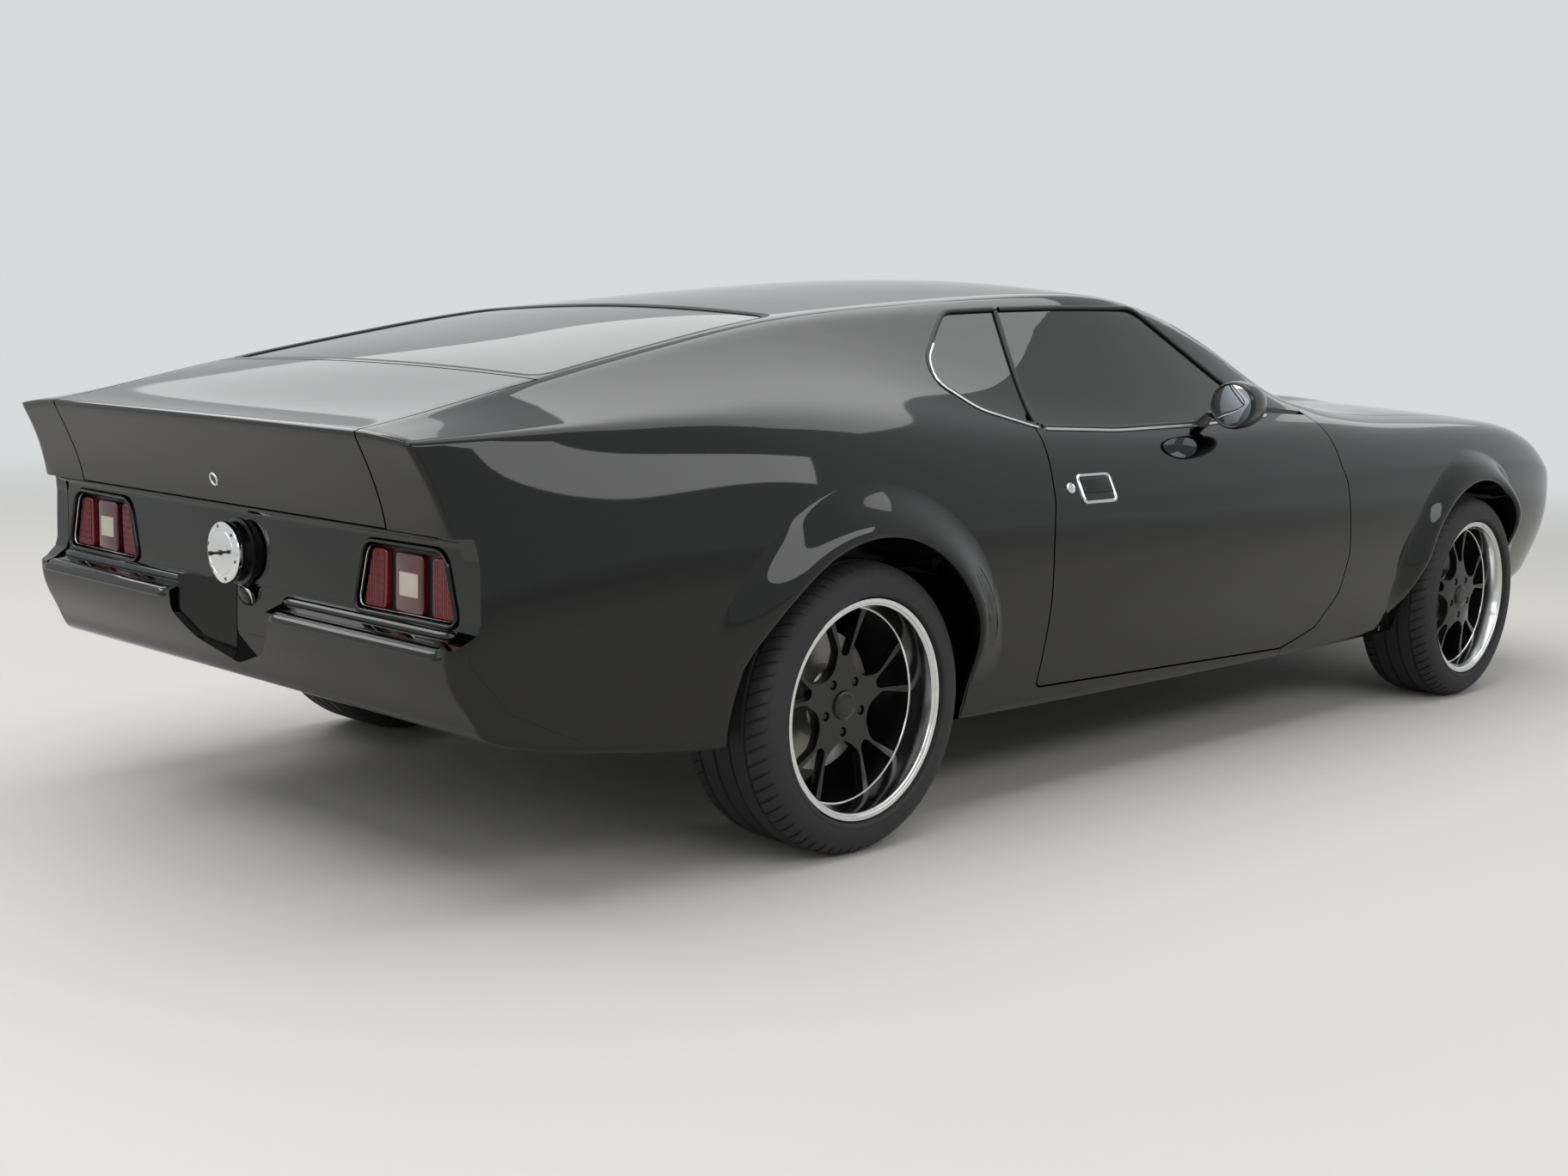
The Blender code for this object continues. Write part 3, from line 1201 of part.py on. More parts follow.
def make_subframe(hood):
    """The front crossmember, rails, arms, radiator and the hood's stops."""
    low_z, high_z = SUBFRAME_Z
    x0, x1 = (along(share) for share in SUBFRAME_SHARES)
    frame = box("front_subframe", (x0, -SUBFRAME_HALF_WIDTH, low_z), (x1, SUBFRAME_HALF_WIDTH, high_z))
    rail_top = high_z + RAIL_HEIGHT
    rail0, rail1 = toe_board_x(rail_top) + SEAT_GAP, along(RAIL_FRONT_SHARE)
    for sign in (-1, 1):
        y0 = sign * RAIL_Y - RAIL_WIDTH / 2
        join(frame, box("rail", (rail0, y0, high_z - RAIL_WIDTH / 2), (rail1, y0 + RAIL_WIDTH, rail_top)))
        join(frame, box(
            "tower", (x0, y0, high_z), (x1, y0 + RAIL_WIDTH, ARM_Z["upper"] + RAIL_WIDTH / 2),
        ))
        for arm_z in ARM_Z.values():
            reach = STEER_AXIS_Y - POST_RADIUS - SEAT_GAP
            join(frame, cylinder(
                "arm", (FRONT_AXLE_X, sign * RAIL_Y, arm_z), (FRONT_AXLE_X, sign * reach, arm_z),
                ARM_RADIUS, ROD_SEGMENTS,
            ))
    deep, tall = RADIATOR_DEPTH, height(RADIATOR_HEIGHT_SHARE)
    x = along(RADIATOR_SHARE)
    low = high_z + RAIL_HEIGHT / 2
    join(frame, box("radiator", (x, -RAIL_Y, low), (x + deep, RAIL_Y, low + tall)))
    reach = STOP_SIZE / 2
    for sign in (-1, 1):
        y = sign * HOOD_STOP_Y
        top = lowest_over(hood, x + deep / 2, y, reach) - SEAT_GAP
        join(frame, box(
            "stop", (x + deep / 2 - reach, y - reach, low + tall / 2), (x + deep / 2 + reach, y + reach, top),
        ))
    return finish_object(frame, "front_subframe", STEEL)


def make_engine():
    low, high = SUBFRAME_Z[1] + SEAT_GAP, height(ENGINE_TOP_SHARE)
    x0, x1 = (along(share) for share in ENGINE_SHARES)
    block = box(
        "engine", (x0, -ENGINE_HALF_WIDTH, low), (x1, ENGINE_HALF_WIDTH, high),
        bevel=ENGINE_BEVEL_RATIO * ENGINE_HALF_WIDTH,
    )
    join(block, cylinder(
        "gearbox", (along(GEARBOX_SHARE), 0, GEARBOX_Z), (x0 + RAIL_WIDTH, 0, GEARBOX_Z),
        GEARBOX_RADIUS, ROD_SEGMENTS,
    ))
    return finish_object(block, "engine", STEEL)


def make_floor():
    """The floor with its tunnel, toe board, seat step and fuel tank."""
    line = side(FLOOR_SHARES)
    upper = []
    for i, (x, z) in enumerate(line):
        before = Vector(line[max(i - 1, 0)])
        after = Vector(line[min(i + 1, len(line) - 1)])
        run = (after - before).normalized()
        upper.append((x - run.y * FLOOR_THICKNESS, z + run.x * FLOOR_THICKNESS))
    outline = line + upper[::-1]
    floor = prism("floor_pan", outline, "y", -FLOOR_HALF_WIDTH["rear"], FLOOR_HALF_WIDTH["rear"])
    x0, x1 = (along(share) for share in CABIN_FLOOR_SHARES)
    base = height(FLOOR_SHARES[CABIN_FLOOR_ROW][1])
    cabin_half = FLOOR_HALF_WIDTH["cabin"]
    flange_low, flange_high = (base + FLOOR_THICKNESS * ratio for ratio in FLOOR_FLANGE_RATIOS)
    join(floor, box("wide", (x0, -cabin_half, flange_low), (x1, cabin_half, flange_high)))
    low_y, high_y = TUNNEL_HALF_WIDTH
    top = height(TUNNEL_TOP_SHARE)
    base = height(FLOOR_SHARES[CABIN_FLOOR_ROW][1]) - FLOOR_THICKNESS
    start, end = (along(share) for share in TUNNEL_SPAN_SHARES)
    hollow_start, hollow_end = (along(share) for share in TUNNEL_HOLLOW_SHARES)
    outer = [(-low_y, base), (-high_y, top), (high_y, top), (low_y, base)]
    inner = [(-low_y + FLOOR_THICKNESS, base - OVERRUN), (-low_y + FLOOR_THICKNESS, base),
             (-high_y + FLOOR_THICKNESS, top - FLOOR_THICKNESS),
             (high_y - FLOOR_THICKNESS, top - FLOOR_THICKNESS),
             (low_y - FLOOR_THICKNESS, base), (low_y - FLOOR_THICKNESS, base - OVERRUN)]
    join(floor, prism("tunnel", outer, "x", start, end))
    cut(floor, prism("hollow", inner, "x", hollow_start, hollow_end))
    (tank0, tank_z), (tank1, _) = TANK_SHARES
    tank_top = height(FLOOR_SHARES[0][1]) + FLOOR_THICKNESS / 2
    join(floor, box(
        "tank", (along(tank0), -TANK_HALF_WIDTH, height(tank_z)), (along(tank1), TANK_HALF_WIDTH, tank_top),
        bevel=TANK_BEVEL / 4,
    ))
    return finish_object(floor, "floor_pan", TRIM)


def make_exhaust():
    x0, x1 = (along(share) for share in EXHAUST_SHARES)
    muffler0, muffler1 = (along(share) for share in MUFFLER_SHARES)
    carrier_z = height(FLOOR_SHARES[CABIN_FLOOR_ROW][1])
    z = carrier_z - MUFFLER_RADIUS - EXHAUST_CLEARANCE
    rear_carrier_z = height(TANK_SHARES[0][1])
    bridge_x = along(EXHAUST_BRIDGE_SHARE)
    pipes = []
    for sign in (-1, 1):
        y = sign * EXHAUST_Y
        pipe = cylinder("pipe", (x0, y, z), (x1, y, z), EXHAUST_RADIUS, ROD_SEGMENTS)
        for share, top_z in ((HANGER_SHARE, rear_carrier_z), (FRONT_HANGER_SHARE, carrier_z)):
            x = along(share)
            join(pipe, box(
                "hanger", (x, y - EXHAUST_RADIUS / 3, z),
                (x + EXHAUST_RADIUS, y + EXHAUST_RADIUS / 3, top_z - SEAT_GAP),
            ))
        join(pipe, cylinder("muffler", (muffler0, y, z), (muffler1, y, z), MUFFLER_RADIUS, ROD_SEGMENTS))
        pipes.append(pipe)
    bridge = box(
        "bridge", (bridge_x, -EXHAUST_Y, z - EXHAUST_RADIUS / 2),
        (bridge_x + EXHAUST_RADIUS * 2, EXHAUST_Y, z + EXHAUST_RADIUS / 2),
    )
    return finish_object(join(pipes[0], pipes[1], bridge), "exhaust", STEEL)


def make_seats():
    made = []
    half = SEAT_WIDTH / 2
    x = along(SEAT_SHARE)
    base = height(FLOOR_SHARES[CABIN_FLOOR_ROW][1]) + FLOOR_THICKNESS + SEAT_GAP
    profile = [
        (x - BACK_THICKNESS, base), (x + CUSHION_LENGTH, base), (x + CUSHION_LENGTH, base + CUSHION_HEIGHT),
        (x + BACK_THICKNESS, base + CUSHION_HEIGHT * BACK_FOOT_RATIO),
        (x - BACK_RAKE, base + BACK_HEIGHT), (x - BACK_RAKE - BACK_THICKNESS, base + BACK_HEIGHT),
    ]
    for name, sign in (("seat_right", -1), ("seat_left", 1)):
        middle = sign * SEAT_Y
        seat = prism(name, profile, "y", middle - half, middle + half)
        top = base + BACK_HEIGHT
        join(seat, box(
            "headrest",
            (x - BACK_RAKE - BACK_THICKNESS * HEADREST_RATIOS[0], middle - HEADREST_WIDTH / 2, top - BACK_THICKNESS / 3),
            (x - BACK_RAKE - BACK_THICKNESS * HEADREST_RATIOS[1], middle + HEADREST_WIDTH / 2, top + HEADREST_HEIGHT),
        ))
        made.append(finish_object(seat, name, VINYL))
    rear_base = height(FLOOR_SHARES[3][1]) + FLOOR_THICKNESS + SEAT_GAP
    outline = [(x, max(z, rear_base)) for x, z in side(REAR_SEAT_SHARES)]
    rear = prism("rear_seat", outline, "y", -REAR_SEAT_HALF_WIDTH, REAR_SEAT_HALF_WIDTH)
    made.append(finish_object(rear, "rear_seat", VINYL))
    return made


def make_dash():
    """The dashboard with its steering column."""
    firewall_x = along(FLOOR_SHARES[TOE_BOARD_ROW][0]) - FLOOR_THICKNESS - SEAT_GAP
    outline = [(min(x, firewall_x), z) for x, z in side(DASH_SHARES)]
    dash = prism("dashboard", outline, "y", -DASH_HALF_WIDTH, DASH_HALF_WIDTH)
    hub = Vector((along(WHEEL_SHARE), WHEEL_Y, height(WHEEL_Z_SHARE)))
    run = Vector((math.cos(COLUMN_RAKE), 0, -math.sin(COLUMN_RAKE)))
    start = hub + run * (WHEEL_GRIP_RADIUS * 2 + SEAT_GAP)
    reach = (along(COLUMN_END_SHARE) - hub.x) / run.x
    join(dash, cylinder("column", start, hub + run * reach, COLUMN_RADIUS, ROD_SEGMENTS))
    return finish_object(dash, "dashboard", VINYL)


def make_steering_wheel():
    """The rim, three spokes and hub, square to the column."""
    hub = Vector((along(WHEEL_SHARE), WHEEL_Y, height(WHEEL_Z_SHARE)))
    shape = bmesh.new()
    rings = []
    around, section = WHEEL_RIM_STEPS, WHEEL_GRIP_STEPS
    for k in range(around):
        angle = math.tau * k / around
        rings.append([
            shape.verts.new((
                (WHEEL_RADIUS + WHEEL_GRIP_RADIUS * math.cos(math.tau * n / section)) * math.cos(angle),
                (WHEEL_RADIUS + WHEEL_GRIP_RADIUS * math.cos(math.tau * n / section)) * math.sin(angle),
                WHEEL_GRIP_RADIUS * math.sin(math.tau * n / section),
            ))
            for n in range(section)
        ])
    for k in range(around):
        for n in range(section):
            m = (n + 1) % section
            following = rings[(k + 1) % around]
            shape.faces.new((rings[k][n], following[n], following[m], rings[k][m]))
    wheel = from_bmesh("steering_wheel", shape)
    flat = WHEEL_GRIP_RADIUS * WHEEL_ARM_RATIO
    join(wheel, cylinder(
        "boss", (0, 0, -WHEEL_GRIP_RADIUS * 2), (0, 0, WHEEL_GRIP_RADIUS * 2),
        COLUMN_RADIUS * WHEEL_BOSS_RATIO, ROD_SEGMENTS,
    ))
    for k in range(3):
        angle = math.tau * k / 3
        join(wheel, cylinder(
            "arm", (0, 0, 0), (WHEEL_RADIUS * math.cos(angle), WHEEL_RADIUS * math.sin(angle), 0), flat,
            WHEEL_ARM_STEPS,
        ))
    run = Vector((math.cos(COLUMN_RAKE), 0, -math.sin(COLUMN_RAKE)))
    wheel.data.transform(run.to_track_quat("Z", "Y").to_matrix().to_4x4())
    wheel.location = hub
    bpy.context.view_layer.update()
    return finish_object(wheel, "steering_wheel", VINYL)


def make_tail_lamps():
    """Each lamp is a rimmed tray with three lenses standing on its floor."""
    panel_x = along(REAR_POCKET_SHARES[2][0])
    outline = lamp_outline()
    back = panel_x + LAMP_DEPTH
    tray = prism("tail_lamp_left", outline, "x", panel_x - LAMP_RIM / 2, back)
    cut(tray, prism("tray hollow", grown(outline, -LAMP_RIM), "x", panel_x - OVERRUN, back - LAMP_RIM))
    lens = prism("lens", grown(outline, -LAMP_RIM * 0.5), "x", panel_x + LENS_DROP, back - LAMP_RIM / 2)
    low, high = (height(share) for share in LAMP_Z_SHARES)
    for split in LENS_SPLIT_Y:
        cut(lens, box(
            "split", (panel_x - OVERRUN, split - LAMP_RIM / 2, low - OVERRUN),
            (back - LAMP_RIM, split + LAMP_RIM / 2, high + OVERRUN),
        ))
    join(tray, lens)
    left = finish_object(tray, "tail_lamp_left", LENS)
    right = finish_object(mirrored(left, "tail_lamp_right"), "tail_lamp_right", LENS)
    return left, right


def make_fuel_cap():
    panel_x = along(REAR_POCKET_SHARES[2][0]) - SEAT_GAP
    radius = FUEL_CAP_RADIUS
    cap_z = height(FUEL_CAP_Z_SHARE)
    body_depth, body_radius = FUEL_CAP_BODY_RATIOS
    lever_reach, lever_width, lever_height = FUEL_CAP_LEVER_RATIOS
    cap = cylinder(
        "fuel_cap", (panel_x, 0, cap_z), (panel_x - FUEL_CAP_DEPTH * body_depth, 0, cap_z),
        radius * body_radius, HUB_SEGMENTS,
    )
    join(cap, cylinder(
        "face", (panel_x - FUEL_CAP_DEPTH / 2, 0, cap_z), (panel_x - FUEL_CAP_DEPTH, 0, cap_z), radius, HUB_SEGMENTS,
    ))
    join(cap, box(
        "lever",
        (panel_x - FUEL_CAP_DEPTH * lever_reach, -radius * lever_width, cap_z - radius * lever_height),
        (panel_x - FUEL_CAP_DEPTH / 2, radius * lever_width, cap_z + radius * lever_height),
    ))
    return finish_object(cap, "fuel_cap", ALUMINIUM)


def make_mirrors(door):
    x, y, z = along(MIRROR_SHARE), -MIRROR_Y, height(MIRROR_Z_SHARE)
    profile = [(r * MIRROR_RADIUS, a * MIRROR_LENGTH) for r, a in MIRROR_PROFILE]
    head = turned("mirror", profile, (0, 0, 0), ROD_SEGMENTS + 4, ring=False)
    head.data.transform(Matrix.Translation((x, y, z)) @ Matrix.Rotation(-math.pi / 2, 4, "Z"))
    wide, thin = MIRROR_PEDESTAL
    foot_y = -MIRROR_FOOT_Y
    foot_z = height(MIRROR_FOOT_Z_SHARE)
    shape = [
        (foot_y - thin, foot_z), (foot_y + thin, foot_z), (y + thin * MIRROR_NECK_RATIO, z), (y - thin * MIRROR_NECK_RATIO, z),
    ]
    pedestal = prism("pedestal", shape, "x", x - wide / 2, x + wide / 2)
    seat = duplicate(door, "seat")
    seat.data.transform(Matrix.Translation((0, 0, SEAT_GAP)))
    cut(pedestal, seat)
    join(head, pedestal)
    right = finish_object(head, "mirror_right", PAINT)
    left = finish_object(mirrored(right, "mirror_left"), "mirror_left", PAINT)
    return right, left


def surface_y(target, x, z):
    """The outermost |Y| of the target's right side at a place seen from the side."""
    hit, place, _, _ = target.ray_cast(Vector((x, -1 - HALF_WIDTH, z)), Vector((0, 1, 0)))
    return -place.y if hit else HALF_WIDTH


def make_handles(doors):
    """A framed paddle handle with its key lock, set a little proud of each door."""
    (x0, z1), (x1, z0) = side(HANDLE_SHARES)
    made = []
    door = doors["door_right"]
    y = -surface_y(door, (x0 + x1) / 2, (z0 + z1) / 2)
    frame = box("door_handle_right", (x0, y - HANDLE_PROUD, z0), (x1, y + HANDLE_DEPTH, z1), bevel=HANDLE_PROUD / 4)
    pocket = box(
        "pocket", (x0 - SEAT_GAP, y - OVERRUN, z0 - SEAT_GAP),
        (x1 + SEAT_GAP, y + HANDLE_DEPTH + SEAT_GAP, z1 + SEAT_GAP),
    )
    left_pocket = mirrored(pocket, "pocket left")
    cut(doors["door_right"], pocket)
    cut(doors["door_left"], left_pocket)
    made.append(finish_object(frame, "door_handle_right", CHROME))
    made.append(finish_object(mirrored(frame, "door_handle_left"), "door_handle_left", CHROME))
    return made


def make_front(fascia):
    """Grille, headlamps and bumper in openings cut from the front panel."""
    made = []
    face_x = along(2)
    back_x = along(GRILLE_BACK_SHARE)
    outline = [(-y, z) for y, z in ((across(a), height(b)) for a, b in GRILLE_SHARES)]
    outline += [(-y, z) for y, z in reversed(outline)]
    grille_hole = prism("grille hole", grown(outline, SEAT_GAP), "x", back_x - OVERRUN, face_x + OVERRUN)
    cut(fascia, grille_hole, solver="MANIFOLD")
    front_x = back_x + GRILLE_DEPTH
    frame = prism("grille", outline, "x", back_x, front_x)
    cut(frame, prism("grille hollow", grown(outline, -GRILLE_BAR), "x", back_x - OVERRUN, front_x + OVERRUN))
    low = min(z for _, z in outline)
    high = max(z for _, z in outline)
    half = max(y for y, _ in outline)
    for k in range(1, GRILLE_BARS):
        z = low + (high - low) * k / GRILLE_BARS
        bar = box(
            "bar", (back_x + GRILLE_BAR, -half, z - GRILLE_BAR / 4), (front_x - GRILLE_BAR, half, z + GRILLE_BAR / 4)
        )
        join(frame, common(bar, prism("within", grown(outline, -GRILLE_BAR / 2), "x", back_x, front_x)))
    for k in range(1, GRILLE_COLUMNS):
        y = -half + 2 * half * k / GRILLE_COLUMNS
        bar = box(
            "bar", (back_x + GRILLE_COLUMN_INSET, y - GRILLE_BAR / 4, low),
            (front_x - GRILLE_COLUMN_INSET, y + GRILLE_BAR / 4, high),
        )
        join(frame, common(bar, prism("within", grown(outline, -GRILLE_BAR / 2), "x", back_x, front_x)))
    made.append(finish_object(frame, "grille", TRIM))
    lamp_x = along(HEADLAMP_X_SHARE)
    lamp_z = height(HEADLAMP_Z_SHARE)
    for name, sign in (("headlamp_right", -1), ("headlamp_left", 1)):
        y = sign * HEADLAMP_Y
        hole = cylinder(
            "hole", (lamp_x - OVERRUN, y, lamp_z), (lamp_x + OVERRUN, y, lamp_z),
            HEADLAMP_RADIUS + SEAT_GAP, LAMP_SEGMENTS,
        )
        cut(fascia, hole, solver="MANIFOLD")
        lamp = cylinder(
            name, (lamp_x - HEADLAMP_DEPTH, y, lamp_z), (lamp_x, y, lamp_z), HEADLAMP_RADIUS, LAMP_SEGMENTS
        )
        bowl = cylinder(
            "bowl", (lamp_x - HEADLAMP_DEPTH * LAMP_BOWL_DEPTH_RATIO, y, lamp_z), (lamp_x + OVERRUN, y, lamp_z),
            HEADLAMP_RADIUS * LAMP_BOWL_RATIO, LAMP_SEGMENTS,
        )
        cut(lamp, bowl)
        made.append(finish_object(lamp, name, LAMP_GLASS))
    return made


def main():
    clear_scene()
    solid, parts = make_body()
    make_glass(solid)
    drop(solid)
    make_front(parts["front_fascia"])
    make_handles(parts)
    make_wheels()
    make_knuckles()
    make_rear_axle()
    make_subframe(parts["hood"])
    make_engine()
    make_floor()
    make_exhaust()
    make_seats()
    make_dash()
    make_steering_wheel()
    make_tail_lamps()
    make_fuel_cap()
    make_mirrors(parts["door_right"])
    place_hinges(parts)


main()
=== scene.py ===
# %% [markdown]
# A black two-door fastback with a ducktail, flared arches and split-spoke
# wheels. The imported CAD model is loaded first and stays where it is: it is the
# frame that every piece below is built on. Gloss black paint shows nothing but
# reflections, so the painted skin is made again here from the same control
# cage as the CAD, with a finer subdivision.

import json
import math

import bmesh
import bpy
from mathutils import Matrix, Vector
from mathutils.bvhtree import BVHTree
from mathutils.geometry import barycentric_transform

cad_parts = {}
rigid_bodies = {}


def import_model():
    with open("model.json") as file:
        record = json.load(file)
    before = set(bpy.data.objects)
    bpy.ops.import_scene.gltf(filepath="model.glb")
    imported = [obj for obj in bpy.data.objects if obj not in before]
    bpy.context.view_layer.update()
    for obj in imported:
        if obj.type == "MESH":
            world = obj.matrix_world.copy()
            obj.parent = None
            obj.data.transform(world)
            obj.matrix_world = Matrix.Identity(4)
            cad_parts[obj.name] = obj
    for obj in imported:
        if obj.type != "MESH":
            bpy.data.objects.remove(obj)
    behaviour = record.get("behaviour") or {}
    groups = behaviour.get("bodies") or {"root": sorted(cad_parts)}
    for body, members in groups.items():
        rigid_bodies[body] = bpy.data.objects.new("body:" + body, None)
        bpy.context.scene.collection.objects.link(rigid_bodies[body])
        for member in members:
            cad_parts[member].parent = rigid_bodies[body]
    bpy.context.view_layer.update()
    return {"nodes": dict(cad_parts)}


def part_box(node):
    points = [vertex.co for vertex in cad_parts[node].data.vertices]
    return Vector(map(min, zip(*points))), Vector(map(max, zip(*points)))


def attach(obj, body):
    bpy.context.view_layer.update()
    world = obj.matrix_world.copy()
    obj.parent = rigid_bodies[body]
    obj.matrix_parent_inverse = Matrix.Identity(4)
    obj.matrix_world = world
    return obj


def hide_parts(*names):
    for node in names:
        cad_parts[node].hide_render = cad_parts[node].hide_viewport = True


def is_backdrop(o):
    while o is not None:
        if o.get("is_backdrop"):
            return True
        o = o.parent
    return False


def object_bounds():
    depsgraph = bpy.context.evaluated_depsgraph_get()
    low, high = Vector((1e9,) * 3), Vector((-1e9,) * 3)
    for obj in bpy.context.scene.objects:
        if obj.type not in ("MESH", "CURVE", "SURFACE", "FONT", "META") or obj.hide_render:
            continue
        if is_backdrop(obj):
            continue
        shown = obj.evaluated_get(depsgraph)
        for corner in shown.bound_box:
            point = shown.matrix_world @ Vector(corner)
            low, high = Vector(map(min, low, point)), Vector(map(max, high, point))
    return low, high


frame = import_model()
print("frame:", len(frame["nodes"]), "nodes")

# %% [markdown]
# The camera stands low behind the right rear corner. Its place and angles
# come from the two wheels' ellipses in the photograph, and the long side of
# the picture is 1824 pixels for a focal length of 2232 pixels.

# %% Camera
scene = bpy.context.scene
scene.view_settings.view_transform = "Standard"
PHOTO_WIDTH_PX = 1824
FOCAL_PX = 2231.6
CAMERA_PLACE = Vector((-4.3165, -3.518, 1.108))
CAMERA_YAW = math.radians(44.13)
CAMERA_PITCH = math.radians(-7.95)
CAMERA_ROLL = math.radians(1.40)

camera_data = bpy.data.cameras.new("camera")
camera_data.sensor_width = 36
camera_data.lens = camera_data.sensor_width * FOCAL_PX / PHOTO_WIDTH_PX
camera = bpy.data.objects.new("camera", camera_data)
scene.collection.objects.link(camera)
look = Vector((
    math.cos(CAMERA_PITCH) * math.cos(CAMERA_YAW),
    math.cos(CAMERA_PITCH) * math.sin(CAMERA_YAW),
    math.sin(CAMERA_PITCH),
))
right_hand = look.cross(Vector((0, 0, 1))).normalized()
upward = right_hand.cross(look)
tilted_right = right_hand * math.cos(CAMERA_ROLL) + upward * math.sin(CAMERA_ROLL)
tilted_up = upward * math.cos(CAMERA_ROLL) - right_hand * math.sin(CAMERA_ROLL)
camera.matrix_world = Matrix((
    (tilted_right.x, tilted_up.x, -look.x, CAMERA_PLACE.x),
    (tilted_right.y, tilted_up.y, -look.y, CAMERA_PLACE.y),
    (tilted_right.z, tilted_up.z, -look.z, CAMERA_PLACE.z),
    (0, 0, 0, 1),
))
scene.camera = camera
print("camera lens in mm:", round(camera_data.lens, 2))

# %% [markdown]
# Small tools first. One turns an sRGB hex colour to the linear values that
# the shaders want, one adds a node with its settings and links, and the rest
# make objects from bmeshes and cut one solid with another. The cuts use the
# manifold solver, which keeps closed meshes closed and is quick.

# %% Helpers
def colour(code):
    """Linear RGBA of an sRGB hex code."""
    channels = [int(code[i:i + 2], 16) / 255 for i in (1, 3, 5)]
    linear = [c / 12.92 if c <= 0.04045 else ((c + 0.055) / 1.055) ** 2.4 for c in channels]
    return (*linear, 1.0)


def node(tree, kind, links=None, **settings):
    """A new node. Settings name its properties or sockets, and links name what feeds each socket."""
    made = tree.nodes.new(kind)
    for name, value in settings.items():
        socket = made.inputs.get(name.replace("_", " ").title()) if not hasattr(made, name) else None
        if socket is None:
            setattr(made, name, value)
        else:
            socket.default_value = value
    for name, source in (links or {}).items():
        tree.links.new(source, made.inputs[name])
    return made


def finish_of(name, **sockets):
    """A Principled material, with its plain values set on the shader's own sockets."""
    made = bpy.data.materials.new(name)
    made.use_nodes = True
    shader = made.node_tree.nodes["Principled BSDF"]
    for key, value in sockets.items():
        shader.inputs[key.replace("_", " ").title().replace("Ior", "IOR")].default_value = value
    return made, made.node_tree, shader


def object_of(name, shape):
    """An object from a bmesh, which is used up."""
    mesh = bpy.data.meshes.new(name)
    shape.to_mesh(mesh)
    shape.free()
    item = bpy.data.objects.new(name, mesh)
    scene.collection.objects.link(item)
    return item


def loose(name, shape):
    """A helper object with its faces turned outward."""
    bmesh.ops.recalc_face_normals(shape, faces=shape.faces)
    return object_of(name, shape)


def dress(item, material, body="body", name=None, slot=None, replaces=(), smooth=True, angle=35):
    """Makes an object a piece: its finish, the CAD body it rides on, and the nodes it replaces. The slot is not used.
    """
    item.name = name or item.name
    item.data.materials.clear()
    item.data.materials.append(material)
    if smooth:
        item.data.shade_smooth()
        item.data.set_sharp_from_angle(angle=math.radians(angle))
    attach(item, body)
    if replaces:
        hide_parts(*replaces)
    return item


def piece(name, shape, material, body="body", **rest):
    """A piece from a bmesh."""
    return dress(object_of(name, shape), material, body, **rest)


def mirrored(item, name):
    made = copy_of(item, name)
    made.data.transform(Matrix.Scale(-1, 4, (0, 1, 0)))
    made.data.flip_normals()
    return made


def pair(name, item, material, body="body", replaces=(), **rest):
    """A right-hand object and its mirror image as two pieces. Body and replaced nodes are named without the side."""
    left = mirrored(item, name + "_left")
    for made, side_name in ((item, "right"), (left, "left")):
        stands_for = [f"{node_name}_{side_name}" for node_name in replaces]
        ridden = body if body == "body" else f"{body}_{side_name}"
        dress(made, material, ridden, f"{name}_{side_name}", replaces=stands_for, **rest)
    return item


def remove(*items):
    for item in items:
        bpy.data.objects.remove(item, do_unlink=True)


def applied(item):
    """The item's mesh with its modifiers applied."""
    graph = bpy.context.evaluated_depsgraph_get()
    mesh = bpy.data.meshes.new_from_object(item.evaluated_get(graph))
    item.modifiers.clear()
    item.data = mesh
    return item


def boolean(item, other, operation, keep=False):
    step = item.modifiers.new(operation, "BOOLEAN")
    step.operation = operation
    step.solver = "MANIFOLD"
    step.object = other
    applied(item)
    if not keep:
        remove(other)
    return item


def copy_of(item, name):
    made = bpy.data.objects.new(name, item.data.copy())
    scene.collection.objects.link(made)
    return made


def slab(outline, axis, low, high):
    """A closed outline in the plane across an axis, extruded from low to high."""
    places = {"x": lambda a, b, c: (c, a, b), "y": lambda a, b, c: (a, c, b), "z": lambda a, b, c: (a, b, c)}
    place = places[axis]
    shape = bmesh.new()
    face = shape.faces.new([shape.verts.new(place(a, b, low)) for a, b in outline])
    swept = bmesh.ops.extrude_face_region(shape, geom=[face])
    moved = [v for v in swept["geom"] if isinstance(v, bmesh.types.BMVert)]
    bmesh.ops.translate(shape, vec=place(0, 0, high - low), verts=moved)
    return loose("slab", shape)


def block(low, high):
    shape = bmesh.new()
    bmesh.ops.create_cube(shape, size=1)
    bmesh.ops.scale(shape, vec=[b - a for a, b in zip(low, high)], verts=shape.verts)
    bmesh.ops.translate(shape, vec=[(a + b) / 2 for a, b in zip(low, high)], verts=shape.verts)
    return loose("block", shape)


def box_outline(low, high):
    return [(low[0], low[1]), (high[0], low[1]), (high[0], high[1]), (low[0], high[1])]


def flip(outline, sign):
    """An outline seen along the car, on the left side for 1 and on the right for -1."""
    return [(sign * y, z) for y, z in outline]


def grown(outline, distance):
    """The outline moved outward by a distance, with mitred corners."""
    count = len(outline)
    pairs = [(outline[i], outline[(i + 1) % count]) for i in range(count)]
    turn = 1 if sum(a[0] * b[1] - b[0] * a[1] for a, b in pairs) > 0 else -1
    moved = []
    for i in range(count):
        before, here, after = Vector(outline[i - 1]), Vector(outline[i]), Vector(outline[(i + 1) % count])
        first, second = (here - before).normalized(), (after - here).normalized()
        out_one = Vector((first.y, -first.x)) * turn
        mitre = out_one + Vector((second.y, -second.x)) * turn
        moved.append(tuple(here + mitre / max(mitre.dot(out_one), 0.3) * distance))
    return moved


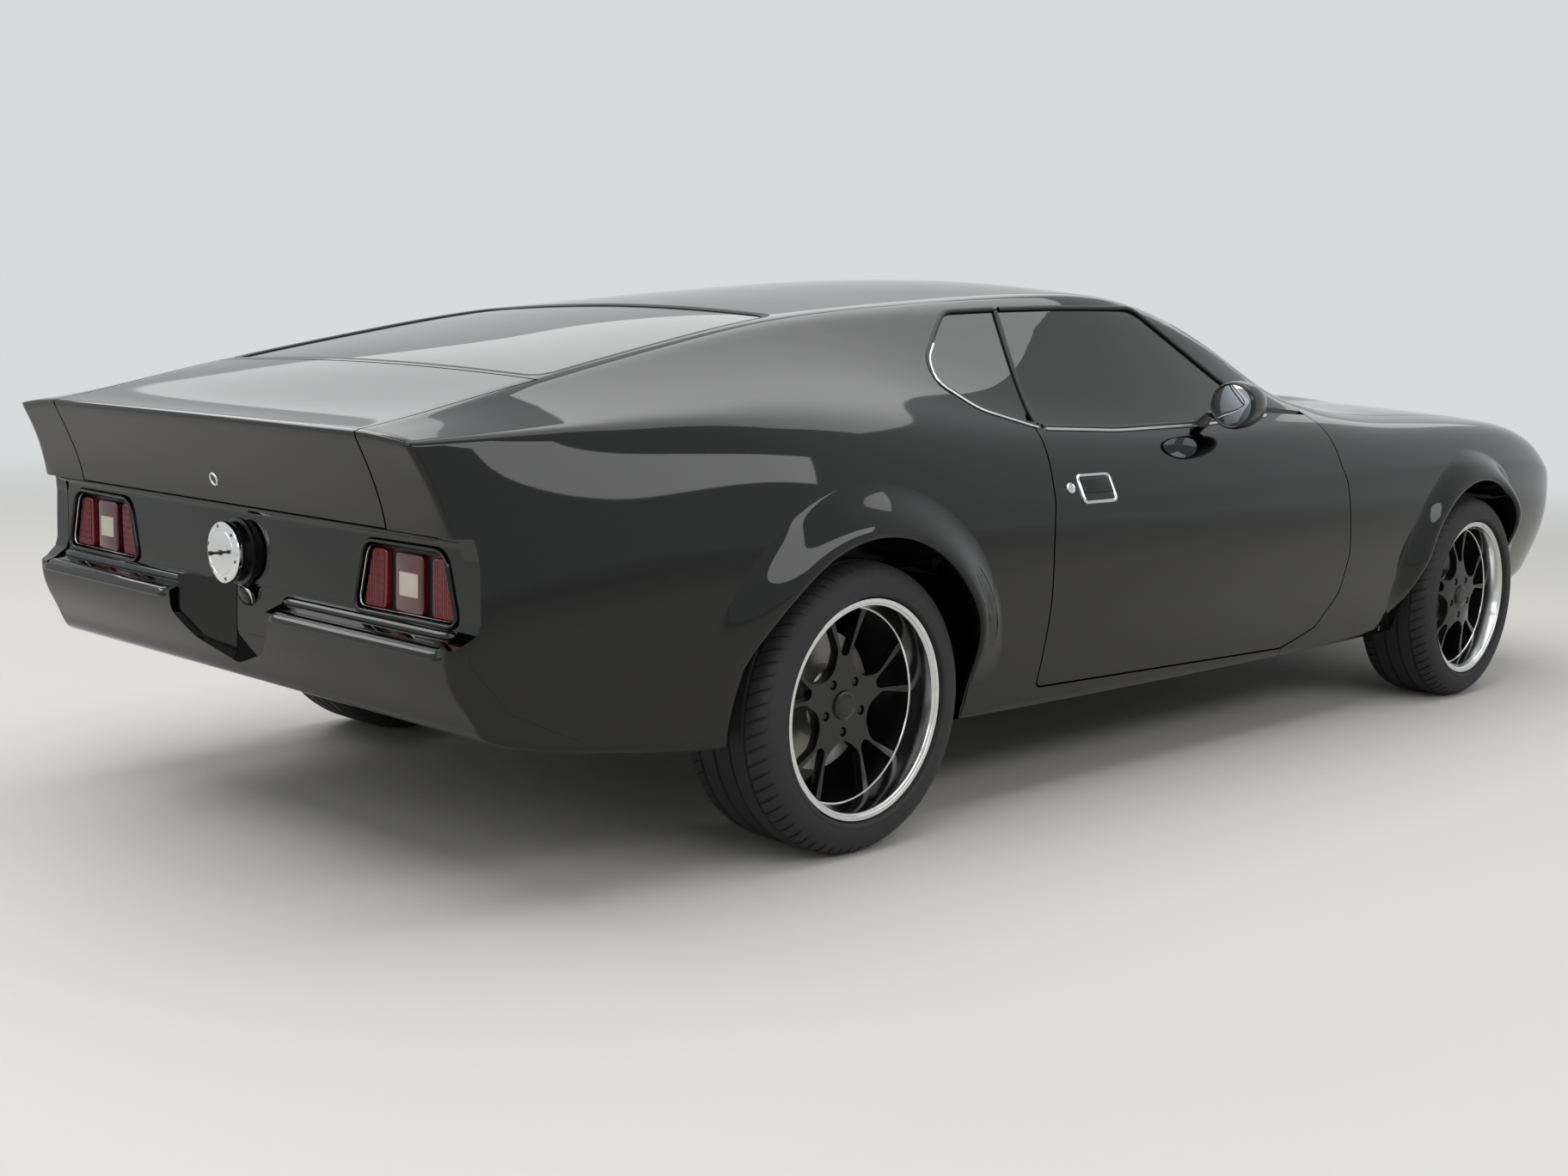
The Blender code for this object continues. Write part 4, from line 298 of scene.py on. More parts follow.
def rounded(outline, radius, steps=4):
    """The outline with each corner cut back by the radius and curved."""
    most = 0.45  # of an edge goes into one corner
    made = []
    count = len(outline)
    for i in range(count):
        before, here, after = Vector(outline[i - 1]), Vector(outline[i]), Vector(outline[(i + 1) % count])
        reach = min(radius, (before - here).length * most, (after - here).length * most)
        start = here + (before - here).normalized() * reach
        end = here + (after - here).normalized() * reach
        for k in range(steps + 1):
            t = k / steps
            made.append(tuple(start * (1 - t) ** 2 + here * 2 * t * (1 - t) + end * t ** 2))
    return made


# %% [markdown]
# The body is one closed control cage. Each row of the table is a station
# along the car, given as an axle share: -1 is the tail, 0 the rear axle, 1
# the front axle and 2 the nose. A row holds the right half's section as
# shares of the half width and of the height, from the roof's centre over the
# rail, belt, hip and crease to the sill.

# %% Sizes and stations
wheel_low, wheel_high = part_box("tyre_rear_right")
front_low, front_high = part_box("tyre_front_right")
WHEEL_Z = (wheel_low.z + wheel_high.z) / 2
TYRE_RADIUS = (wheel_high.z - wheel_low.z) / 2
REAR_X = (wheel_low.x + wheel_high.x) / 2
FRONT_X = (front_low.x + front_high.x) / 2
WHEELBASE = FRONT_X - REAR_X
OVERHANG = 1.020
HALF_WIDTH = 0.930
HEIGHT = 1.245
SKIN = 0.018
SEAM = 0.005
# How far a cutter reaches past the body, and where the rays to the skin start.
BEYOND = 0.3
FAR = 1.5
FAR_ENDS = 3.0
AXLE_X = {"rear": REAR_X, "front": FRONT_X}
SIDES = (("right", -1), ("left", 1))


def along(share):
    if share < 0:
        return REAR_X + share * OVERHANG
    if share <= 1:
        return REAR_X + share * WHEELBASE
    return FRONT_X + (share - 1) * OVERHANG


def across(share):
    return share * HALF_WIDTH


def height(share):
    return share * HEIGHT


def side(shares):
    return [(along(a), height(b)) for a, b in shares]


def plan(shares):
    right = [(along(a), -across(b)) for a, b in shares]
    return right + [(x, -y) for x, y in reversed(right) if y != 0]


# One row for each station of the right half of the body. Columns: axle share,
# bow of the middle ahead of the side as a share of the wheelbase, middle height,
# then share pairs (across, up) for rail, glass base, belt, hip, crease and sill.
STATION_SHARES = (
    (-1.003, 0.000, 0.721, (0.645, 0.719), (0.745, 0.715), (0.809, 0.709),
     (0.823, 0.640), (0.849, 0.560), (0.849, 0.297)),
    (-0.895, 0.000, 0.727, (0.655, 0.735), (0.750, 0.729), (0.832, 0.716),
     (0.858, 0.655), (0.885, 0.562), (0.892, 0.273)),
    (-0.608, 0.000, 0.809, (0.648, 0.791), (0.773, 0.757), (0.880, 0.730),
     (0.922, 0.665), (0.962, 0.564), (0.932, 0.235)),
    (-0.245, 0.000, 0.865, (0.625, 0.849), (0.780, 0.793), (0.925, 0.747),
     (0.972, 0.675), (0.998, 0.566), (0.950, 0.205)),
    (0.036, 0.000, 0.917, (0.608, 0.901), (0.780, 0.806), (0.915, 0.735),
     (0.966, 0.662), (1.000, 0.564), (0.948, 0.190)),
    (0.217, 0.000, 0.964, (0.618, 0.930), (0.838, 0.728), (0.900, 0.696),
     (0.952, 0.640), (1.000, 0.562), (0.944, 0.185)),
    (0.361, 0.000, 0.990, (0.620, 0.953), (0.853, 0.699), (0.908, 0.680),
     (0.955, 0.628), (1.000, 0.562), (0.942, 0.182)),
    (0.520, 0.036, 0.992, (0.602, 0.965), (0.849, 0.700), (0.909, 0.682),
     (0.957, 0.630), (1.002, 0.566), (0.940, 0.180)),
    (0.704, 0.068, 0.727, (0.755, 0.727), (0.812, 0.717), (0.880, 0.697),
     (0.945, 0.645), (1.002, 0.572), (0.938, 0.180)),
    (0.849, 0.040, 0.722, (0.715, 0.699), (0.815, 0.687), (0.895, 0.670),
     (0.955, 0.630), (1.005, 0.577), (0.938, 0.183)),
    (1.000, 0.020, 0.722, (0.710, 0.696), (0.815, 0.684), (0.893, 0.672),
     (0.955, 0.632), (1.005, 0.580), (0.930, 0.195)),
    (1.423, 0.020, 0.700, (0.690, 0.682), (0.805, 0.676), (0.880, 0.664),
     (0.932, 0.625), (0.970, 0.574), (0.912, 0.235)),
    (1.717, 0.036, 0.662, (0.668, 0.652), (0.775, 0.641), (0.845, 0.620),
     (0.885, 0.595), (0.920, 0.548), (0.865, 0.268)),
    (1.886, 0.047, 0.613, (0.645, 0.601), (0.742, 0.592), (0.800, 0.577),
     (0.838, 0.548), (0.852, 0.512), (0.795, 0.275)),
)
# How far each row of the tail and of the nose stands ahead of its end station.
TAIL_SETBACK_SHARES = (0.000, 0.048, 0.076, 0.070, 0.040, 0.120)
NOSE_SETBACK_SHARES = (0.100, 0.060, 0.025, 0.000, 0.005, 0.090)
RAIL_INNER_SHARE = 0.55
RAIL_CROWN_SHARE = 0.30
MID_DROP_SHARE = 0.30
LOW_DROP_SHARE = 0.68
MID_BULGE_SHARE = 1.004
LOW_TUCK_SHARE = 0.30
ROWS = ("belt", "hip", "crease", "mid", "low", "sill")
# Columns run from 0 at the middle to the side, rows from 0 at the belt down.
OUTER, RAIL_COLUMN = 4, 2
BOTTOM, CREASE_ROW = 5, 2
# How sharp the cage's edges are, and the stations where two of them end.
CREASE_WEIGHT_SHARES = {"belt": 0.8, "crease": 0.45, "sill": 0.55, "rail": 0.60, "tail top": 0.9, "tail side": 0.7}
BELT_FADES_AT, RAIL_ENDS_AT = 5, 8


# %% Control cage
def half_rows(station):
    """The right side's (y, z) rows of one station, from belt to sill."""
    belt, hip, crease, sill = station[5:9]
    mid_z = crease[1] + MID_DROP_SHARE * (sill[1] - crease[1])
    low_z = crease[1] + LOW_DROP_SHARE * (sill[1] - crease[1])
    mid = (max(crease[0], sill[0]) * MID_BULGE_SHARE, mid_z)
    low = (crease[0] + LOW_TUCK_SHARE * (sill[0] - crease[0]), low_z)
    return (belt, hip, crease, mid, low, sill)


def top_columns(station):
    """The right half of the top, from the centre to the glass base: (y, z)."""
    middle, rail, base = station[2:5]
    inner = (rail[0] * RAIL_INNER_SHARE, middle + RAIL_CROWN_SHARE * (rail[1] - middle))
    return ((0, middle), inner, rail, base)


def body_cage():
    """The body's control cage, a box of quads: stations along, columns across, rows down."""
    shape = bmesh.new()
    crease_layer = shape.edges.layers.float.new("crease_edge")
    last = len(STATION_SHARES) - 1
    grid = {}
    for s, station in enumerate(STATION_SHARES):
        columns = top_columns(station)
        rows = half_rows(station)
        base_x = along(station[0])
        bow = station[1] * WHEELBASE
        setbacks = [0] * len(ROWS)
        if s == 0:
            setbacks = [share * OVERHANG for share in TAIL_SETBACK_SHARES]
        if s == last:
            setbacks = [-share * OVERHANG for share in NOSE_SETBACK_SHARES]
        # The top and the bottom have columns at every station, the rows between only at the ends.
        crossed = (0, BOTTOM, *range(1, BOTTOM)) if s in (0, last) else (0, BOTTOM)
        for side in (-1, 1):
            for r in crossed:
                row_y, row_z = rows[r]
                for c, (y, z) in enumerate(columns):
                    if (s, side * c, r) in grid:
                        continue
                    share = y / rows[0][0]
                    x = base_x + setbacks[r] + bow * (1 - share * share)
                    if r > 0:
                        y, z = share * row_y, row_z
                    grid[s, side * c, r] = shape.verts.new((x, side * across(y), height(z)))
                for k, (y, z) in enumerate(rows if r == 0 else ()):
                    grid[s, side * OUTER, k] = shape.verts.new((base_x + setbacks[k], side * across(y), height(z)))

    def quad(*keys):
        shape.faces.new([grid[key] for key in keys])

    for s in range(last):
        for c in range(-OUTER, OUTER):
            quad((s, c, 0), (s + 1, c, 0), (s + 1, c + 1, 0), (s, c + 1, 0))
            quad((s, c, BOTTOM), (s, c + 1, BOTTOM), (s + 1, c + 1, BOTTOM), (s + 1, c, BOTTOM))
        for r in range(BOTTOM):
            for side in (-OUTER, OUTER):
                quad((s, side, r), (s, side, r + 1), (s + 1, side, r + 1), (s + 1, side, r))
    for s in (0, last):
        for r in range(BOTTOM):
            for c in range(-OUTER, OUTER):
                quad((s, c, r), (s, c + 1, r), (s, c + 1, r + 1), (s, c, r + 1))

    def sharpen(first, second, weight):
        edge = shape.edges.get((grid[first], grid[second]))
        edge[crease_layer] = weight

    weights = CREASE_WEIGHT_SHARES
    for s in range(last):
        for side in (-OUTER, OUTER):
            sharpen((s, side, CREASE_ROW), (s + 1, side, CREASE_ROW), weights["crease"])
            sharpen((s, side, BOTTOM), (s + 1, side, BOTTOM), weights["sill"])
            if s < BELT_FADES_AT:
                sharpen((s, side, 0), (s + 1, side, 0), max(0, weights["belt"] - 0.2 * s))
            if s < RAIL_ENDS_AT:
                rail = side * RAIL_COLUMN // OUTER
                sharpen((s, rail, 0), (s + 1, rail, 0), weights["rail"])
    for c in range(-OUTER, OUTER):
        sharpen((0, c, 0), (0, c + 1, 0), weights["tail top"])
    for side in (-OUTER, OUTER):
        for r in range(BOTTOM):
            sharpen((0, side, r), (0, side, r + 1), weights["tail side"])
    return shape


# %% [markdown]
# The finishes come next, each named for the real one. Gloss black enamel is a
# near-black colour whose look is all in the clear layer, so it gets a mirror
# gloss with a trace of orange peel, about 4 mm from crest to crest. Bright
# metals differ by their roughness and by the marks that made them: lathe
# lines on the wheel lips, fine scratches on trim. Rubber, vinyl and carpet
# are told apart by their grain size.

# %% Finishes
def grain(tree, shader, size_mm, depth_mm, strength, kind, stretch):
    """Bump from a pattern of the given size, in the object's own metres. Returns the pattern."""
    coordinates = node(tree, "ShaderNodeTexCoord")
    mapping = node(tree, "ShaderNodeMapping", {"Vector": coordinates.outputs["Object"]})
    mapping.inputs["Scale"].default_value = [1000 / size_mm * part for part in stretch]
    pattern = node(tree, kind, {"Vector": mapping.outputs["Vector"]}, scale=1)
    source = pattern.outputs[0]
    bump = node(tree, "ShaderNodeBump", {"Height": source}, strength=strength, distance=depth_mm / 1000)
    tree.links.new(bump.outputs["Normal"], shader.inputs["Normal"])
    return source


def spread(tree, source, socket, low, high):
    """A texture value spread between two values of a socket."""
    ranged = node(tree, "ShaderNodeMapRange", {"Value": source})
    ranged.inputs["To Min"].default_value = low
    ranged.inputs["To Max"].default_value = high
    tree.links.new(ranged.outputs["Result"], socket)


def mottled(tree, source, shader, first, second):
    """Base colour mixed between two by a texture value."""
    ramp = node(tree, "ShaderNodeValToRGB", {"Fac": source})
    ramp.color_ramp.elements[0].position = 0.30
    ramp.color_ramp.elements[1].position = 0.70
    ramp.color_ramp.elements[0].color = colour(first)
    ramp.color_ramp.elements[1].color = colour(second)
    tree.links.new(ramp.outputs["Color"], shader.inputs["Base Color"])


NOISE, CELLS = "ShaderNodeTexNoise", "ShaderNodeTexVoronoi"


def finish(name, slot, size_mm, depth_mm, strength, roughness, colours, kind=NOISE, stretch=(1, 1, 1), **sockets):
    """A finish whose grain drives bump, a spread of roughness and a slight change of colour."""
    made, tree, shader = finish_of(name, **sockets)
    source = grain(tree, shader, size_mm, depth_mm, strength, kind, stretch)
    spread(tree, source, shader.inputs["Roughness"], *roughness)
    if colours[0] == colours[1]:
        shader.inputs["Base Color"].default_value = colour(colours[0])
    else:
        mottled(tree, source, shader, *colours)
    return made


# Clear over black enamel: sharp reflections with a hint of orange peel.
PAINT = finish("gloss black enamel", "paint", 4.0, 0.02, 0.05, (0.02, 0.05), ("#030304", "#030304"), ior=1.46)
# Powder coat on the wheel centres: satin, with a fine pebble.
SATIN = finish("satin black powder coat", "satin_black", 0.8, 0.03, 0.25, (0.24, 0.34), ("#0B0B0C", "#101011"),
               ior=1.50)
# Moulded black plastic of bezels and grille.
PLASTIC = finish("moulded black plastic", "satin_black", 0.6, 0.04, 0.30, (0.38, 0.50), ("#0D0D0D", "#121212"),
                 ior=1.46)
# Turned and polished wheel lips: concentric lathe lines under a soft shine.
LIP = finish("turned aluminium lip", "chrome", 0.9, 0.01, 0.20, (0.10, 0.20), ("#CFD0D1", "#E2E2E1"), metallic=1.0,
             stretch=(0.12, 1, 0.12))
# Polished cap face, brighter and smoother than the lips.
POLISHED = finish("polished aluminium", "chrome", 1.5, 0.01, 0.12, (0.06, 0.14), ("#DADBDC", "#EBEBEA"), metallic=1.0)
# Stainless trim strips and chromed small parts.
STAINLESS = finish("stainless trim", "chrome", 2.0, 0.01, 0.08, (0.05, 0.12), ("#C4C6C8", "#D6D7D8"), metallic=1.0)
# Tyre compound: matt, with moulding specks and a little road dust.
TYRE = finish("tyre rubber", "tyre", 1.2, 0.06, 0.35, (0.62, 0.82), ("#17171A", "#232324"), ior=1.52)
# Weather strip and window seals.
SEAL = finish("black seal rubber", "satin_black", 0.7, 0.03, 0.30, (0.45, 0.60), ("#0A0A0A", "#0E0E0E"), ior=1.50)
# Seat and panel vinyl, embossed with a leather grain.
VINYL = finish("black vinyl", "vinyl", 1.6, 0.25, 0.45, (0.42, 0.55), ("#181716", "#1E1D1B"), CELLS, ior=1.50)
# Loop carpet and underbody coating on the floor pan.
COATING = finish("rubberised underbody coating", None, 3.0, 0.50, 0.50, (0.70, 0.90), ("#141414", "#1C1B1A"),
                 ior=1.50)
# Bare and heat-tinted steel of exhaust and springs.
STEEL = finish("weathered steel", "steel", 9.0, 0.10, 0.25, (0.35, 0.55), ("#5E5A55", "#7A7671"), metallic=0.9)
# Machined disc faces.
IRON = finish("machined cast iron", "steel", 0.7, 0.02, 0.30, (0.28, 0.42), ("#6F6E6D", "#8B8A88"), metallic=0.9)
CASTING = finish("cast engine block", None, 2.5, 0.30, 0.50, (0.55, 0.75), ("#2E2F31", "#3C3D40"), metallic=0.5)
# Clear lamp glass and the silvered bowl behind it.
BOWL = finish("silvered lamp bowl", "chrome", 6.0, 0.10, 0.20, (0.05, 0.12), ("#C9CBCD", "#DADADB"), metallic=1.0)


def see_through(name, slot, tint, roughness, size_mm, depth_mm, strength, stretch=(1, 1, 1), kind=NOISE, **sockets):
    """A clear or tinted moulding: colour and roughness on the shader, ripple in the bump."""
    made, tree, shader = finish_of(name, **sockets)
    grain(tree, shader, size_mm, depth_mm, strength, kind, stretch)
    shader.inputs["Base Color"].default_value = colour(tint)
    shader.inputs["Roughness"].default_value = roughness
    return made


# Tinted safety glass: dark grey-green in depth, with the faint wave of rolled sheet.
GLASS = see_through("tinted safety glass", "glass", "#343A38", 0.0, 180.0, 0.10, 0.02,
                    transmission_weight=0.85, ior=1.50)
CLEAR = see_through("clear lamp glass", "lamp_clear", "#F4F6F7", 0.02, 14.0, 0.60, 0.30,
                    transmission_weight=1.0, ior=1.50)
# Ribbed red acrylic, and the smooth duller red of the middle lens.
RED_RIBS = see_through("ribbed red acrylic", "lamp_red", "#8C2228", 0.10, 7.0, 2.0, 1.00, (0, 1, 0.5), CELLS,
                       transmission_weight=0.25, ior=1.49, coat_weight=0.6, coat_roughness=0.04)
RED_RIBS.node_tree.nodes["Voronoi Texture"].inputs["Randomness"].default_value = 0
RED_SMOOTH = see_through("smooth red acrylic", "lamp_red", "#551316", 0.12, 30.0, 0.10, 0.05,
                         transmission_weight=0.10, ior=1.49,
                         coat_weight=0.5, coat_roughness=0.05)
WHITE_LENS = see_through("white reverse lens", "lamp_clear", "#CFC9B8", 0.25, 4.0, 0.80, 0.50,
                         transmission_weight=0.10, ior=1.49)
AMBER = see_through("amber acrylic", "lamp_clear", "#C8640E", 0.12, 5.0, 1.0, 0.60, (0, 1, 0),
                    transmission_weight=0.25, ior=1.49)
print("finishes:", len(bpy.data.materials))

# %% [markdown]
# The painted skin is a sheet-metal shell, pressed as separate panels that
# meet at narrow seams. It is made here the way it is in the CAD: one smooth
# solid from the cage, hollowed, then cut into panels along the same seams.
# Reflections show every facet, so each panel takes its normals from the
# uncut smooth body wherever its surface is part of it.

# %% Smooth body
DETAIL = 3


def smooth_body(level):
    item = loose("solid", body_cage())
    step = item.modifiers.new("smooth", "SUBSURF")
    step.levels = step.render_levels = level
    return applied(item)


def inset_copy(item, name, distance):
    """A copy whose surface lies the distance inside the item's."""
    made = copy_of(item, name)
    shape = bmesh.new()
    shape.from_mesh(made.data)
    bmesh.ops.triangulate(shape, faces=shape.faces)
    shape.normal_update()
    moves = []
    for vertex in shape.verts:
        spread_of = min(face.normal.dot(vertex.normal) for face in vertex.link_faces)
        moves.append(-vertex.normal * distance / max(spread_of, 0.5))
    for vertex, move in zip(shape.verts, moves):
        vertex.co += move
    shape.to_mesh(made.data)
    shape.free()
    return made


solid = smooth_body(DETAIL)
coarse = loose("coarse", body_cage())
for vertex, place in zip(coarse.data.vertices, solid.data.vertices):
    vertex.co = place.co
cavity = inset_copy(coarse, "cavity", SKIN)
remove(coarse)

skin_shape = bmesh.new()
skin_shape.from_mesh(solid.data)
bmesh.ops.triangulate(skin_shape, faces=skin_shape.faces)
skin_shape.normal_update()
skin_shape.faces.ensure_lookup_table()
SKIN_TREE = BVHTree.FromBMesh(skin_shape)
SKIN_FACES = [
    ([v.co.copy() for v in face.verts], [v.normal.copy() for v in face.verts]) for face in skin_shape.faces
]
skin_shape.free()


def skin_normal(place, index):
    """The smooth body's normal at a point of one of its triangles."""
    corners, normals = SKIN_FACES[index]
    return barycentric_transform(place, *corners, *normals).normalized()


def on_skin(start, direction):
    """Where a ray meets the smooth body, and the normal there."""
    place, _, index, _ = SKIN_TREE.ray_cast(Vector(start), Vector(direction))
    if place is None:
        place, _, index, _ = SKIN_TREE.find_nearest(Vector(start) + Vector(direction) * FAR)
    return place, skin_normal(place, index)


# For each view: where the ray through a drawn point (a, b) starts, and its way.
VIEWS = {
    "side": (lambda a, b: (a, -FAR, b), (0, 1, 0)),
    "top": (lambda a, b: (a, b, FAR), (0, 0, -1)),
    "tail": (lambda a, b: (-FAR_ENDS, a, b), (1, 0, 0)),
    "nose": (lambda a, b: (FAR_ENDS, a, b), (-1, 0, 0)),
}


def seen(view, a, b):
    """Where a point drawn in a view lies on the smooth body, and the normal there."""
    start, way = VIEWS[view]
    return on_skin(start(a, b), way)


def side_y(x, z):
    """The right side's distance from the centre plane."""
    return -seen("side", x, z)[0].y


def shine(item, reach=0.0008):
    """Normals from the smooth body for every face that lies in its surface."""
    mesh = item.data
    mesh.shade_smooth()
    wanted = []
    for face in mesh.polygons:
        _, normal, _, away = SKIN_TREE.find_nearest(face.center)
        lies = away < reach * 4 and normal.dot(face.normal) > 0.97
        for loop in face.loop_indices:
            spot, _, index, gap = SKIN_TREE.find_nearest(mesh.vertices[mesh.loops[loop].vertex_index].co)
            wanted.append(skin_normal(spot, index) if lies and gap < reach else face.normal.copy())
    mesh.normals_split_custom_set(wanted)
    return item


print("smooth body:", len(solid.data.polygons), "faces, width", round(side_y(0, 0.70) * 2, 3))

# %% [markdown]
# The seams, window openings, pockets and wheel wells, as outlines seen from
# the side, from above or from behind. They are the CAD's outlines with their
# corners eased, because pressed metal has no sharp corner in its plane.

# %% Openings and seams
# Panel seams and openings. Side outlines are (axle share, height share), plan
# outlines of the right half are (axle share, width share).
DOOR_SHARES = (
    (0.244, 0.723), (0.238, 0.667), (0.223, 0.554), (0.223, 0.482), (0.226, 0.387), (0.225, 0.223),
    (0.632, 0.200), (0.690, 0.235), (0.722, 0.310), (0.729, 0.402), (0.717, 0.528), (0.708, 0.586),
    (0.717, 0.643), (0.721, 0.723),
)
SIDE_WINDOW_SHARES = (
    (0.217, 0.914), (0.160, 0.828), (0.151, 0.790), (0.181, 0.742), (0.249, 0.705), (0.361, 0.696),
    (0.506, 0.700), (0.641, 0.712), (0.596, 0.782), (0.548, 0.859), (0.502, 0.934), (0.361, 0.928),
    (0.289, 0.922),
)
GLASS_SPLIT_SHARES = ((0.287, 0.922), (0.249, 0.705))
WINDSHIELD_SHARES = ((0.556, 0.0), (0.536, 0.56), (0.696, 0.70), (0.766, 0.0))
BACKLIGHT_SHARES = ((0.0445, 0.0), (0.0415, 0.565), (-0.590, 0.629), (-0.590, 0.0))
LID_PLAN_SHARES = ((-0.602, 0.0), (-0.602, 0.640), (-1.120, 0.632), (-1.120, 0.0))
LID_SIDE_SHARES = (
    (-0.500, 0.900), (-1.150, 0.900), (-1.150, 0.574), (-0.833, 0.574), (-0.833, 0.643), (-0.500, 0.700),
)
HOOD_SHARES = ((0.791, 0.0), (0.778, 0.40), (0.740, 0.774), (1.677, 0.715), (1.780, 0.50), (1.820, 0.0))
NOSE_SHARE = 1.736
BELLY_SHARES = (
    (-0.820, -0.100), (1.730, -0.100), (1.730, 0.300), (1.420, 0.275), (1.045, 0.275), (1.020, 0.385),
    (0.980, 0.385), (0.955, 0.240), (0.700, 0.240), (0.130, 0.240), (0.030, 0.310), (-0.080, 0.310),
    (-0.820, 0.330),
)
VALANCE_SHARES = (
    (-1.150, 0.440), (-0.912, 0.440), (-0.912, 0.394), (-0.843, 0.321), (-0.686, 0.261), (-0.549, 0.217),
    (-0.529, 0.130), (-1.150, 0.130),
)
REAR_POCKET_SHARES = (
    (-1.150, 0.574), (-0.909, 0.574), (-0.894, 0.562), (-0.894, 0.440), (-0.907, 0.426), (-0.953, 0.411),
    (-1.150, 0.411),
)
REAR_POCKET_HALF_WIDTH = 0.762
REAR_WALL_SHARE = -0.894
REAR_WALL_INNER_SHARES = ((-1.150, 0.580), (-0.855, 0.580), (-0.855, 0.270), (-1.150, 0.270))
# The quarter's rear end beside the lamps, from the lid's corner down to the
# bumper's top, as (x, z).
QUARTER_END_OUTLINE = (
    (-2.60, 0.7145), (-2.3035, 0.7145), (-2.2970, 0.675), (-2.2970, 0.565), (-2.3035, 0.545), (-2.330, 0.525),
    (-2.352, 0.5165), (-2.60, 0.5130),
)
LAMP_POCKET = ((0.422, 0.545), (0.753, 0.548), (0.713, 0.685), (0.460, 0.683))
LAMP_POCKET_DEPTH = 0.028
LICENCE_SHARES = ((0.205, 0.440), (0.205, 0.378), (0.140, 0.336), (0.0, 0.305))
LICENCE_DEPTH_SHARE = -0.872
DOOR_INNER_Y = 0.775
JAMB_Y = 0.750
FENDER_TOP_Y = 0.735
FENDER_START_SHARE = 0.840
ARCH_RADIUS = 0.362
WELL_INNER_Y = {"rear": 0.655, "front": 0.520}
EDGE_ROUND = 0.012
SILL_BOX_SHARES = ((0.145, 0.755), 0.237)
GLASS_FLOOR_SHARES = {"windshield": 0.70, "rear_window": 0.72}
# Half the gap at the seams where panels move, and where they are bolted.
GAP = SEAM / 2
FINE_GAP = 0.0012
# Limits of the cutters.
TOP = HEIGHT + BEYOND
WIDE = HALF_WIDTH + BEYOND
TAIL_END, NOSE_END = along(-1) - BEYOND, along(2) + BEYOND
print("lid plan from x", round(along(LID_PLAN_SHARES[0][0]), 3))

# %% Panels
def both_sides(outline, inner, outer):
    left = slab(outline, "y", inner, outer)
    return boolean(left, slab(outline, "y", -outer, -inner), "UNION")


def wells(axle, radius, inner_y):
    turns = [math.tau * k / 96 for k in range(96)]
    circle = [(AXLE_X[axle] + radius * math.cos(t), WHEEL_Z + radius * math.sin(t)) for t in turns]
    return both_sides(circle, inner_y, WIDE)


def cut(target, *others):
    for other in others:
        boolean(target, other, "DIFFERENCE")
    return target


def keep(target, name, zone):
    return boolean(copy_of(target, name), zone, "INTERSECT")


for axle in ("rear", "front"):
    cut(cavity, wells(axle, ARCH_RADIUS + SKIN, WELL_INNER_Y[axle] - SKIN))
cut(cavity, slab(side(REAR_WALL_INNER_SHARES), "y", -HALF_WIDTH, HALF_WIDTH))
(sill_start, sill_end), sill_top = SILL_BOX_SHARES
sill_box = box_outline((along(sill_start), -0.1), (along(sill_end), height(sill_top)))
cut(cavity, both_sides(sill_box, JAMB_Y, WIDE))

shell = copy_of(solid, "body_shell_skin")
cut(shell, cavity)
for axle in ("rear", "front"):
    cut(shell, wells(axle, ARCH_RADIUS + 0.004, WELL_INNER_Y[axle]))
cut(shell, slab(side(BELLY_SHARES), "y", SKIN - JAMB_Y, JAMB_Y - SKIN))
pocket = rounded(side(REAR_POCKET_SHARES), 0.010)
cut(shell, slab(pocket, "y", -REAR_POCKET_HALF_WIDTH, REAR_POCKET_HALF_WIDTH))
cut(shell, slab(QUARTER_END_OUTLINE, "y", -HALF_WIDTH, HALF_WIDTH))
for sign in (1, -1):
    lamp_pocket = rounded(flip(LAMP_POCKET, sign), 0.030, 6)
    cut(shell, slab(lamp_pocket, "x", TAIL_END, along(REAR_WALL_SHARE) + LAMP_POCKET_DEPTH))
licence = [(across(b), height(c)) for b, c in LICENCE_SHARES]
licence += [(-y, z) for y, z in reversed(licence) if y]
cut(shell, slab(rounded(licence, EDGE_ROUND), "x", TAIL_END, along(LICENCE_DEPTH_SHARE)))
window = rounded(side(SIDE_WINDOW_SHARES), 0.030, 6)
cut(shell, slab(window, "y", -HALF_WIDTH, HALF_WIDTH))
SCREENS = {
    "windshield": rounded(plan(WINDSHIELD_SHARES), 0.060, 6),
    "rear_window": rounded(plan(BACKLIGHT_SHARES), 0.060, 6),
}
for name, line in SCREENS.items():
    cut(shell, slab(line, "z", height(GLASS_FLOOR_SHARES[name]), TOP))

panels = {}
hood_line = plan(HOOD_SHARES)
hood_floor = WHEEL_Z + ARCH_RADIUS + SKIN + 0.006
panels["hood"] = keep(shell, "hood_skin", slab(grown(hood_line, -GAP), "z", hood_floor, TOP))
cut(shell, slab(grown(hood_line, GAP), "z", hood_floor, TOP))


def lid_zone(distance):
    above = slab(grown(plan(LID_PLAN_SHARES), distance), "z", 0, TOP)
    return boolean(above, slab(grown(side(LID_SIDE_SHARES), distance), "y", -1, 1), "INTERSECT")


panels["deck_lid"] = keep(shell, "deck_lid_skin", lid_zone(-GAP))
cut(shell, lid_zone(GAP))

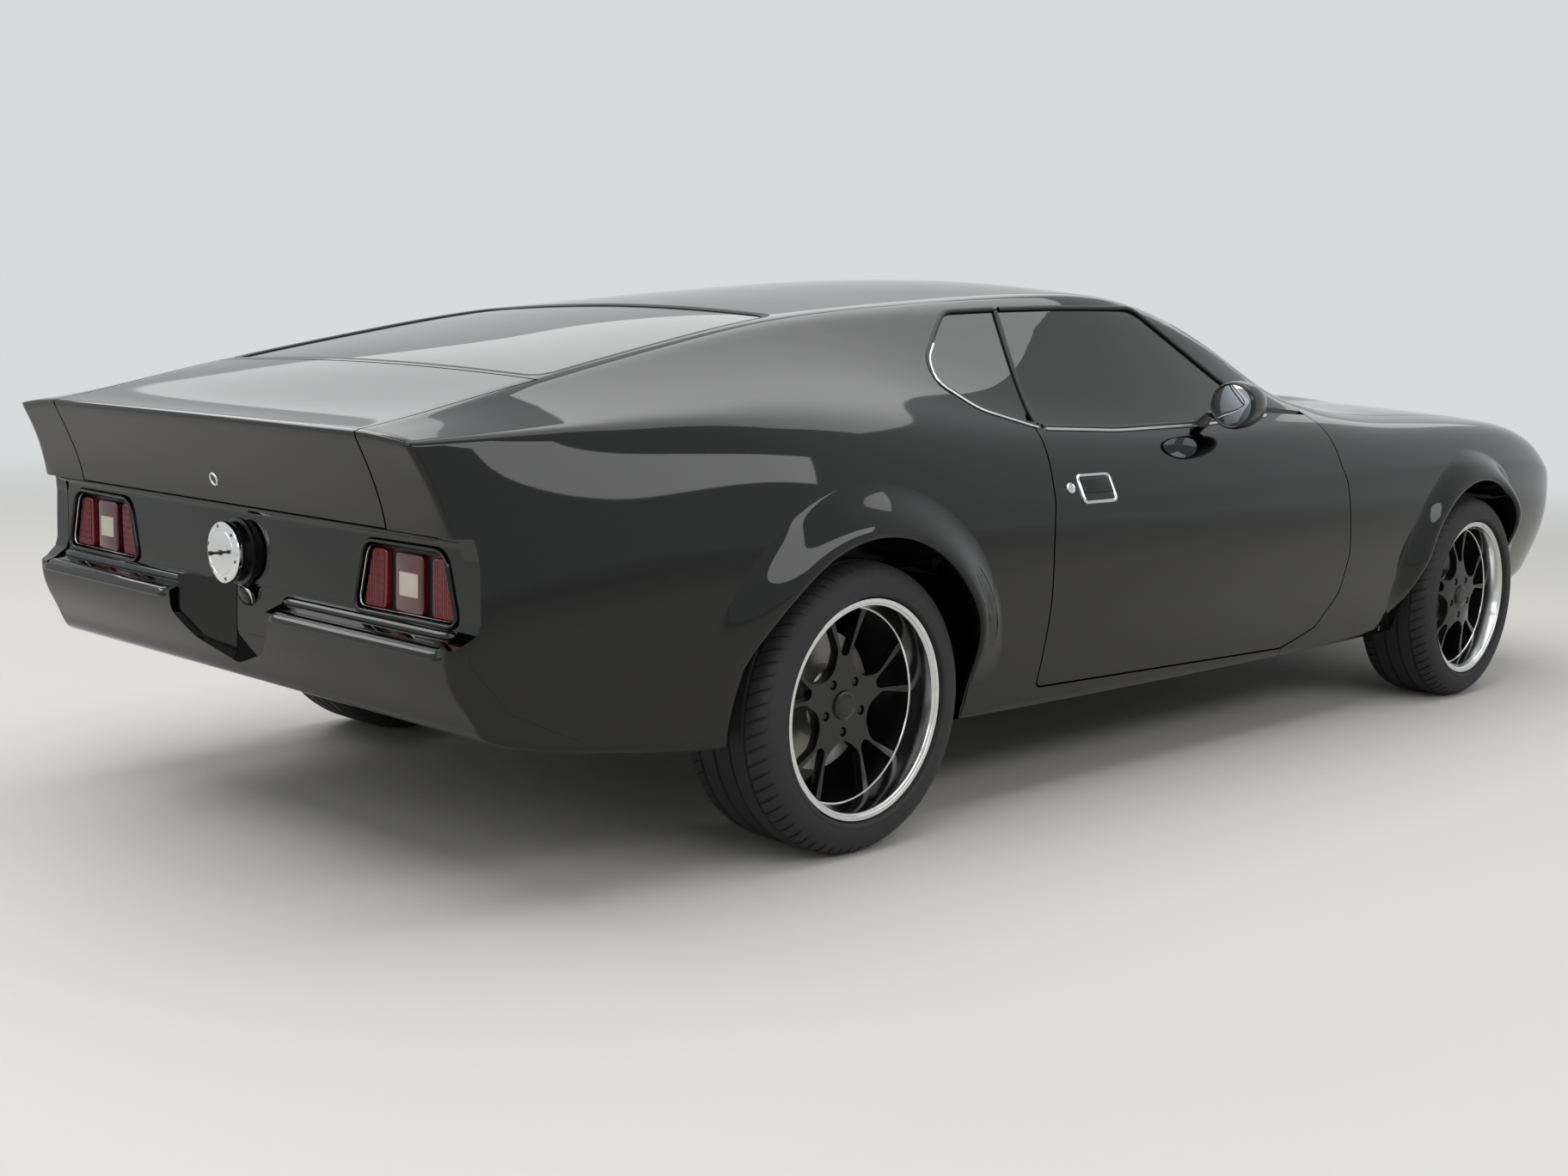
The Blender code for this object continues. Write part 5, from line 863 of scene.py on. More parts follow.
door_line = rounded(side(DOOR_SHARES), 0.020)
door = keep(solid, "door_right_skin", slab(grown(door_line, -GAP), "y", -WIDE, -DOOR_INNER_Y))
panels["door_right"] = cut(door, slab(grown(window, -0.0037), "y", -HALF_WIDTH, HALF_WIDTH))
panels["door_left"] = mirrored(door, "door_left_skin")
cut(shell, both_sides(grown(door_line, GAP), JAMB_Y + 0.006, WIDE))

nose_x = along(NOSE_SHARE)
nose_zone = block((nose_x + FINE_GAP, -WIDE, -BEYOND), (NOSE_END, WIDE, TOP))
panels["front_fascia"] = keep(shell, "front_fascia_skin", nose_zone)
cut(shell, block((nose_x - FINE_GAP, -WIDE, -BEYOND), (NOSE_END, WIDE, TOP)))
valance_line = side(VALANCE_SHARES)
# The valance is filled and painted over, so its joint is only a hairline.
joint = FINE_GAP / 8
panels["rear_valance"] = keep(shell, "rear_valance_skin", slab(grown(valance_line, -joint), "y", -WIDE, WIDE))
cut(shell, slab(grown(valance_line, joint), "y", -WIDE, WIDE))


def fender_zone(distance, sign):
    """One front fender's space: outboard from the door's front edge, and all of it past the cowl."""
    edge = [(x, z) for x, z in side(DOOR_SHARES) if x > along(0.5)]
    outline = [(edge[0][0], -BEYOND)] + edge + [(edge[-1][0], TOP), (NOSE_END, TOP), (NOSE_END, -BEYOND)]
    low, high = sorted((sign * FENDER_TOP_Y, sign * WIDE))
    outboard = slab(grown(outline, distance), "y", low, high)
    low, high = sorted((0, sign * WIDE))
    ahead = block((along(FENDER_START_SHARE) - distance, low, -BEYOND), (NOSE_END, high, TOP))
    return boolean(outboard, ahead, "UNION")


for name, sign in (("fender_left", 1), ("fender_right", -1)):
    panels[name] = keep(shell, name + "_skin", fender_zone(-FINE_GAP, sign))
for sign in (1, -1):
    cut(shell, fender_zone(FINE_GAP, sign))
panels["body_shell"] = shell
for name, item in panels.items():
    moving = name in ("hood", "deck_lid", "door_left", "door_right")
    dress(item, PAINT, name if moving else "body", smooth=False, replaces=[name])
    shine(item)
    print(item.name, len(item.data.polygons), "faces")

# %% [markdown]
# Each wheel opening has a flare that is blended into the side by hand with
# filler on the real car: a rolled lip standing proud at the opening, and a
# hollow curve that meets the side with no line. A grid is laid round the
# opening. Its inner rows make the lip, and its outer rows rise from the side
# by a share that eases to nothing, so the join is tangent to the body.

# %% Wheel arch flares
def sheet_of(columns, rows, place, closed=False):
    """A grid mesh whose point at (u, v), both from 0 to 1, is place(u, v)."""
    shape = bmesh.new()
    bmesh.ops.create_grid(shape, x_segments=columns, y_segments=rows, size=0.5)
    for vertex in shape.verts:
        vertex.co = place(vertex.co.x + 0.5, vertex.co.y + 0.5)
    if closed:
        bmesh.ops.remove_doubles(shape, verts=shape.verts, dist=1e-6)
    return shape


def ease(t):
    t = min(max(t, 0), 1)
    return t * t * (3 - 2 * t)


FLARE_Y = {"rear": 0.968, "front": 0.972}
FLARE_WIDTH = {"rear": 0.105, "front": 0.085}
# Heights at which each flare has died away, behind and ahead of its wheel.
FLARE_ENDS = {"rear": (0.40, 0.30), "front": (0.27, 0.38)}
FLARE_FADE = 0.22
FLARE_SINK = 0.0006
LIP_ROUND = 0.009
SILL_Z = height(0.190)
# The lip's rows as (outward from the opening, inward from the lip's face).
LIP_ROWS = (
    (-0.001, -0.070), (-0.001, -LIP_ROUND * 1.6), (LIP_ROUND * 0.06, -LIP_ROUND * 0.8),
    (LIP_ROUND * 0.30, -LIP_ROUND * 0.28), (LIP_ROUND * 0.75, -LIP_ROUND * 0.04), (LIP_ROUND * 1.4, 0),
)
OUTER_ROWS = 18


def flare_sheet(axle, sign):
    centre_x = AXLE_X[axle]
    lip_y = FLARE_Y[axle]
    count = len(LIP_ROWS) + OUTER_ROWS

    def place(u, v):
        row = round(v * count)
        if row < len(LIP_ROWS):
            out, drop = LIP_ROWS[row]
            share = 0
        else:
            share = (row - len(LIP_ROWS) + 1) / (OUTER_ROWS + 1)
            out, drop = LIP_ROUND * 1.4 + share * FLARE_WIDTH[axle], 0
        radius = ARCH_RADIUS + out
        low = math.asin((WHEEL_Z - SILL_Z - 0.004) / radius)
        turn = -low + u * (math.pi + 2 * low)
        x = centre_x + radius * math.cos(turn)
        z = WHEEL_Z + radius * math.sin(turn)
        body = side_y(x, max(z, SILL_Z + 0.012))
        died = FLARE_ENDS[axle][0 if x < centre_x else 1]
        standing = ease((z - died) / FLARE_FADE)
        lip = body - FLARE_SINK + (lip_y - body) * standing
        if share == 0:
            return Vector((x, sign * (lip + drop), z))
        rise = 1 - ease(share ** 0.85)
        return Vector((x, sign * (body - FLARE_SINK + (lip - body) * rise), z))

    shape = sheet_of(72, count, place)
    bmesh.ops.recalc_face_normals(shape, faces=shape.faces)
    outward = sum(face.normal.y * sign for face in shape.faces if abs(face.calc_center_median().y) > lip_y - 0.02)
    if outward < 0:
        bmesh.ops.reverse_faces(shape, faces=shape.faces)
    return shape


for axle in AXLE_X:
    for side_name, sign in SIDES:
        piece(f"flare_{axle}_{side_name}", flare_sheet(axle, sign), PAINT, angle=60)
print("flare lips at y", FLARE_Y)

# %% [markdown]
# The tyres are wide low-profile radials. On the real tyre the tread is
# moulded: four grooves run round it, and slanted grooves cross the shoulders
# and fade out on the side wall. A grid is laid round the tyre with its
# columns bunched at each slanted groove, and the groove's columns sink.

# %% Tyres
TYRE_HALF = {"rear": 0.131, "front": 0.118}
RIM_HALF = {"rear": 0.120, "front": 0.107}
FLANGE_Y = {"rear": 0.923, "front": 0.945}
PITCHES = 66
PITCH_PLACES = (0.0, 0.05, 0.17, 0.22)
GROOVE_DEPTH = 0.006
GROOVE_HALF = 0.0045
SKEW = 1.6


def tyre_section(axle):
    """Rows of (radius, offset from the tyre's middle, share of the slanted groove's depth)."""
    half = TYRE_HALF[axle]
    bead = RIM_HALF[axle] - 0.007
    wall = [(0.2195, bead, 0), (0.2335, bead, 0), (0.2375, bead + 0.003, 0)]
    wall += [(radius, half - inward, depth) for radius, inward, depth in (
        (0.2395, 0.004, 0), (0.2430, 0.001, 0), (0.2475, 0.0005, 0), (0.2500, 0.002, 0), (0.2600, 0.001, 0),
        (0.2720, 0.0035, 0), (0.2800, 0.0065, 0), (0.2870, 0.0100, 0), (0.2935, 0.0145, 0.35),
        (0.2985, 0.0195, 0.75), (0.3025, 0.0260, 1), (0.3055, 0.0340, 1), (0.3075, 0.0430, 1),
    )]
    crown = []
    for middle in (half * 0.52, half * 0.18):
        top = TYRE_RADIUS - 0.0016 * (middle / half) ** 2
        foot = GROOVE_HALF * 0.6
        crown += [
            (top, middle + GROOVE_HALF, 0.8 if middle > half * 0.4 else 0),
            (top - GROOVE_DEPTH, middle + foot, 0), (top - GROOVE_DEPTH, middle - foot, 0),
            (top, middle - GROOVE_HALF, 0),
        ]
    outer = wall + crown
    return outer + [(radius, -offset, depth) for radius, offset, depth in reversed(outer)]


def tyre_sheet(axle, sign):
    rows = tyre_section(axle)
    middle = FLANGE_Y[axle] - RIM_HALF[axle]

    def place(u, v):
        column = round(u * PITCHES * len(PITCH_PLACES))
        turn, step = divmod(column, len(PITCH_PLACES))
        radius, offset, depth = rows[round(v * (len(rows) - 1))]
        if step in (1, 2):
            radius -= depth * GROOVE_DEPTH * 0.8
        lean = SKEW * max(0, TYRE_HALF[axle] - 0.010 - abs(offset))
        angle = math.tau * (turn + PITCH_PLACES[step]) / PITCHES + lean * (1 if offset > 0 else -1)
        x, z = AXLE_X[axle] + radius * math.cos(angle), WHEEL_Z + radius * math.sin(angle)
        return Vector((x, sign * (middle + offset), z))

    shape = sheet_of(PITCHES * len(PITCH_PLACES), len(rows) - 1, place, closed=True)
    bmesh.ops.recalc_face_normals(shape, faces=shape.faces)
    return shape


for axle in AXLE_X:
    for side_name, sign in SIDES:
        corner = f"{axle}_{side_name}"
        piece(f"tyre_{corner}_treaded", tyre_sheet(axle, sign), TYRE, "wheel_" + corner,
              replaces=["tyre_" + corner], angle=32)
print("tyre pitches:", PITCHES)

# %% [markdown]
# The wheels are two-piece in look: a deep polished lip, turned on a lathe,
# and a cast centre in satin black with five forked spokes. The centre starts
# as a turned disc, dished at the front axle, and ten windows are cut out of
# it, five between the forks and five inside them. A bevel then breaks every
# edge, which is what catches the light on the real casting.

# %% Wheels
FACE_DEPTH = {"rear": 0.064, "front": 0.052}
DISH = {"rear": -0.002, "front": 0.020}
CENTRE_RADIUS = 0.2075
HUB_RADIUS = 0.040
SPOKES = 5
LUG_CIRCLE = 0.0572
LUG_RADIUS = 0.0105
BRAKE_RADIUS = 0.150
FORK_WINDOW = ((0.106, 0.0095), (0.216, 0.0500))
SIDE_WINDOW = ((0.0785, 0.0165), (0.1075, 0.0530), (0.2080, 0.0690))


def hub_y(axle):
    """Where the face of a right wheel's hub stands."""
    return -FLANGE_Y[axle] + FACE_DEPTH[axle] - DISH[axle]


def spun(profile, centre, steps):
    """A profile of (radius, y) turned round the wheel's axis."""
    shape = bmesh.new()
    points = [shape.verts.new((centre[0] + radius, y, centre[2])) for radius, y in profile]
    edges = [shape.edges.new(ends) for ends in zip(points, points[1:])]
    bmesh.ops.spin(shape, geom=points + edges, cent=centre, axis=(0, 1, 0), angle=math.tau, steps=steps,
                   use_merge=True)
    bmesh.ops.remove_doubles(shape, verts=shape.verts, dist=1e-6)
    bmesh.ops.recalc_face_normals(shape, faces=shape.faces)
    return shape


def softened(item, width, segments=2, angle=40):
    step = item.modifiers.new("bevel", "BEVEL")
    step.width = width
    step.segments = segments
    step.limit_method = "ANGLE"
    step.angle_limit = math.radians(angle)
    step.use_clamp_overlap = True
    return applied(item)


def wheel_window(axle, angle, half_outline):
    """A cutter through the wheel's centre, its outline given along and beside one direction."""
    outline = [(p, -q) for p, q in half_outline] + [(p, q) for p, q in reversed(half_outline)]
    outline = rounded(outline, 0.016, 6)
    cos, sin = math.cos(angle), math.sin(angle)
    turned = [(AXLE_X[axle] + p * cos - q * sin, WHEEL_Z + p * sin + q * cos) for p, q in outline]
    return slab(turned, "y", -1.1, -0.6)


def wheel_centre(axle):
    """The cast centre of a right wheel."""
    centre = (AXLE_X[axle], 0, WHEEL_Z)
    hub = hub_y(axle)
    profile = []
    for k in range(9):
        share = k / 8
        radius = HUB_RADIUS + (CENTRE_RADIUS - HUB_RADIUS) * share
        profile.append((radius, hub + DISH[axle] * ease(share)))
    back = [(radius, y + 0.024 - 0.004 * i / 8) for i, (radius, y) in enumerate(profile)]
    section = [(0, hub)] + profile + back[::-1] + [(0, hub + 0.034)]
    disc = loose(f"centre_{axle}", spun(section, centre, 120))
    for k in range(SPOKES):
        fork = math.tau * (k + 0.25) / SPOKES
        angle = fork + math.pi / SPOKES
        cut(disc, wheel_window(axle, fork, FORK_WINDOW))
        cut(disc, wheel_window(axle, angle, SIDE_WINDOW))
        x, z = centre[0] + LUG_CIRCLE * math.cos(angle), WHEEL_Z + LUG_CIRCLE * math.sin(angle)
        turns = [math.tau * i / 20 for i in range(20)]
        lug = [(x + LUG_RADIUS * math.cos(turn), z + LUG_RADIUS * math.sin(turn)) for turn in turns]
        cut(disc, slab(lug, "y", hub - 0.1, hub + 0.014))
    return softened(disc, 0.0022, 3)


def wheel_nuts(axle):
    """Five domed hexagon nuts standing in the lug holes of a right wheel."""
    shape = bmesh.new()
    for k in range(SPOKES):
        angle = math.tau * (k + 0.75) / SPOKES
        x, z = AXLE_X[axle] + LUG_CIRCLE * math.cos(angle), WHEEL_Z + LUG_CIRCLE * math.sin(angle)
        place = Matrix.Translation((x, hub_y(axle) + 0.009, z)) @ Matrix.Rotation(math.pi / 2, 4, "X")
        made = bmesh.ops.create_cone(
            shape, cap_ends=True, segments=6, radius1=0.0085, radius2=0.0070, depth=0.012, matrix=place,
        )
        edges = list(dict.fromkeys(e for v in made["verts"] for e in v.link_edges))
        bmesh.ops.bevel(shape, geom=edges, offset=0.001, segments=2, affect="EDGES", profile=0.5, material=-1)
    return shape


def behind(start, rows):
    """A profile of (radius, y) from rows that give y as a depth behind the start."""
    return [(radius, start + depth) for radius, depth in rows]


def lip_profile(axle):
    face = FACE_DEPTH[axle]
    return behind(-FLANGE_Y[axle], (
        (0.2190, 0.0120), (0.2300, 0.0075), (0.2342, 0.0055), (0.2350, 0.0030), (0.2347, 0.0008), (0.2335, 0),
        (0.2310, 0), (0.2245, 0.0006), (0.2236, 0.0016), (0.2232, 0.0034), (0.2196, 0.0042), (0.2186, 0.0056),
        (0.2176, 0.0085), (0.2120, face * 0.55), (0.2098, face - 0.006), (0.2090, face - 0.002),
        (0.2070, face - 0.0012), (0.2062, face + 0.0005),
    ))


def barrel_profile(axle):
    face, back = FACE_DEPTH[axle], 2 * RIM_HALF[axle]
    return behind(-FLANGE_Y[axle], (
        (0.2066, face), (0.2060, face + 0.030), (0.2060, back - 0.030), (0.2130, back - 0.012),
        (0.2160, back - 0.002), (0.2330, back), (0.2345, back - 0.003), (0.2330, back - 0.007),
        (0.2195, back - 0.012),
    ))


def brake_profile(axle):
    """The disc's bell, its two faces and the vent between them."""
    rim, vent = BRAKE_RADIUS, BRAKE_RADIUS - 0.004
    return behind(hub_y(axle) + 0.070, (
        (0.030, -0.040), (0.072, -0.040), (0.078, -0.036), (0.080, 0), (0.090, 0.001), (rim - 0.001, 0.001),
        (rim, 0.002), (rim, 0.008), (vent, 0.009), (vent, 0.015), (rim, 0.016), (rim, 0.022), (0.085, 0.022),
    ))


def cap_profile(axle):
    return behind(hub_y(axle), (
        (0, -0.0085), (0.010, -0.0084), (0.0205, -0.0078), (0.0212, -0.0070), (0.0220, -0.0078),
        (0.0285, -0.0066), (0.0305, -0.0052), (0.0315, -0.0030), (0.0325, 0.0005),
    ))


for axle in AXLE_X:
    centre = (AXLE_X[axle], 0, WHEEL_Z)
    wheel = {
        "centre": (wheel_centre(axle), SATIN),
        "cap": (loose("cap", spun(cap_profile(axle), centre, 64)), SATIN),
        "lip": (loose("lip", spun(lip_profile(axle), centre, 144)), LIP),
        "barrel": (loose("barrel", spun(barrel_profile(axle), centre, 96)), SATIN),
        "brake": (loose("brake", spun(brake_profile(axle), centre, 96)), IRON),
        "nuts": (object_of("nuts", wheel_nuts(axle)), PLASTIC),
    }
    for kind, (item, material) in wheel.items():
        stands_for = ["rim_" + axle] if kind == "centre" else ()
        pair(f"wheel_{kind}_{axle}", item, material, "wheel_" + axle, stands_for, angle=30)

# %% [markdown]
# The glass follows the smooth body 4 mm below its surface, 5 mm thick, and is
# held by black rubber all round. Bright stainless strips cover the rubber
# along the belt and behind the quarter window. Seals and strips are one small
# section swept along a line that lies on the body.

# %% Glass
GLASS_DROP = 0.004
GLASS_THICKNESS = 0.005
GLASS_EDGE = 0.004


def follow(item, reach):
    """Normals from the smooth body on both faces of a sheet that runs along it."""
    mesh = item.data
    mesh.shade_smooth()
    wanted = []
    for face in mesh.polygons:
        _, normal, _, away = SKIN_TREE.find_nearest(face.center)
        facing = normal.dot(face.normal)
        for loop in face.loop_indices:
            if away > reach or abs(facing) < 0.9:
                wanted.append(face.normal.copy())
                continue
            spot, _, index, _ = SKIN_TREE.find_nearest(mesh.vertices[mesh.loops[loop].vertex_index].co)
            wanted.append(skin_normal(spot, index) * math.copysign(1, facing))
    mesh.normals_split_custom_set(wanted)
    return item


glass_outer = inset_copy(solid, "glass outer", GLASS_DROP)
glass_inner = inset_copy(solid, "glass inner", GLASS_DROP + GLASS_THICKNESS)
glass_sheet = cut(copy_of(glass_outer, "glass sheet"), glass_inner)
remove(glass_outer)


def pane(name, zone, body):
    item = boolean(copy_of(glass_sheet, name + "_tinted"), zone, "INTERSECT")
    dress(item, GLASS, body, smooth=False, replaces=[name])
    follow(item, GLASS_DROP + GLASS_THICKNESS * 1.5)


for name, line in SCREENS.items():
    pane(name, slab(grown(line, -0.001), "z", height(GLASS_FLOOR_SHARES[name]), TOP), "body")
(split_top_x, split_top_z), (split_low_x, split_low_z) = side(GLASS_SPLIT_SHARES)
split_lean = (split_top_x - split_low_x) / (split_top_z - split_low_z)


def split_x(z, shift=0):
    return split_low_x + split_lean * (z - split_low_z) + shift


def half_plane(direction):
    """The side window's part ahead of the divider, or behind it."""
    near = [(split_x(z, direction * GLASS_EDGE), z) for z in (0, TOP)]
    far = [(x + direction * WHEELBASE, z) for x, z in reversed(near)]
    return near + far


for name, direction in (("door_glass", 1), ("quarter_glass", -1)):
    for side_name, sign in SIDES:
        zone = slab(grown(window, -GLASS_EDGE), "y", *sorted((sign * 0.48, sign * HALF_WIDTH)))
        outboard = sorted((sign * 0.4, sign * 1.2))
        boolean(zone, slab(half_plane(direction), "y", *outboard), "INTERSECT")
        if direction < 0:
            cut(zone, slab(grown(door_line, 0.006), "y", *outboard))
        pane(f"{name}_{side_name}", zone, f"door_{side_name}" if direction > 0 else "body")
remove(glass_sheet)
print("glass edge clearance in mm:", GLASS_EDGE * 1000)


# %% Seals and bright strips
def swept(path, normals, section, closed=False):
    """A closed section, given across and above, swept along a path on a surface."""
    shape = bmesh.new()
    rings = []
    count = len(path)
    for i, (place, normal) in enumerate(zip(path, normals)):
        before = path[(i - 1) % count] if closed or i else place
        after = path[(i + 1) % count] if closed or i < count - 1 else place
        run = (after - before).normalized()
        across_run = run.cross(normal).normalized()
        up = across_run.cross(run).normalized()
        rings.append([shape.verts.new(place + across_run * a + up * b) for a, b in section])
    spans = list(zip(rings, rings[1:])) + ([(rings[-1], rings[0])] if closed else [])
    size = len(section)
    for first, second in spans:
        for i in range(size):
            j = (i + 1) % size
            shape.faces.new((first[i], first[j], second[j], second[i]))
    if not closed:
        shape.faces.new(rings[0][::-1])
        shape.faces.new(rings[-1])
    bmesh.ops.recalc_face_normals(shape, faces=shape.faces)
    return shape


def oval(wide, tall, steps=10):
    turns = [math.tau * k / steps for k in range(steps)]
    return [(wide / 2 * math.cos(turn), tall / 2 * math.sin(turn)) for turn in turns]


def resampled(points, spacing, closed=True):
    """Points along a polyline at even steps, near the spacing."""
    points = [Vector(p) for p in points]
    if closed:
        points.append(points[0])
    lengths = [(b - a).length for a, b in zip(points, points[1:])]
    total = sum(lengths)
    steps = max(2, round(total / spacing))
    made, walked, i = [], 0.0, 0
    for k in range(steps if closed else steps + 1):
        goal = total * k / steps
        while i < len(lengths) - 1 and walked + lengths[i] < goal:
            walked += lengths[i]
            i += 1
        share = (goal - walked) / lengths[i] if lengths[i] else 0
        made.append(points[i].lerp(points[i + 1], min(share, 1)))
    return made


def laid(points, view, drop=0.0, spacing=0.02, closed=True):
    """A line drawn in a view and dropped onto the body: places and normals."""
    places, normals = [], []
    for point in resampled(points, spacing, closed):
        place, normal = seen(view, point.x, point.y)
        places.append(place - normal * drop)
        normals.append(normal)
    return places, normals


def in_order(points):
    """Turns a closed line that was cut open so that its largest step is at the ends."""
    gaps = [(points[i] - points[i - 1]).length for i in range(len(points))]
    first = gaps.index(max(gaps))
    return points[first:] + points[:first]


for name, line in SCREENS.items():
    path, normals = laid(grown(line, -0.006), "top", 0.003, 0.025)
    piece(name + "_seal", swept(path, normals, oval(0.020, 0.007), True), SEAL, angle=50)

edge = resampled(window, 0.012)
door_edge = in_order([p for p in edge if p.x > split_x(p.y, GLASS_EDGE)])
quarter_edge = in_order([p for p in edge if p.x < split_x(p.y, -GLASS_EDGE)])
quarter_belt = [p + Vector((0, -0.006)) for p in quarter_edge if p.y < height(0.86)]
door_belt = [p + Vector((0, -0.007)) for p in door_edge if p.y < height(0.7145) and p.x > split_x(p.y, 0.015)]
door_belt.sort(key=lambda p: p.x)
divider = [Vector((split_x(z), z)) for z in map(height, (0.7085, 0.78, 0.85, 0.917))]
STRIPS = (
    ("door_window_seal", door_edge, oval(0.013, 0.010), SEAL, "body", 0.001, 0.02),
    ("quarter_window_seal", quarter_edge, oval(0.013, 0.010), SEAL, "body", 0.001, 0.02),
    ("quarter_trim", quarter_belt, oval(0.007, 0.006), STAINLESS, "body", -0.002, 0.012),
    ("door_belt_trim", door_belt, oval(0.008, 0.006), STAINLESS, "door", -0.002, 0.02),
    ("window_divider", divider, oval(0.014, 0.012), SEAL, "body", 0.002, 0.02),
)
for name, points, section, material, body, drop, spacing in STRIPS:
    path, normals = laid(points, "side", drop, spacing, closed=False)
    pair(name, object_of(name, swept(path, normals, section)), material, body, angle=50)
print("belt trim points:", len(door_belt), len(quarter_belt))

# %% [markdown]
# The tail. Each lamp group sits in a pocket pressed into the rear panel: a
# rolled rim, a black tray, and three moulded lenses with gaps between them.
# The outer two are cast with a grid of small prisms, and the middle one is
# smooth with a white reversing window. Round parts are made as on a lathe,
# from a profile turned about the line that they stand on.

# %% Tail lamps
REAR_WALL_X = along(REAR_WALL_SHARE)
TRAY_X = REAR_WALL_X + 0.022
LENS_OUTLINES = {
    "inner": ((0.440, 0.553), (0.512, 0.553), (0.516, 0.668), (0.470, 0.668)),
    "middle": ((0.543, 0.552), (0.631, 0.552), (0.631, 0.667), (0.543, 0.667)),
    "outer": ((0.660, 0.554), (0.735, 0.555), (0.704, 0.668), (0.660, 0.667)),
}
WINDOW_OUTLINE = ((0.558, 0.586), (0.617, 0.586), (0.617, 0.631), (0.558, 0.631))


def turned_on(profile, base, direction, steps=48):
    """A profile of (radius, distance) turned about a line from the base along a direction."""
    shape = bmesh.new()
    points = [shape.verts.new((radius, 0, reach)) for radius, reach in profile]
    edges = [shape.edges.new(pair) for pair in zip(points, points[1:])]
    bmesh.ops.spin(shape, geom=points + edges, cent=(0, 0, 0), axis=(0, 0, 1), angle=math.tau, steps=steps,
                   use_merge=True)
    bmesh.ops.remove_doubles(shape, verts=shape.verts, dist=1e-6)
    turn = Vector(direction).to_track_quat("Z", "Y").to_matrix().to_4x4()
    bmesh.ops.transform(shape, matrix=Matrix.Translation(base) @ turn, verts=shape.verts)
    bmesh.ops.recalc_face_normals(shape, faces=shape.faces)
    return shape


def turned_piece(name, profile, base, direction, material, body="body", steps=48, **rest):
    return piece(name, turned_on(profile, base, direction, steps), material, body, **rest)


def plate(outline, axis, back, front, corner, edge, steps=3):
    """A moulded plate across an axis: a rounded outline with a rounded front edge."""
    number = "xyz".index(axis)
    item = slab(rounded(outline, corner, 5), axis, *sorted((front, back)))
    shape = bmesh.new()
    shape.from_mesh(item.data)
    remove(item)
    rim = [e for e in shape.edges if all(abs(v.co[number] - front) < 1e-6 for v in e.verts)]
    bmesh.ops.bevel(
        shape, geom=rim, offset=edge, segments=steps, affect="EDGES", profile=0.5, material=-1, clamp_overlap=True,
    )
    return shape


def tail_line(points, sunk=0.0):
    """Points and rearward normals on the plane of the rear wall."""
    places = [Vector((REAR_WALL_X + sunk, p.x, p.y)) for p in resampled(points, 0.006)]
    return places, [REARWARD] * len(places)


REARWARD = Vector((-1, 0, 0))
RIB_PITCH = 0.0042
RIB_DEEP = 0.0036
LENS_FRONT = TRAY_X - 0.013
for side_name, sign in SIDES:
    tray = plate(flip(grown(LAMP_POCKET, -0.001), sign), "x", TRAY_X + 0.006, TRAY_X, 0.030, 0.001, 1)
    piece(f"lamp_tray_{side_name}", tray, PLASTIC, replaces=[f"tail_lamp_{side_name}"])
    rim = tail_line(rounded(flip(LAMP_POCKET, sign), 0.030, 6))
    piece(f"lamp_rim_{side_name}", swept(*rim, oval(0.011, 0.014, 12), True), PAINT, angle=70)
    line = tail_line(rounded(grown(flip(LAMP_POCKET, sign), -0.0085), 0.026, 6), 0.004)
    piece(f"lamp_bright_line_{side_name}", swept(*line, oval(0.0022, 0.0050, 8), True), STAINLESS, angle=70)
    for name, outline in LENS_OUTLINES.items():
        lens = plate(flip(outline, sign), "x", TRAY_X - 0.0005, LENS_FRONT, 0.012, 0.004)
        piece(f"lens_{name}_{side_name}", lens, RED_SMOOTH if name == "middle" else RED_RIBS)
        if name == "middle":
            continue
        shape = bmesh.new()
        low_y, high_y = min(y for y, _ in outline), max(y for y, _ in outline)
        for k in range(int((high_y - low_y) / RIB_PITCH)):
            at = Matrix.Translation((LENS_FRONT, sign * (low_y + RIB_PITCH * (k + 0.5)), 0.61))
            bmesh.ops.create_cube(shape, size=1, matrix=at @ Matrix.Diagonal((RIB_DEEP, RIB_PITCH * 0.45, 0.24, 1)))
        ribs = loose(f"lens_ribs_{name}_{side_name}", shape)
        within = rounded(grown(flip(outline, sign), -0.004), 0.009, 5)
        boolean(ribs, slab(within, "x", TRAY_X - 0.03, TRAY_X), "INTERSECT")
        dress(ribs, RED_RIBS, smooth=False)
    white = plate(flip(WINDOW_OUTLINE, sign), "x", TRAY_X - 0.0125, TRAY_X - 0.0145, 0.003, 0.001, 2)
    piece(f"reverse_window_{side_name}", white, WHITE_LENS)
print("lamp tray", round((TRAY_X - REAR_WALL_X) * 1000), "mm deep")

# %% [markdown]
# The fuel cap is a turned aluminium disc on a black neck, held by six small
# screws, with a fine groove round its face and a black latch pin in the
# middle. The lid's lock above it is a small bright ring round a barrel.

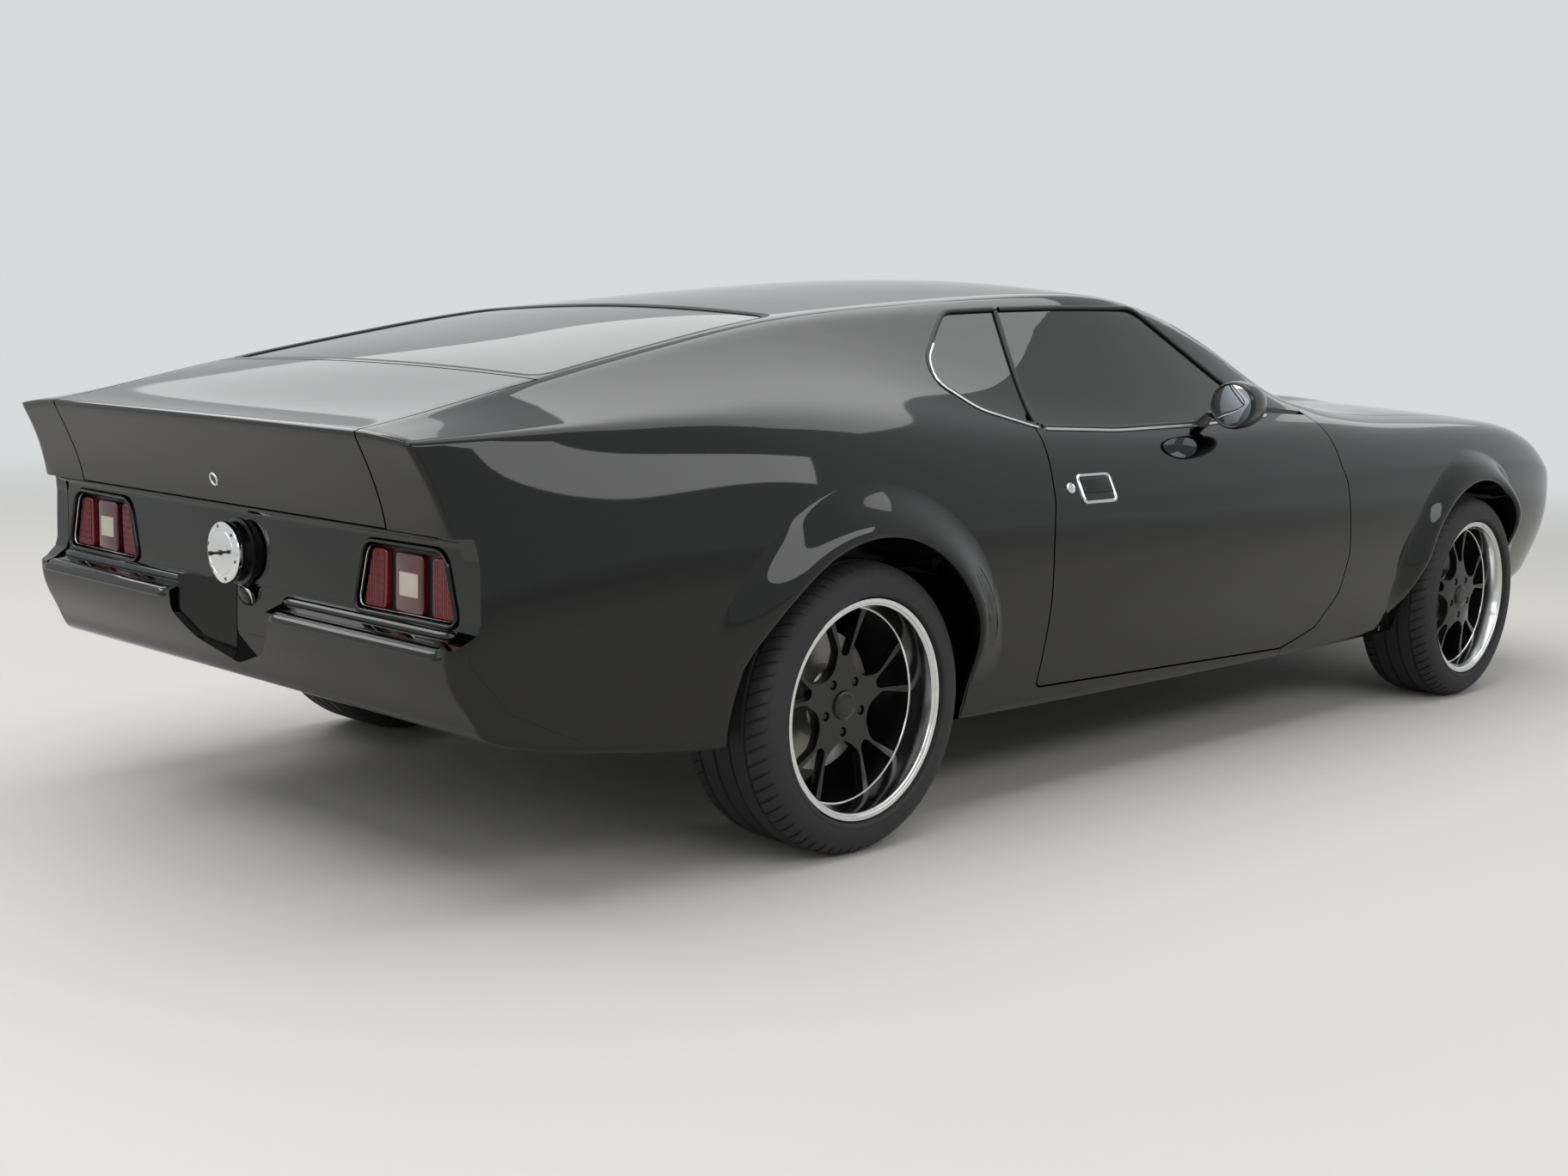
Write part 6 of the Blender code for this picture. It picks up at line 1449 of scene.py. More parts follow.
# %% Fuel cap and lock
CAP_AT = Vector((REAR_WALL_X, 0, 0.612))
SCREWS = 6
SCREW_CIRCLE = 0.0545
LOCK_Z = 0.762
neck = [(0, 0), (0.069, 0), (0.069, 0.003), (0.062, 0.005), (0.0605, 0.020), (0.058, 0.0215), (0.058, 0.026),
        (0, 0.026)]
cap_face = [
    (0, 0.0262), (0.0625, 0.0262), (0.0638, 0.0275), (0.0638, 0.0340), (0.0625, 0.0365), (0.0590, 0.0385),
    (0.0470, 0.0402), (0.0462, 0.0392), (0.0454, 0.0402), (0.0300, 0.0412), (0, 0.042),
]
pin = [
    (0, 0.040), (0.0055, 0.040), (0.0055, 0.0445), (0.0030, 0.0460), (0.0028, 0.058), (0.0045, 0.060),
    (0.0045, 0.067), (0, 0.069),
]
turned_piece("fuel_cap_neck", neck, CAP_AT, REARWARD, SATIN, steps=72)
turned_piece("fuel_cap_face", cap_face, CAP_AT, REARWARD, POLISHED, steps=96, slot="aluminium",
             replaces=["fuel_cap"], angle=28)
turned_piece("fuel_cap_pin", pin, CAP_AT, REARWARD, SATIN, steps=24)
screws = bmesh.new()
for k in range(SCREWS):
    angle = math.tau * (k + 0.25) / SCREWS
    place = CAP_AT + Vector((-0.0385, SCREW_CIRCLE * math.cos(angle), SCREW_CIRCLE * math.sin(angle)))
    turn = Matrix.Translation(place) @ Matrix.Rotation(math.pi / 2, 4, "Y")
    bmesh.ops.create_cone(screws, cap_ends=True, segments=16, radius1=0.0034, radius2=0.0034, depth=0.003,
                          matrix=turn)
piece("fuel_cap_screws", screws, STEEL)

ring = [
    (0.0, -0.004), (0.0068, -0.004), (0.0075, -0.002), (0.0095, -0.0005), (0.0100, 0.0015), (0.0115, 0.0028),
    (0.0138, 0.0022), (0.0150, 0.0002), (0.0150, -0.001),
]
barrel = [(0, -0.0035), (0.0066, -0.0035), (0.0066, -0.0018), (0, -0.0012)]
lock_at = seen("tail", 0.0, LOCK_Z)
turned_piece("boot_lock_ring", ring, *lock_at, STAINLESS, "deck_lid", angle=60)
turned_piece("boot_lock_barrel", barrel, *lock_at, STEEL, "deck_lid", 24)

# %% [markdown]
# Below the lamps the bumper is moulded into the body. A broad rolled lip runs
# along the top of each half, with a narrower bead in the trough behind it, and
# the two halves stop at the licence recess in the middle. The recess holds a
# round clear plate lamp in a bright ring, a bright peg and a folded ridge. A
# rolled flange closes the panel's edge above the lamps.

# %% Bumper lips and licence recess
def tapered(path, normals, section, ends=4):
    """A swept bead whose ends close in a rounded nose."""
    shape = swept(path, normals, section)
    shape.verts.ensure_lookup_table()
    size = len(section)
    count = len(path)
    for i, place in enumerate(path):
        from_end = min(i, count - 1 - i)
        scale = math.sqrt(max(0.02, 1 - (1 - min(from_end / ends, 1)) ** 2))
        for vertex in list(shape.verts)[i * size:(i + 1) * size]:
            vertex.co = place + (vertex.co - place) * scale
    return shape


LIP_Z = 0.509
LIP_FACES = Vector((-0.64, 0, 0.77))
LIP_SINK = Vector((0.008, 0, 0))
LIP_START, LIP_STEP = 0.198, 0.0078
TROUGH_START, TROUGH_END, TROUGH_Z = 0.185, 0.760, 0.536
FLANGE_HALF = 0.745
for side_name, sign in SIDES:
    path = [seen("tail", sign * (LIP_START + LIP_STEP * k), LIP_Z)[0] + LIP_SINK for k in range(76)]
    lip = tapered(path, [LIP_FACES] * len(path), oval(0.036, 0.017, 20))
    piece(f"bumper_lip_{side_name}", lip, PAINT, angle=80)
    trough = [TROUGH_START + (TROUGH_END - TROUGH_START) * k / 60 for k in range(61)]
    path = [Vector((REAR_WALL_X - 0.010, sign * y, TROUGH_Z)) for y in trough]
    bead = tapered(path, [LIP_FACES] * len(path), oval(0.024, 0.012, 12))
    piece(f"trough_bead_{side_name}", bead, PAINT, angle=80)

flange_path = []
for k in range(81):
    y = 2 * FLANGE_HALF * k / 80 - FLANGE_HALF
    place, _ = seen("tail", y, 0.7065)
    flange_path.append(Vector((max(place.x + 0.004, REAR_WALL_X - 0.030), y, 0.7095)))
flange = tapered(flange_path, [REARWARD] * len(flange_path), oval(0.010, 0.010, 12))
piece("panel_flange", flange, PAINT, angle=80)

RECESS_X = along(LICENCE_DEPTH_SHARE)
lamp_body = [(0, 0.0), (0.026, 0.0), (0.0268, 0.003), (0.0255, 0.007), (0.0240, 0.008), (0.0236, 0.004)]
lamp_glass = [(0.0235, 0.003), (0.0232, 0.008), (0.0195, 0.0125), (0.0110, 0.0155), (0, 0.0165)]
bowl_disc = [(0, 0.0030), (0.0230, 0.0030), (0.0230, 0.0038), (0, 0.0038)]
lamp_at = (RECESS_X - 0.004, 0.0, 0.522), Vector((-0.92, 0, -0.38)).normalized()
turned_piece("plate_lamp_ring", lamp_body, *lamp_at, STAINLESS, steps=40, angle=50)
turned_piece("plate_lamp_glass", lamp_glass, *lamp_at, CLEAR, steps=40, angle=60)
turned_piece("plate_lamp_bowl", bowl_disc, *lamp_at, PLASTIC, steps=40, slot="chrome")
peg = [
    (0, 0), (0.008, 0), (0.008, 0.004), (0.0055, 0.007), (0.0055, 0.019), (0.0075, 0.022), (0.0075, 0.030),
    (0.005, 0.033), (0, 0.034),
]
turned_piece("recess_peg", peg, (RECESS_X - 0.002, -0.135, 0.502), (-0.9, 0, -0.4), STAINLESS, steps=24, angle=50)
fold = [(0.002, 0.050), (-0.001, 0.050), (-0.058, 0.189), (0.002, 0.189)]
ridge = slab([(RECESS_X + ahead, y) for ahead, y in fold], "z", 0.380, 0.5475)
recess = grown(rounded(licence, EDGE_ROUND), 0.001)
boolean(ridge, slab(recess, "x", RECESS_X - 0.07, RECESS_X + 0.01), "INTERSECT")
dress(ridge, PAINT, name="recess_ridge", smooth=False)
bracket = block((RECESS_X - 0.016, -0.075, 0.545), (RECESS_X - 0.001, 0.060, 0.556))
dress(softened(bracket, 0.002), SATIN, name="recess_bracket")
print("recess depth x", round(RECESS_X, 3))

# %% [markdown]
# The doors' small parts. The mirror is a bullet-shaped housing with a round
# convex glass, on a pedestal that spreads where it meets the door. The handle
# is a flush paddle in a bright frame, over a dark finger pocket, with the
# round key lock on the side towards the tail.

# %% Mirrors
MIRROR_GLASS = finish("silvered convex mirror", "chrome", 40.0, 0.02, 0.02, (0.01, 0.03), ("#AEB4B8", "#B6BCC0"),
                      metallic=1.0)
mirror_low, mirror_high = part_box("mirror_right")
MIRROR_AT = Vector((mirror_low.x + 0.004, -0.905, (mirror_low.z + mirror_high.z) / 2))
MIRROR_WAY = Vector((1, 0.10, 0.02)).normalized()
head = [
    (0.0520, 0.005), (0.0550, 0.000), (0.0585, 0.0015), (0.0605, 0.006), (0.0615, 0.018), (0.0615, 0.045),
    (0.0595, 0.066), (0.0545, 0.090), (0.0450, 0.114), (0.0310, 0.134), (0.0150, 0.146), (0, 0.150),
]
mirror_rim = [(0.0532, 0.0045), (0.0532, 0.0010), (0.0560, -0.0012), (0.0580, 0.0012)]
glass_face = [(0.0530, 0.0040), (0.0400, 0.0022), (0.0200, 0.0010), (0, 0.0006)]


def arm_of(at):
    """The pedestal from the door's top to the underside of the housing."""
    foot, foot_normal = seen("side", at.x + 0.010, 0.866)
    points = [
        foot - foot_normal * 0.006, foot + Vector((0.004, -0.006, 0.012)), foot + Vector((0.010, -0.020, 0.030)),
        at + Vector((0.040, 0.018, -0.046)), at + Vector((0.048, 0.008, -0.030)),
    ]
    path = resampled(points, 0.006, closed=False)
    section = oval(0.017, 0.052, 20)
    shape = swept(path, [Vector((1, 0, 0))] * len(path), section)
    shape.verts.ensure_lookup_table()
    for i, place in enumerate(path):
        t = i / (len(path) - 1)
        scale = 1.55 - 0.65 * ease(t / 0.35) + 0.25 * ease((t - 0.75) / 0.25)
        for vertex in shape.verts[i * len(section):(i + 1) * len(section)]:
            vertex.co = place + (vertex.co - place) * scale
    return shape


def door_pieces(table):
    """Pieces of both doors from rows of (name, right shape, finish, replaced nodes)."""
    for name, shape, material, stands_for in table:
        pair(name, object_of(name, shape), material, "door", stands_for, angle=50)


mirror_at = MIRROR_AT, MIRROR_WAY, 64
door_pieces((
    ("mirror_housing", turned_on(head, *mirror_at), PAINT, ["mirror"]),
    ("mirror_rim", turned_on(mirror_rim, *mirror_at), SATIN, ()),
    ("mirror_glass", turned_on(glass_face, *mirror_at), MIRROR_GLASS, ()),
    ("mirror_pedestal", arm_of(MIRROR_AT), PAINT, ()),
))

# %% Door handles
handle_low, handle_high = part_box("door_handle_right")


def laid_plate(outline, view, proud, corner, edge, sink=0.006):
    """A plate that follows the skin, its outline drawn in the side view or from the nose."""
    axis, out = {"side": ("y", -1), "nose": ("x", 1)}[view]
    number = "xyz".index(axis)
    shape = plate(outline, axis, -out * sink, out * proud, corner, edge)
    for vertex in shape.verts:
        drawn = [value for i, value in enumerate(vertex.co) if i != number]
        place, normal = seen(view, *drawn)
        vertex.co = place + normal * (out * vertex.co[number])
    return shape


def frame_ring(corners, band, proud):
    """A bright ring just inside a rectangle, rounded across its band."""
    middle = rounded(grown(corners, -band / 2), 0.010, 6)
    return swept(*laid(middle, "side", 0.0, 0.006), oval(band, proud * 2, 12), True)


x0, x1 = handle_low.x + 0.001, handle_high.x - 0.001
z0, z1 = handle_low.z + 0.001, handle_high.z - 0.001
pocket_outline = box_outline((x0 + 0.008, z0 + 0.008), (x1 - 0.008, z1 - 0.008))
paddle_outline = box_outline((x0 + 0.012, z0 + 0.025), (x1 - 0.012, z1 - 0.011))
lock_at = seen("side", x0 - 0.034, (z0 + z1) / 2 + 0.004)
lock_profile = [
    (0, 0.0035), (0.0045, 0.0035), (0.0090, 0.0030), (0.0095, 0.0045), (0.0120, 0.0050), (0.0132, 0.0035),
    (0.0136, -0.001),
]
door_pieces((
    ("handle_frame", frame_ring(box_outline((x0, z0), (x1, z1)), 0.0095, 0.0055), STAINLESS, ["door_handle"]),
    ("handle_pocket", laid_plate(pocket_outline, "side", 0.0008, 0.006, 0.0004), PLASTIC, ()),
    ("handle_paddle", laid_plate(paddle_outline, "side", 0.0062, 0.005, 0.0020), PAINT, ()),
    ("door_lock", turned_on(lock_profile, *lock_at, 40), STAINLESS, ()),
))
print("handle at z", round(z0, 3), round(z1, 3))

# %% [markdown]
# Two wipers park along the foot of the windscreen: an arm from a round
# spindle cover, and a thin blade in a bowed carrier.

# %% Wipers
FOOT_SHARES = {"middle": 0.758, "corner": 0.694}
FOOT_HALF = 0.66
cover = [(0, 0.010), (0.008, 0.009), (0.013, 0.005), (0.015, -0.004), (0.015, -0.024)]


def on_screen(x, y, lift):
    place, normal = seen("top", x, y)
    return place + normal * lift, normal


for name, foot_y, tip_y in (("right", -0.10, -0.58), ("left", 0.50, 0.02)):
    arm, blade = [], []
    for k in range(13):
        t = k / 12
        y = foot_y + (tip_y - foot_y) * t
        middle_x, corner_x = map(along, FOOT_SHARES.values())
        edge_x = middle_x - (middle_x - corner_x) * min(1, (abs(y) / FOOT_HALF) ** 2)
        arm.append(on_screen(edge_x - 0.040 - 0.030 * math.sin(math.pi * t), y, 0.017 - 0.006 * t))
        blade.append(on_screen(edge_x - 0.070, y, 0.008))
    arm = arm[:8]
    piece(f"wiper_arm_{name}", tapered(*zip(*arm), oval(0.011, 0.006, 10), 1), SATIN, angle=60)
    piece(f"wiper_blade_{name}", tapered(*zip(*blade), oval(0.008, 0.012, 8), 2), SEAL, angle=60)
    place, normal = arm[0]
    turned_piece(f"wiper_spindle_{name}", cover, place - normal * 0.010, normal, SATIN, steps=24, angle=60)
print("wipers parked")

# %% [markdown]
# The nose is out of the photograph's sight, so it follows the type. A wide
# grille of thin bars sits between two round lamps, each a silvered bowl
# behind a domed glass with a bright bezel. A body-coloured bumper bar runs
# below them, with an amber lamp at each end and a chin lip underneath.

# %% Grille
GRILLE_HALF = [(across(b), height(c)) for b, c in ((0.50, 0.395), (0.58, 0.430), (0.58, 0.530), (0.56, 0.560))]
GRILLE = GRILLE_HALF + [(-y, z) for y, z in reversed(GRILLE_HALF)]
GRILLE_BACK = along(1.880)
GRILLE_FRONT = GRILLE_BACK + 0.058
NOSE_LIMIT = 2.60
fascia = panels["front_fascia"]


def grille_slab(distance, low, high):
    return slab(grown(GRILLE, distance), "x", low, high)


def lined(name, hole, liner, smooth=True):
    """Cuts a hole through the nose, and lines it with a ring that ends flush with the outer surface."""
    cut(fascia, hole)
    boolean(liner, solid, "INTERSECT", keep=True)
    dress(liner, PAINT, name=name, smooth=smooth)


liner = cut(grille_slab(0.005, GRILLE_BACK - 0.004, NOSE_LIMIT), grille_slab(0.0005, 2.0, 2.8))
lined("grille_liner", grille_slab(0.003, GRILLE_BACK - 0.010, NOSE_LIMIT), liner, smooth=False)
rim = slab(GRILLE, "x", GRILLE_BACK + 0.004, GRILLE_FRONT)
cut(rim, grille_slab(-0.009, GRILLE_BACK - 0.1, GRILLE_FRONT + 0.1))
dress(softened(rim, 0.0022), SATIN, name="grille_frame", replaces=["grille"])


def bars(name, count, vertical, thick, low_x, high_x):
    """Even bars across or down the grille, cut to its outline."""
    shape = bmesh.new()
    y_half, z_low, z_high = GRILLE_HALF[1][0], GRILLE_HALF[0][1], GRILLE_HALF[3][1]
    middle_x, deep = (low_x + high_x) / 2, high_x - low_x
    for k in range(1, count):
        if vertical:
            place = (middle_x, -y_half + 2 * y_half * k / count, (z_low + z_high) / 2)
            size = (deep, thick, z_high - z_low, 1)
        else:
            place = (middle_x, 0, z_low + (z_high - z_low) * k / count)
            size = (deep, 2 * y_half, thick, 1)
        bmesh.ops.create_cube(shape, size=1, matrix=Matrix.Translation(place) @ Matrix.Diagonal(size))
    made = loose(name, shape)
    boolean(made, grille_slab(-0.006, GRILLE_BACK - 0.1, GRILLE_FRONT + 0.1), "INTERSECT")
    dress(softened(made, 0.0008, 1), SATIN)


bars("grille_bars", 11, False, 0.0042, GRILLE_BACK + 0.018, GRILLE_FRONT - 0.008)
bars("grille_ribs", 34, True, 0.0030, GRILLE_BACK + 0.012, GRILLE_FRONT - 0.020)
dress(grille_slab(-0.004, GRILLE_BACK - 0.004, GRILLE_BACK + 0.002), PLASTIC, name="grille_backing", smooth=False)

# %% Headlamps
FORWARD = (1, 0, 0)
headlamp_low, headlamp_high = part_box("headlamp_right")
LAMP_AT = Vector((headlamp_high.x, (headlamp_low.y + headlamp_high.y) / 2, (headlamp_low.z + headlamp_high.z) / 2))
HOLE_SECTION = [(0, 0), (0.0885, 0), (0.0885, 0.30), (0, 0.30)]
LINER_SECTION = [(0.0858, 0), (0.0905, 0), (0.0905, 0.25), (0.0858, 0.25), (0.0858, 0)]
for side_name, sign in reversed(SIDES):
    at = Vector((LAMP_AT.x - 0.034, sign * abs(LAMP_AT.y), LAMP_AT.z))
    hole = loose("lamp hole", turned_on(HOLE_SECTION, at, FORWARD, 72))
    liner = loose("lamp liner", turned_on(LINER_SECTION, at, FORWARD, 72))
    lined(f"headlamp_liner_{side_name}", hole, liner)
shine(fascia)
bezel = [
    (0.0835, -0.030), (0.0835, 0.000), (0.0850, 0.004), (0.0835, 0.008), (0.0790, 0.009), (0.0765, 0.006),
    (0.0750, 0.001), (0.0745, -0.012),
]
bowl = [(0, -0.048), (0.020, -0.046), (0.042, -0.037), (0.060, -0.023), (0.0745, -0.004)]
dome = [(0.0750, -0.006), (0.0748, 0.000), (0.0700, 0.0045), (0.0500, 0.0105), (0.0260, 0.0140), (0, 0.0150)]
shield = [(0, -0.012), (0.010, -0.013), (0.012, -0.017), (0.012, -0.042)]
for name, profile, material, stands_for in (
    ("bezel", bezel, POLISHED, ["headlamp"]), ("bowl", bowl, BOWL, ()), ("glass", dome, CLEAR, ()),
    ("shield", shield, STEEL, ()),
):
    shape = turned_on(profile, LAMP_AT, FORWARD, 72)
    pair("headlamp_" + name, object_of(name, shape), material, replaces=stands_for, angle=40)

# %% Front bumper, chin and amber lamps
def nose_line(z, half, drop, count=49):
    """Points on the nose at one height, from side to side, sunk by drop."""
    found = [seen("nose", -half + 2 * half * k / (count - 1), z) for k in range(count)]
    return [place - normal * drop for place, normal in found], [normal for _, normal in found]


bumper = tapered(*nose_line(0.452, 0.795, 0.004), oval(0.044, 0.024, 20), 2)
piece("front_bumper_bar", bumper, PAINT, angle=50)
chin = tapered(*nose_line(0.345, 0.760, 0.003), oval(0.030, 0.016, 16), 2)
piece("chin_lip", chin, SATIN, angle=50)
AMBER_OUTLINE = box_outline((-0.715, 0.378), (-0.595, 0.420))
for name, outline, proud, material in (
    ("indicator_body", grown(AMBER_OUTLINE, 0.005), 0.0030, PLASTIC),
    ("indicator_lens", AMBER_OUTLINE, 0.0075, AMBER),
):
    shape = laid_plate(outline, "nose", proud, 0.012, 0.0015)
    pair(name, object_of(name, shape), material, angle=50)
print("grille from x", round(GRILLE_BACK, 3), "to", round(GRILLE_FRONT, 3))

# %% [markdown]
# The hood carries a low raised panel down its middle, with a soft shoulder at
# each side.

# %% Hood bulge
hood_low, hood_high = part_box("hood")
BULGE_X = (hood_low.x + 0.060, hood_high.x - 0.230)
BULGE_HALF = (0.345, 0.285)
BULGE_RISE = 0.015


def bulge_at(u, v):
    x = BULGE_X[0] + (BULGE_X[1] - BULGE_X[0]) * u
    half = BULGE_HALF[0] + (BULGE_HALF[1] - BULGE_HALF[0]) * u
    share = 2 * v - 1
    place, normal = seen("top", x, half * share)
    rise = ease((1 - abs(share)) / 0.26) * ease(u / 0.06) * ease((1 - u) / 0.60)
    return place + normal * (BULGE_RISE * rise - 0.0008)


piece("hood_bulge", sheet_of(60, 72, bulge_at), PAINT, "hood", angle=60)
print("hood bulge from x", round(BULGE_X[0], 3), "to", round(BULGE_X[1], 3))

# %% [markdown]
# Under the hood the engine gains what shows from above: a finned cover on
# each bank and a round air cleaner between them.

# %% Engine dressing
engine_low, engine_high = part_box("engine")
TOP_AT = Vector(((engine_low.x + engine_high.x) / 2, 0, engine_high.z))
COVER_Y, COVER_HALF, COVER_LENGTH = 0.205, 0.058, 0.54
FINS, FIN_PITCH, FIN_SIZE = 6, 0.012, (0.46, 0.0045, 0.008, 1)
cleaner = [
    (0, 0.0), (0.090, 0.0), (0.100, 0.012), (0.162, 0.014), (0.168, 0.018), (0.168, 0.050), (0.164, 0.056),
    (0.150, 0.059), (0.020, 0.063), (0.014, 0.063), (0.014, 0.070), (0, 0.072),
]
turned_piece("air_cleaner", cleaner, TOP_AT, (0, 0, 1), POLISHED, steps=72, angle=40)
for side_name, sign in reversed(SIDES):
    middle = TOP_AT + Vector((0, sign * COVER_Y, 0))
    low = middle - Vector((COVER_LENGTH / 2, COVER_HALF, 0.010))
    high = middle + Vector((COVER_LENGTH / 2, COVER_HALF, 0.042))
    dress(softened(block(low, high), 0.014, 4, 30), SATIN, name=f"valve_cover_{side_name}")
    fins = bmesh.new()
    for k in range(FINS):
        at = Matrix.Translation(middle + Vector((0, (k - (FINS - 1) / 2) * FIN_PITCH, 0.043)))
        bmesh.ops.create_cube(fins, size=1, matrix=at @ Matrix.Diagonal(FIN_SIZE))
    piece(f"valve_cover_fins_{side_name}", fins, POLISHED, slot="aluminium", smooth=False)
print("engine top at z", round(TOP_AT.z, 3))

# %% [markdown]
# Inside, each seat is two padded forms covered in black vinyl. A rounded block
# is filled by Blender's cloth with a little pressure, how far it may swell is
# capped, and the sewn channels and the piping come after, on the filled shape.

# %% Padding
CHANNEL_HALF = 0.0065
CHANNEL_DEPTH = 0.008


def rounded_block(half, turn=0.45, crown=0.10, pull=0.035, bolster=0.0):
    """A closed pad: rounded corners, a crowned face, sides that pull in, and raised side bolsters."""
    shape = bmesh.new()
    bmesh.ops.create_cube(shape, size=2)
    bmesh.ops.subdivide_edges(shape, edges=shape.edges[:], cuts=15, use_grid_fill=True)
    for vertex in shape.verts:
        a, b, c = vertex.co
        ball = Vector((
            a * math.sqrt(max(0, 1 - b * b / 2 - c * c / 2 + b * b * c * c / 3)),
            b * math.sqrt(max(0, 1 - a * a / 2 - c * c / 2 + a * a * c * c / 3)),
            c * math.sqrt(max(0, 1 - a * a / 2 - b * b / 2 + a * a * b * b / 3)),
        ))
        at = Vector((a, b, c)).lerp(ball, turn * (0.35 if abs(c) < 1 else 1))
        at.x *= 1 - pull * (1 - b * b)
        at.y *= 1 - pull * (1 - a * a)
        if c > 0:
            at.z += c * (crown * (1 - a * a) * (1 - b * b) + bolster * ease((abs(b) - 0.55) / 0.25) * (1 - a ** 4))
        vertex.co = Vector((at.x * half[0], at.y * half[1], at.z * half[2]))
    return shape


def stuffed(item, cap=0.010):
    """Cloth with pressure, applied, with no point moved further than the cap."""
    remesh = item.modifiers.new("remesh", "REMESH")
    remesh.mode = "VOXEL"
    remesh.voxel_size = 0.010
    applied(item)
    rest = [v.co.copy() for v in item.data.vertices]
    cloth = item.modifiers.new("cloth", "CLOTH")
    cloth.settings.use_pressure = True
    cloth.settings.uniform_pressure_force = 4
    cloth.settings.effector_weights.gravity = 0
    for frame_number in range(1, 21):
        scene.frame_set(frame_number)
    swollen = item.evaluated_get(bpy.context.evaluated_depsgraph_get())
    moved = [v.co.copy() for v in swollen.data.vertices]
    item.modifiers.clear()
    scene.frame_set(1)
    for vertex, was, now in zip(item.data.vertices, rest, moved):
        step = now - was
        vertex.co = was + step * min(1, cap / max(step.length, 1e-9))
    return item


def framed(centre, directions):
    """The matrix that sets a shape at a place, with its x, y and z along three directions."""
    return Matrix.Translation(centre) @ Matrix([(*row,) for row in zip(*directions)]).to_4x4()


def pad(name, centre, lie, half, lines, stands_for=(), fill=0.75, **form):
    """One padded piece: lie gives its x, y and z directions, lines its sewn channels as (direction, place) shares."""
    item = stuffed(loose(name, rounded_block(half, **form)))
    smoother = item.modifiers.new("smooth", "SUBSURF")
    smoother.levels = smoother.render_levels = 1
    applied(item)
    normals = [v.normal.copy() for v in item.data.vertices]
    for vertex, normal in zip(item.data.vertices, normals):
        if normal.z < 0.3:
            continue
        sunk = 0
        for direction, share in lines:
            away = vertex.co[direction] - share * half[direction]
            inside = ease((0.80 - abs(vertex.co[1 - direction]) / half[1 - direction]) / 0.06)
            sunk = max(sunk, inside * math.exp(-(away / CHANNEL_HALF) ** 2))
        vertex.co -= normal * CHANNEL_DEPTH * sunk
    far = Vector(half[:2]) * 0.93
    path, normals = [], []
    for x, y in rounded(box_outline(-far, far), min(half[:2]) * 0.30, 6):
        _, place, normal, _ = item.closest_point_on_mesh(Vector((x * 1.05, y * 1.05, half[2] * 0.62)))
        path.append(place)
        normals.append(normal)
    piping = loose(name + "_piping", swept(path, normals, oval(0.0075, 0.0075, 8), True))
    for made, replaced in ((item, stands_for), (piping, ())):
        made.data.transform(framed(centre, lie))
        dress(made, VINYL, replaces=replaced, angle=60)


FLAT = (Vector((1, 0, 0)), Vector((0, 1, 0)), Vector((0, 0, 1)))


def leaning(foot, head):
    """Directions of a backrest whose middle line runs from foot to head, in (x, z)."""
    up = Vector((head[0] - foot[0], 0, head[1] - foot[1])).normalized()
    return (up, Vector((0, -1, 0)), up.cross(Vector((0, -1, 0))))


# %% Seats
FRONT_FOOT, FRONT_HEAD = (-0.335, 0.405), (-0.556, 0.915)
PLEATS = [(0, share) for share in (-0.66, -0.40, -0.14, 0.12, 0.38, 0.62)] + [(1, -0.60), (1, 0.60)]
BENCH_LINES = [(0, -0.35), (0, 0.25), (1, -0.52), (1, -0.04), (1, 0.04), (1, 0.52)]


def middle_of(foot, head, y=0.0):
    return Vector(((foot[0] + head[0]) / 2, y, (foot[1] + head[1]) / 2))


for side_name, _ in reversed(SIDES):
    low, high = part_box(f"seat_{side_name}")
    y = (low.y + high.y) / 2
    pad(f"seat_cushion_{side_name}", (-0.082, y, 0.366), FLAT, (0.218, 0.226, 0.050), PLEATS,
        [f"seat_{side_name}"], bolster=0.30)
    pad(f"seat_back_{side_name}", middle_of(FRONT_FOOT, FRONT_HEAD, y), leaning(FRONT_FOOT, FRONT_HEAD),
        (0.272, 0.222, 0.042), PLEATS, bolster=0.30)
    base = block((-0.26, y - 0.19, low.z + 0.001), (0.09, y + 0.19, low.z + 0.034))
    dress(softened(base, 0.008), PLASTIC, name=f"seat_base_{side_name}")
low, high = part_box("rear_seat")
bench_half, depth = (high.y - low.y) / 2 - 0.008, high.x - low.x
pad("rear_cushion", (high.x - depth * 0.38, 0, low.z + 0.080), FLAT, (depth * 0.36, bench_half, 0.060),
    BENCH_LINES, ["rear_seat"])
foot, head = (low.x + depth * 0.30, low.z + 0.10), (low.x + depth * 0.12, high.z - 0.03)
tall = (Vector(head) - Vector(foot)).length
pad("rear_back", middle_of(foot, head), leaning(foot, head), (tall / 2, bench_half, 0.045), BENCH_LINES)
print("rear seat", round(depth, 3), "deep, its back", round(tall, 3), "tall")

# %% [markdown]
# The dashboard keeps its CAD solid and gains four round gauges. The steering
# wheel is a padded rim on three drilled spokes. Each door has a trimmed inner
# panel with an armrest, and fills the space between skin and cabin.

# %% Gauges and steering wheel
dash = frame["nodes"]["dashboard"]
GAUGES = ((-0.060, 0.044, 0.785), (0.060, 0.044, 0.785), (-0.150, 0.028, 0.775), (0.150, 0.028, 0.775))
gauge_ring = [(1.00, -0.010), (1.00, 0.004), (0.96, 0.007), (0.90, 0.006), (0.86, 0.001)]
wheel_low_at, wheel_high_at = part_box("steering_wheel")
WHEEL_AT = (wheel_low_at + wheel_high_at) / 2
WHEEL_WAY = Vector((-0.927, 0, 0.375)).normalized()


def bar(shape, frame_matrix, *size):
    bmesh.ops.create_cube(shape, size=1, matrix=frame_matrix @ Matrix.Diagonal((*size, 1)))


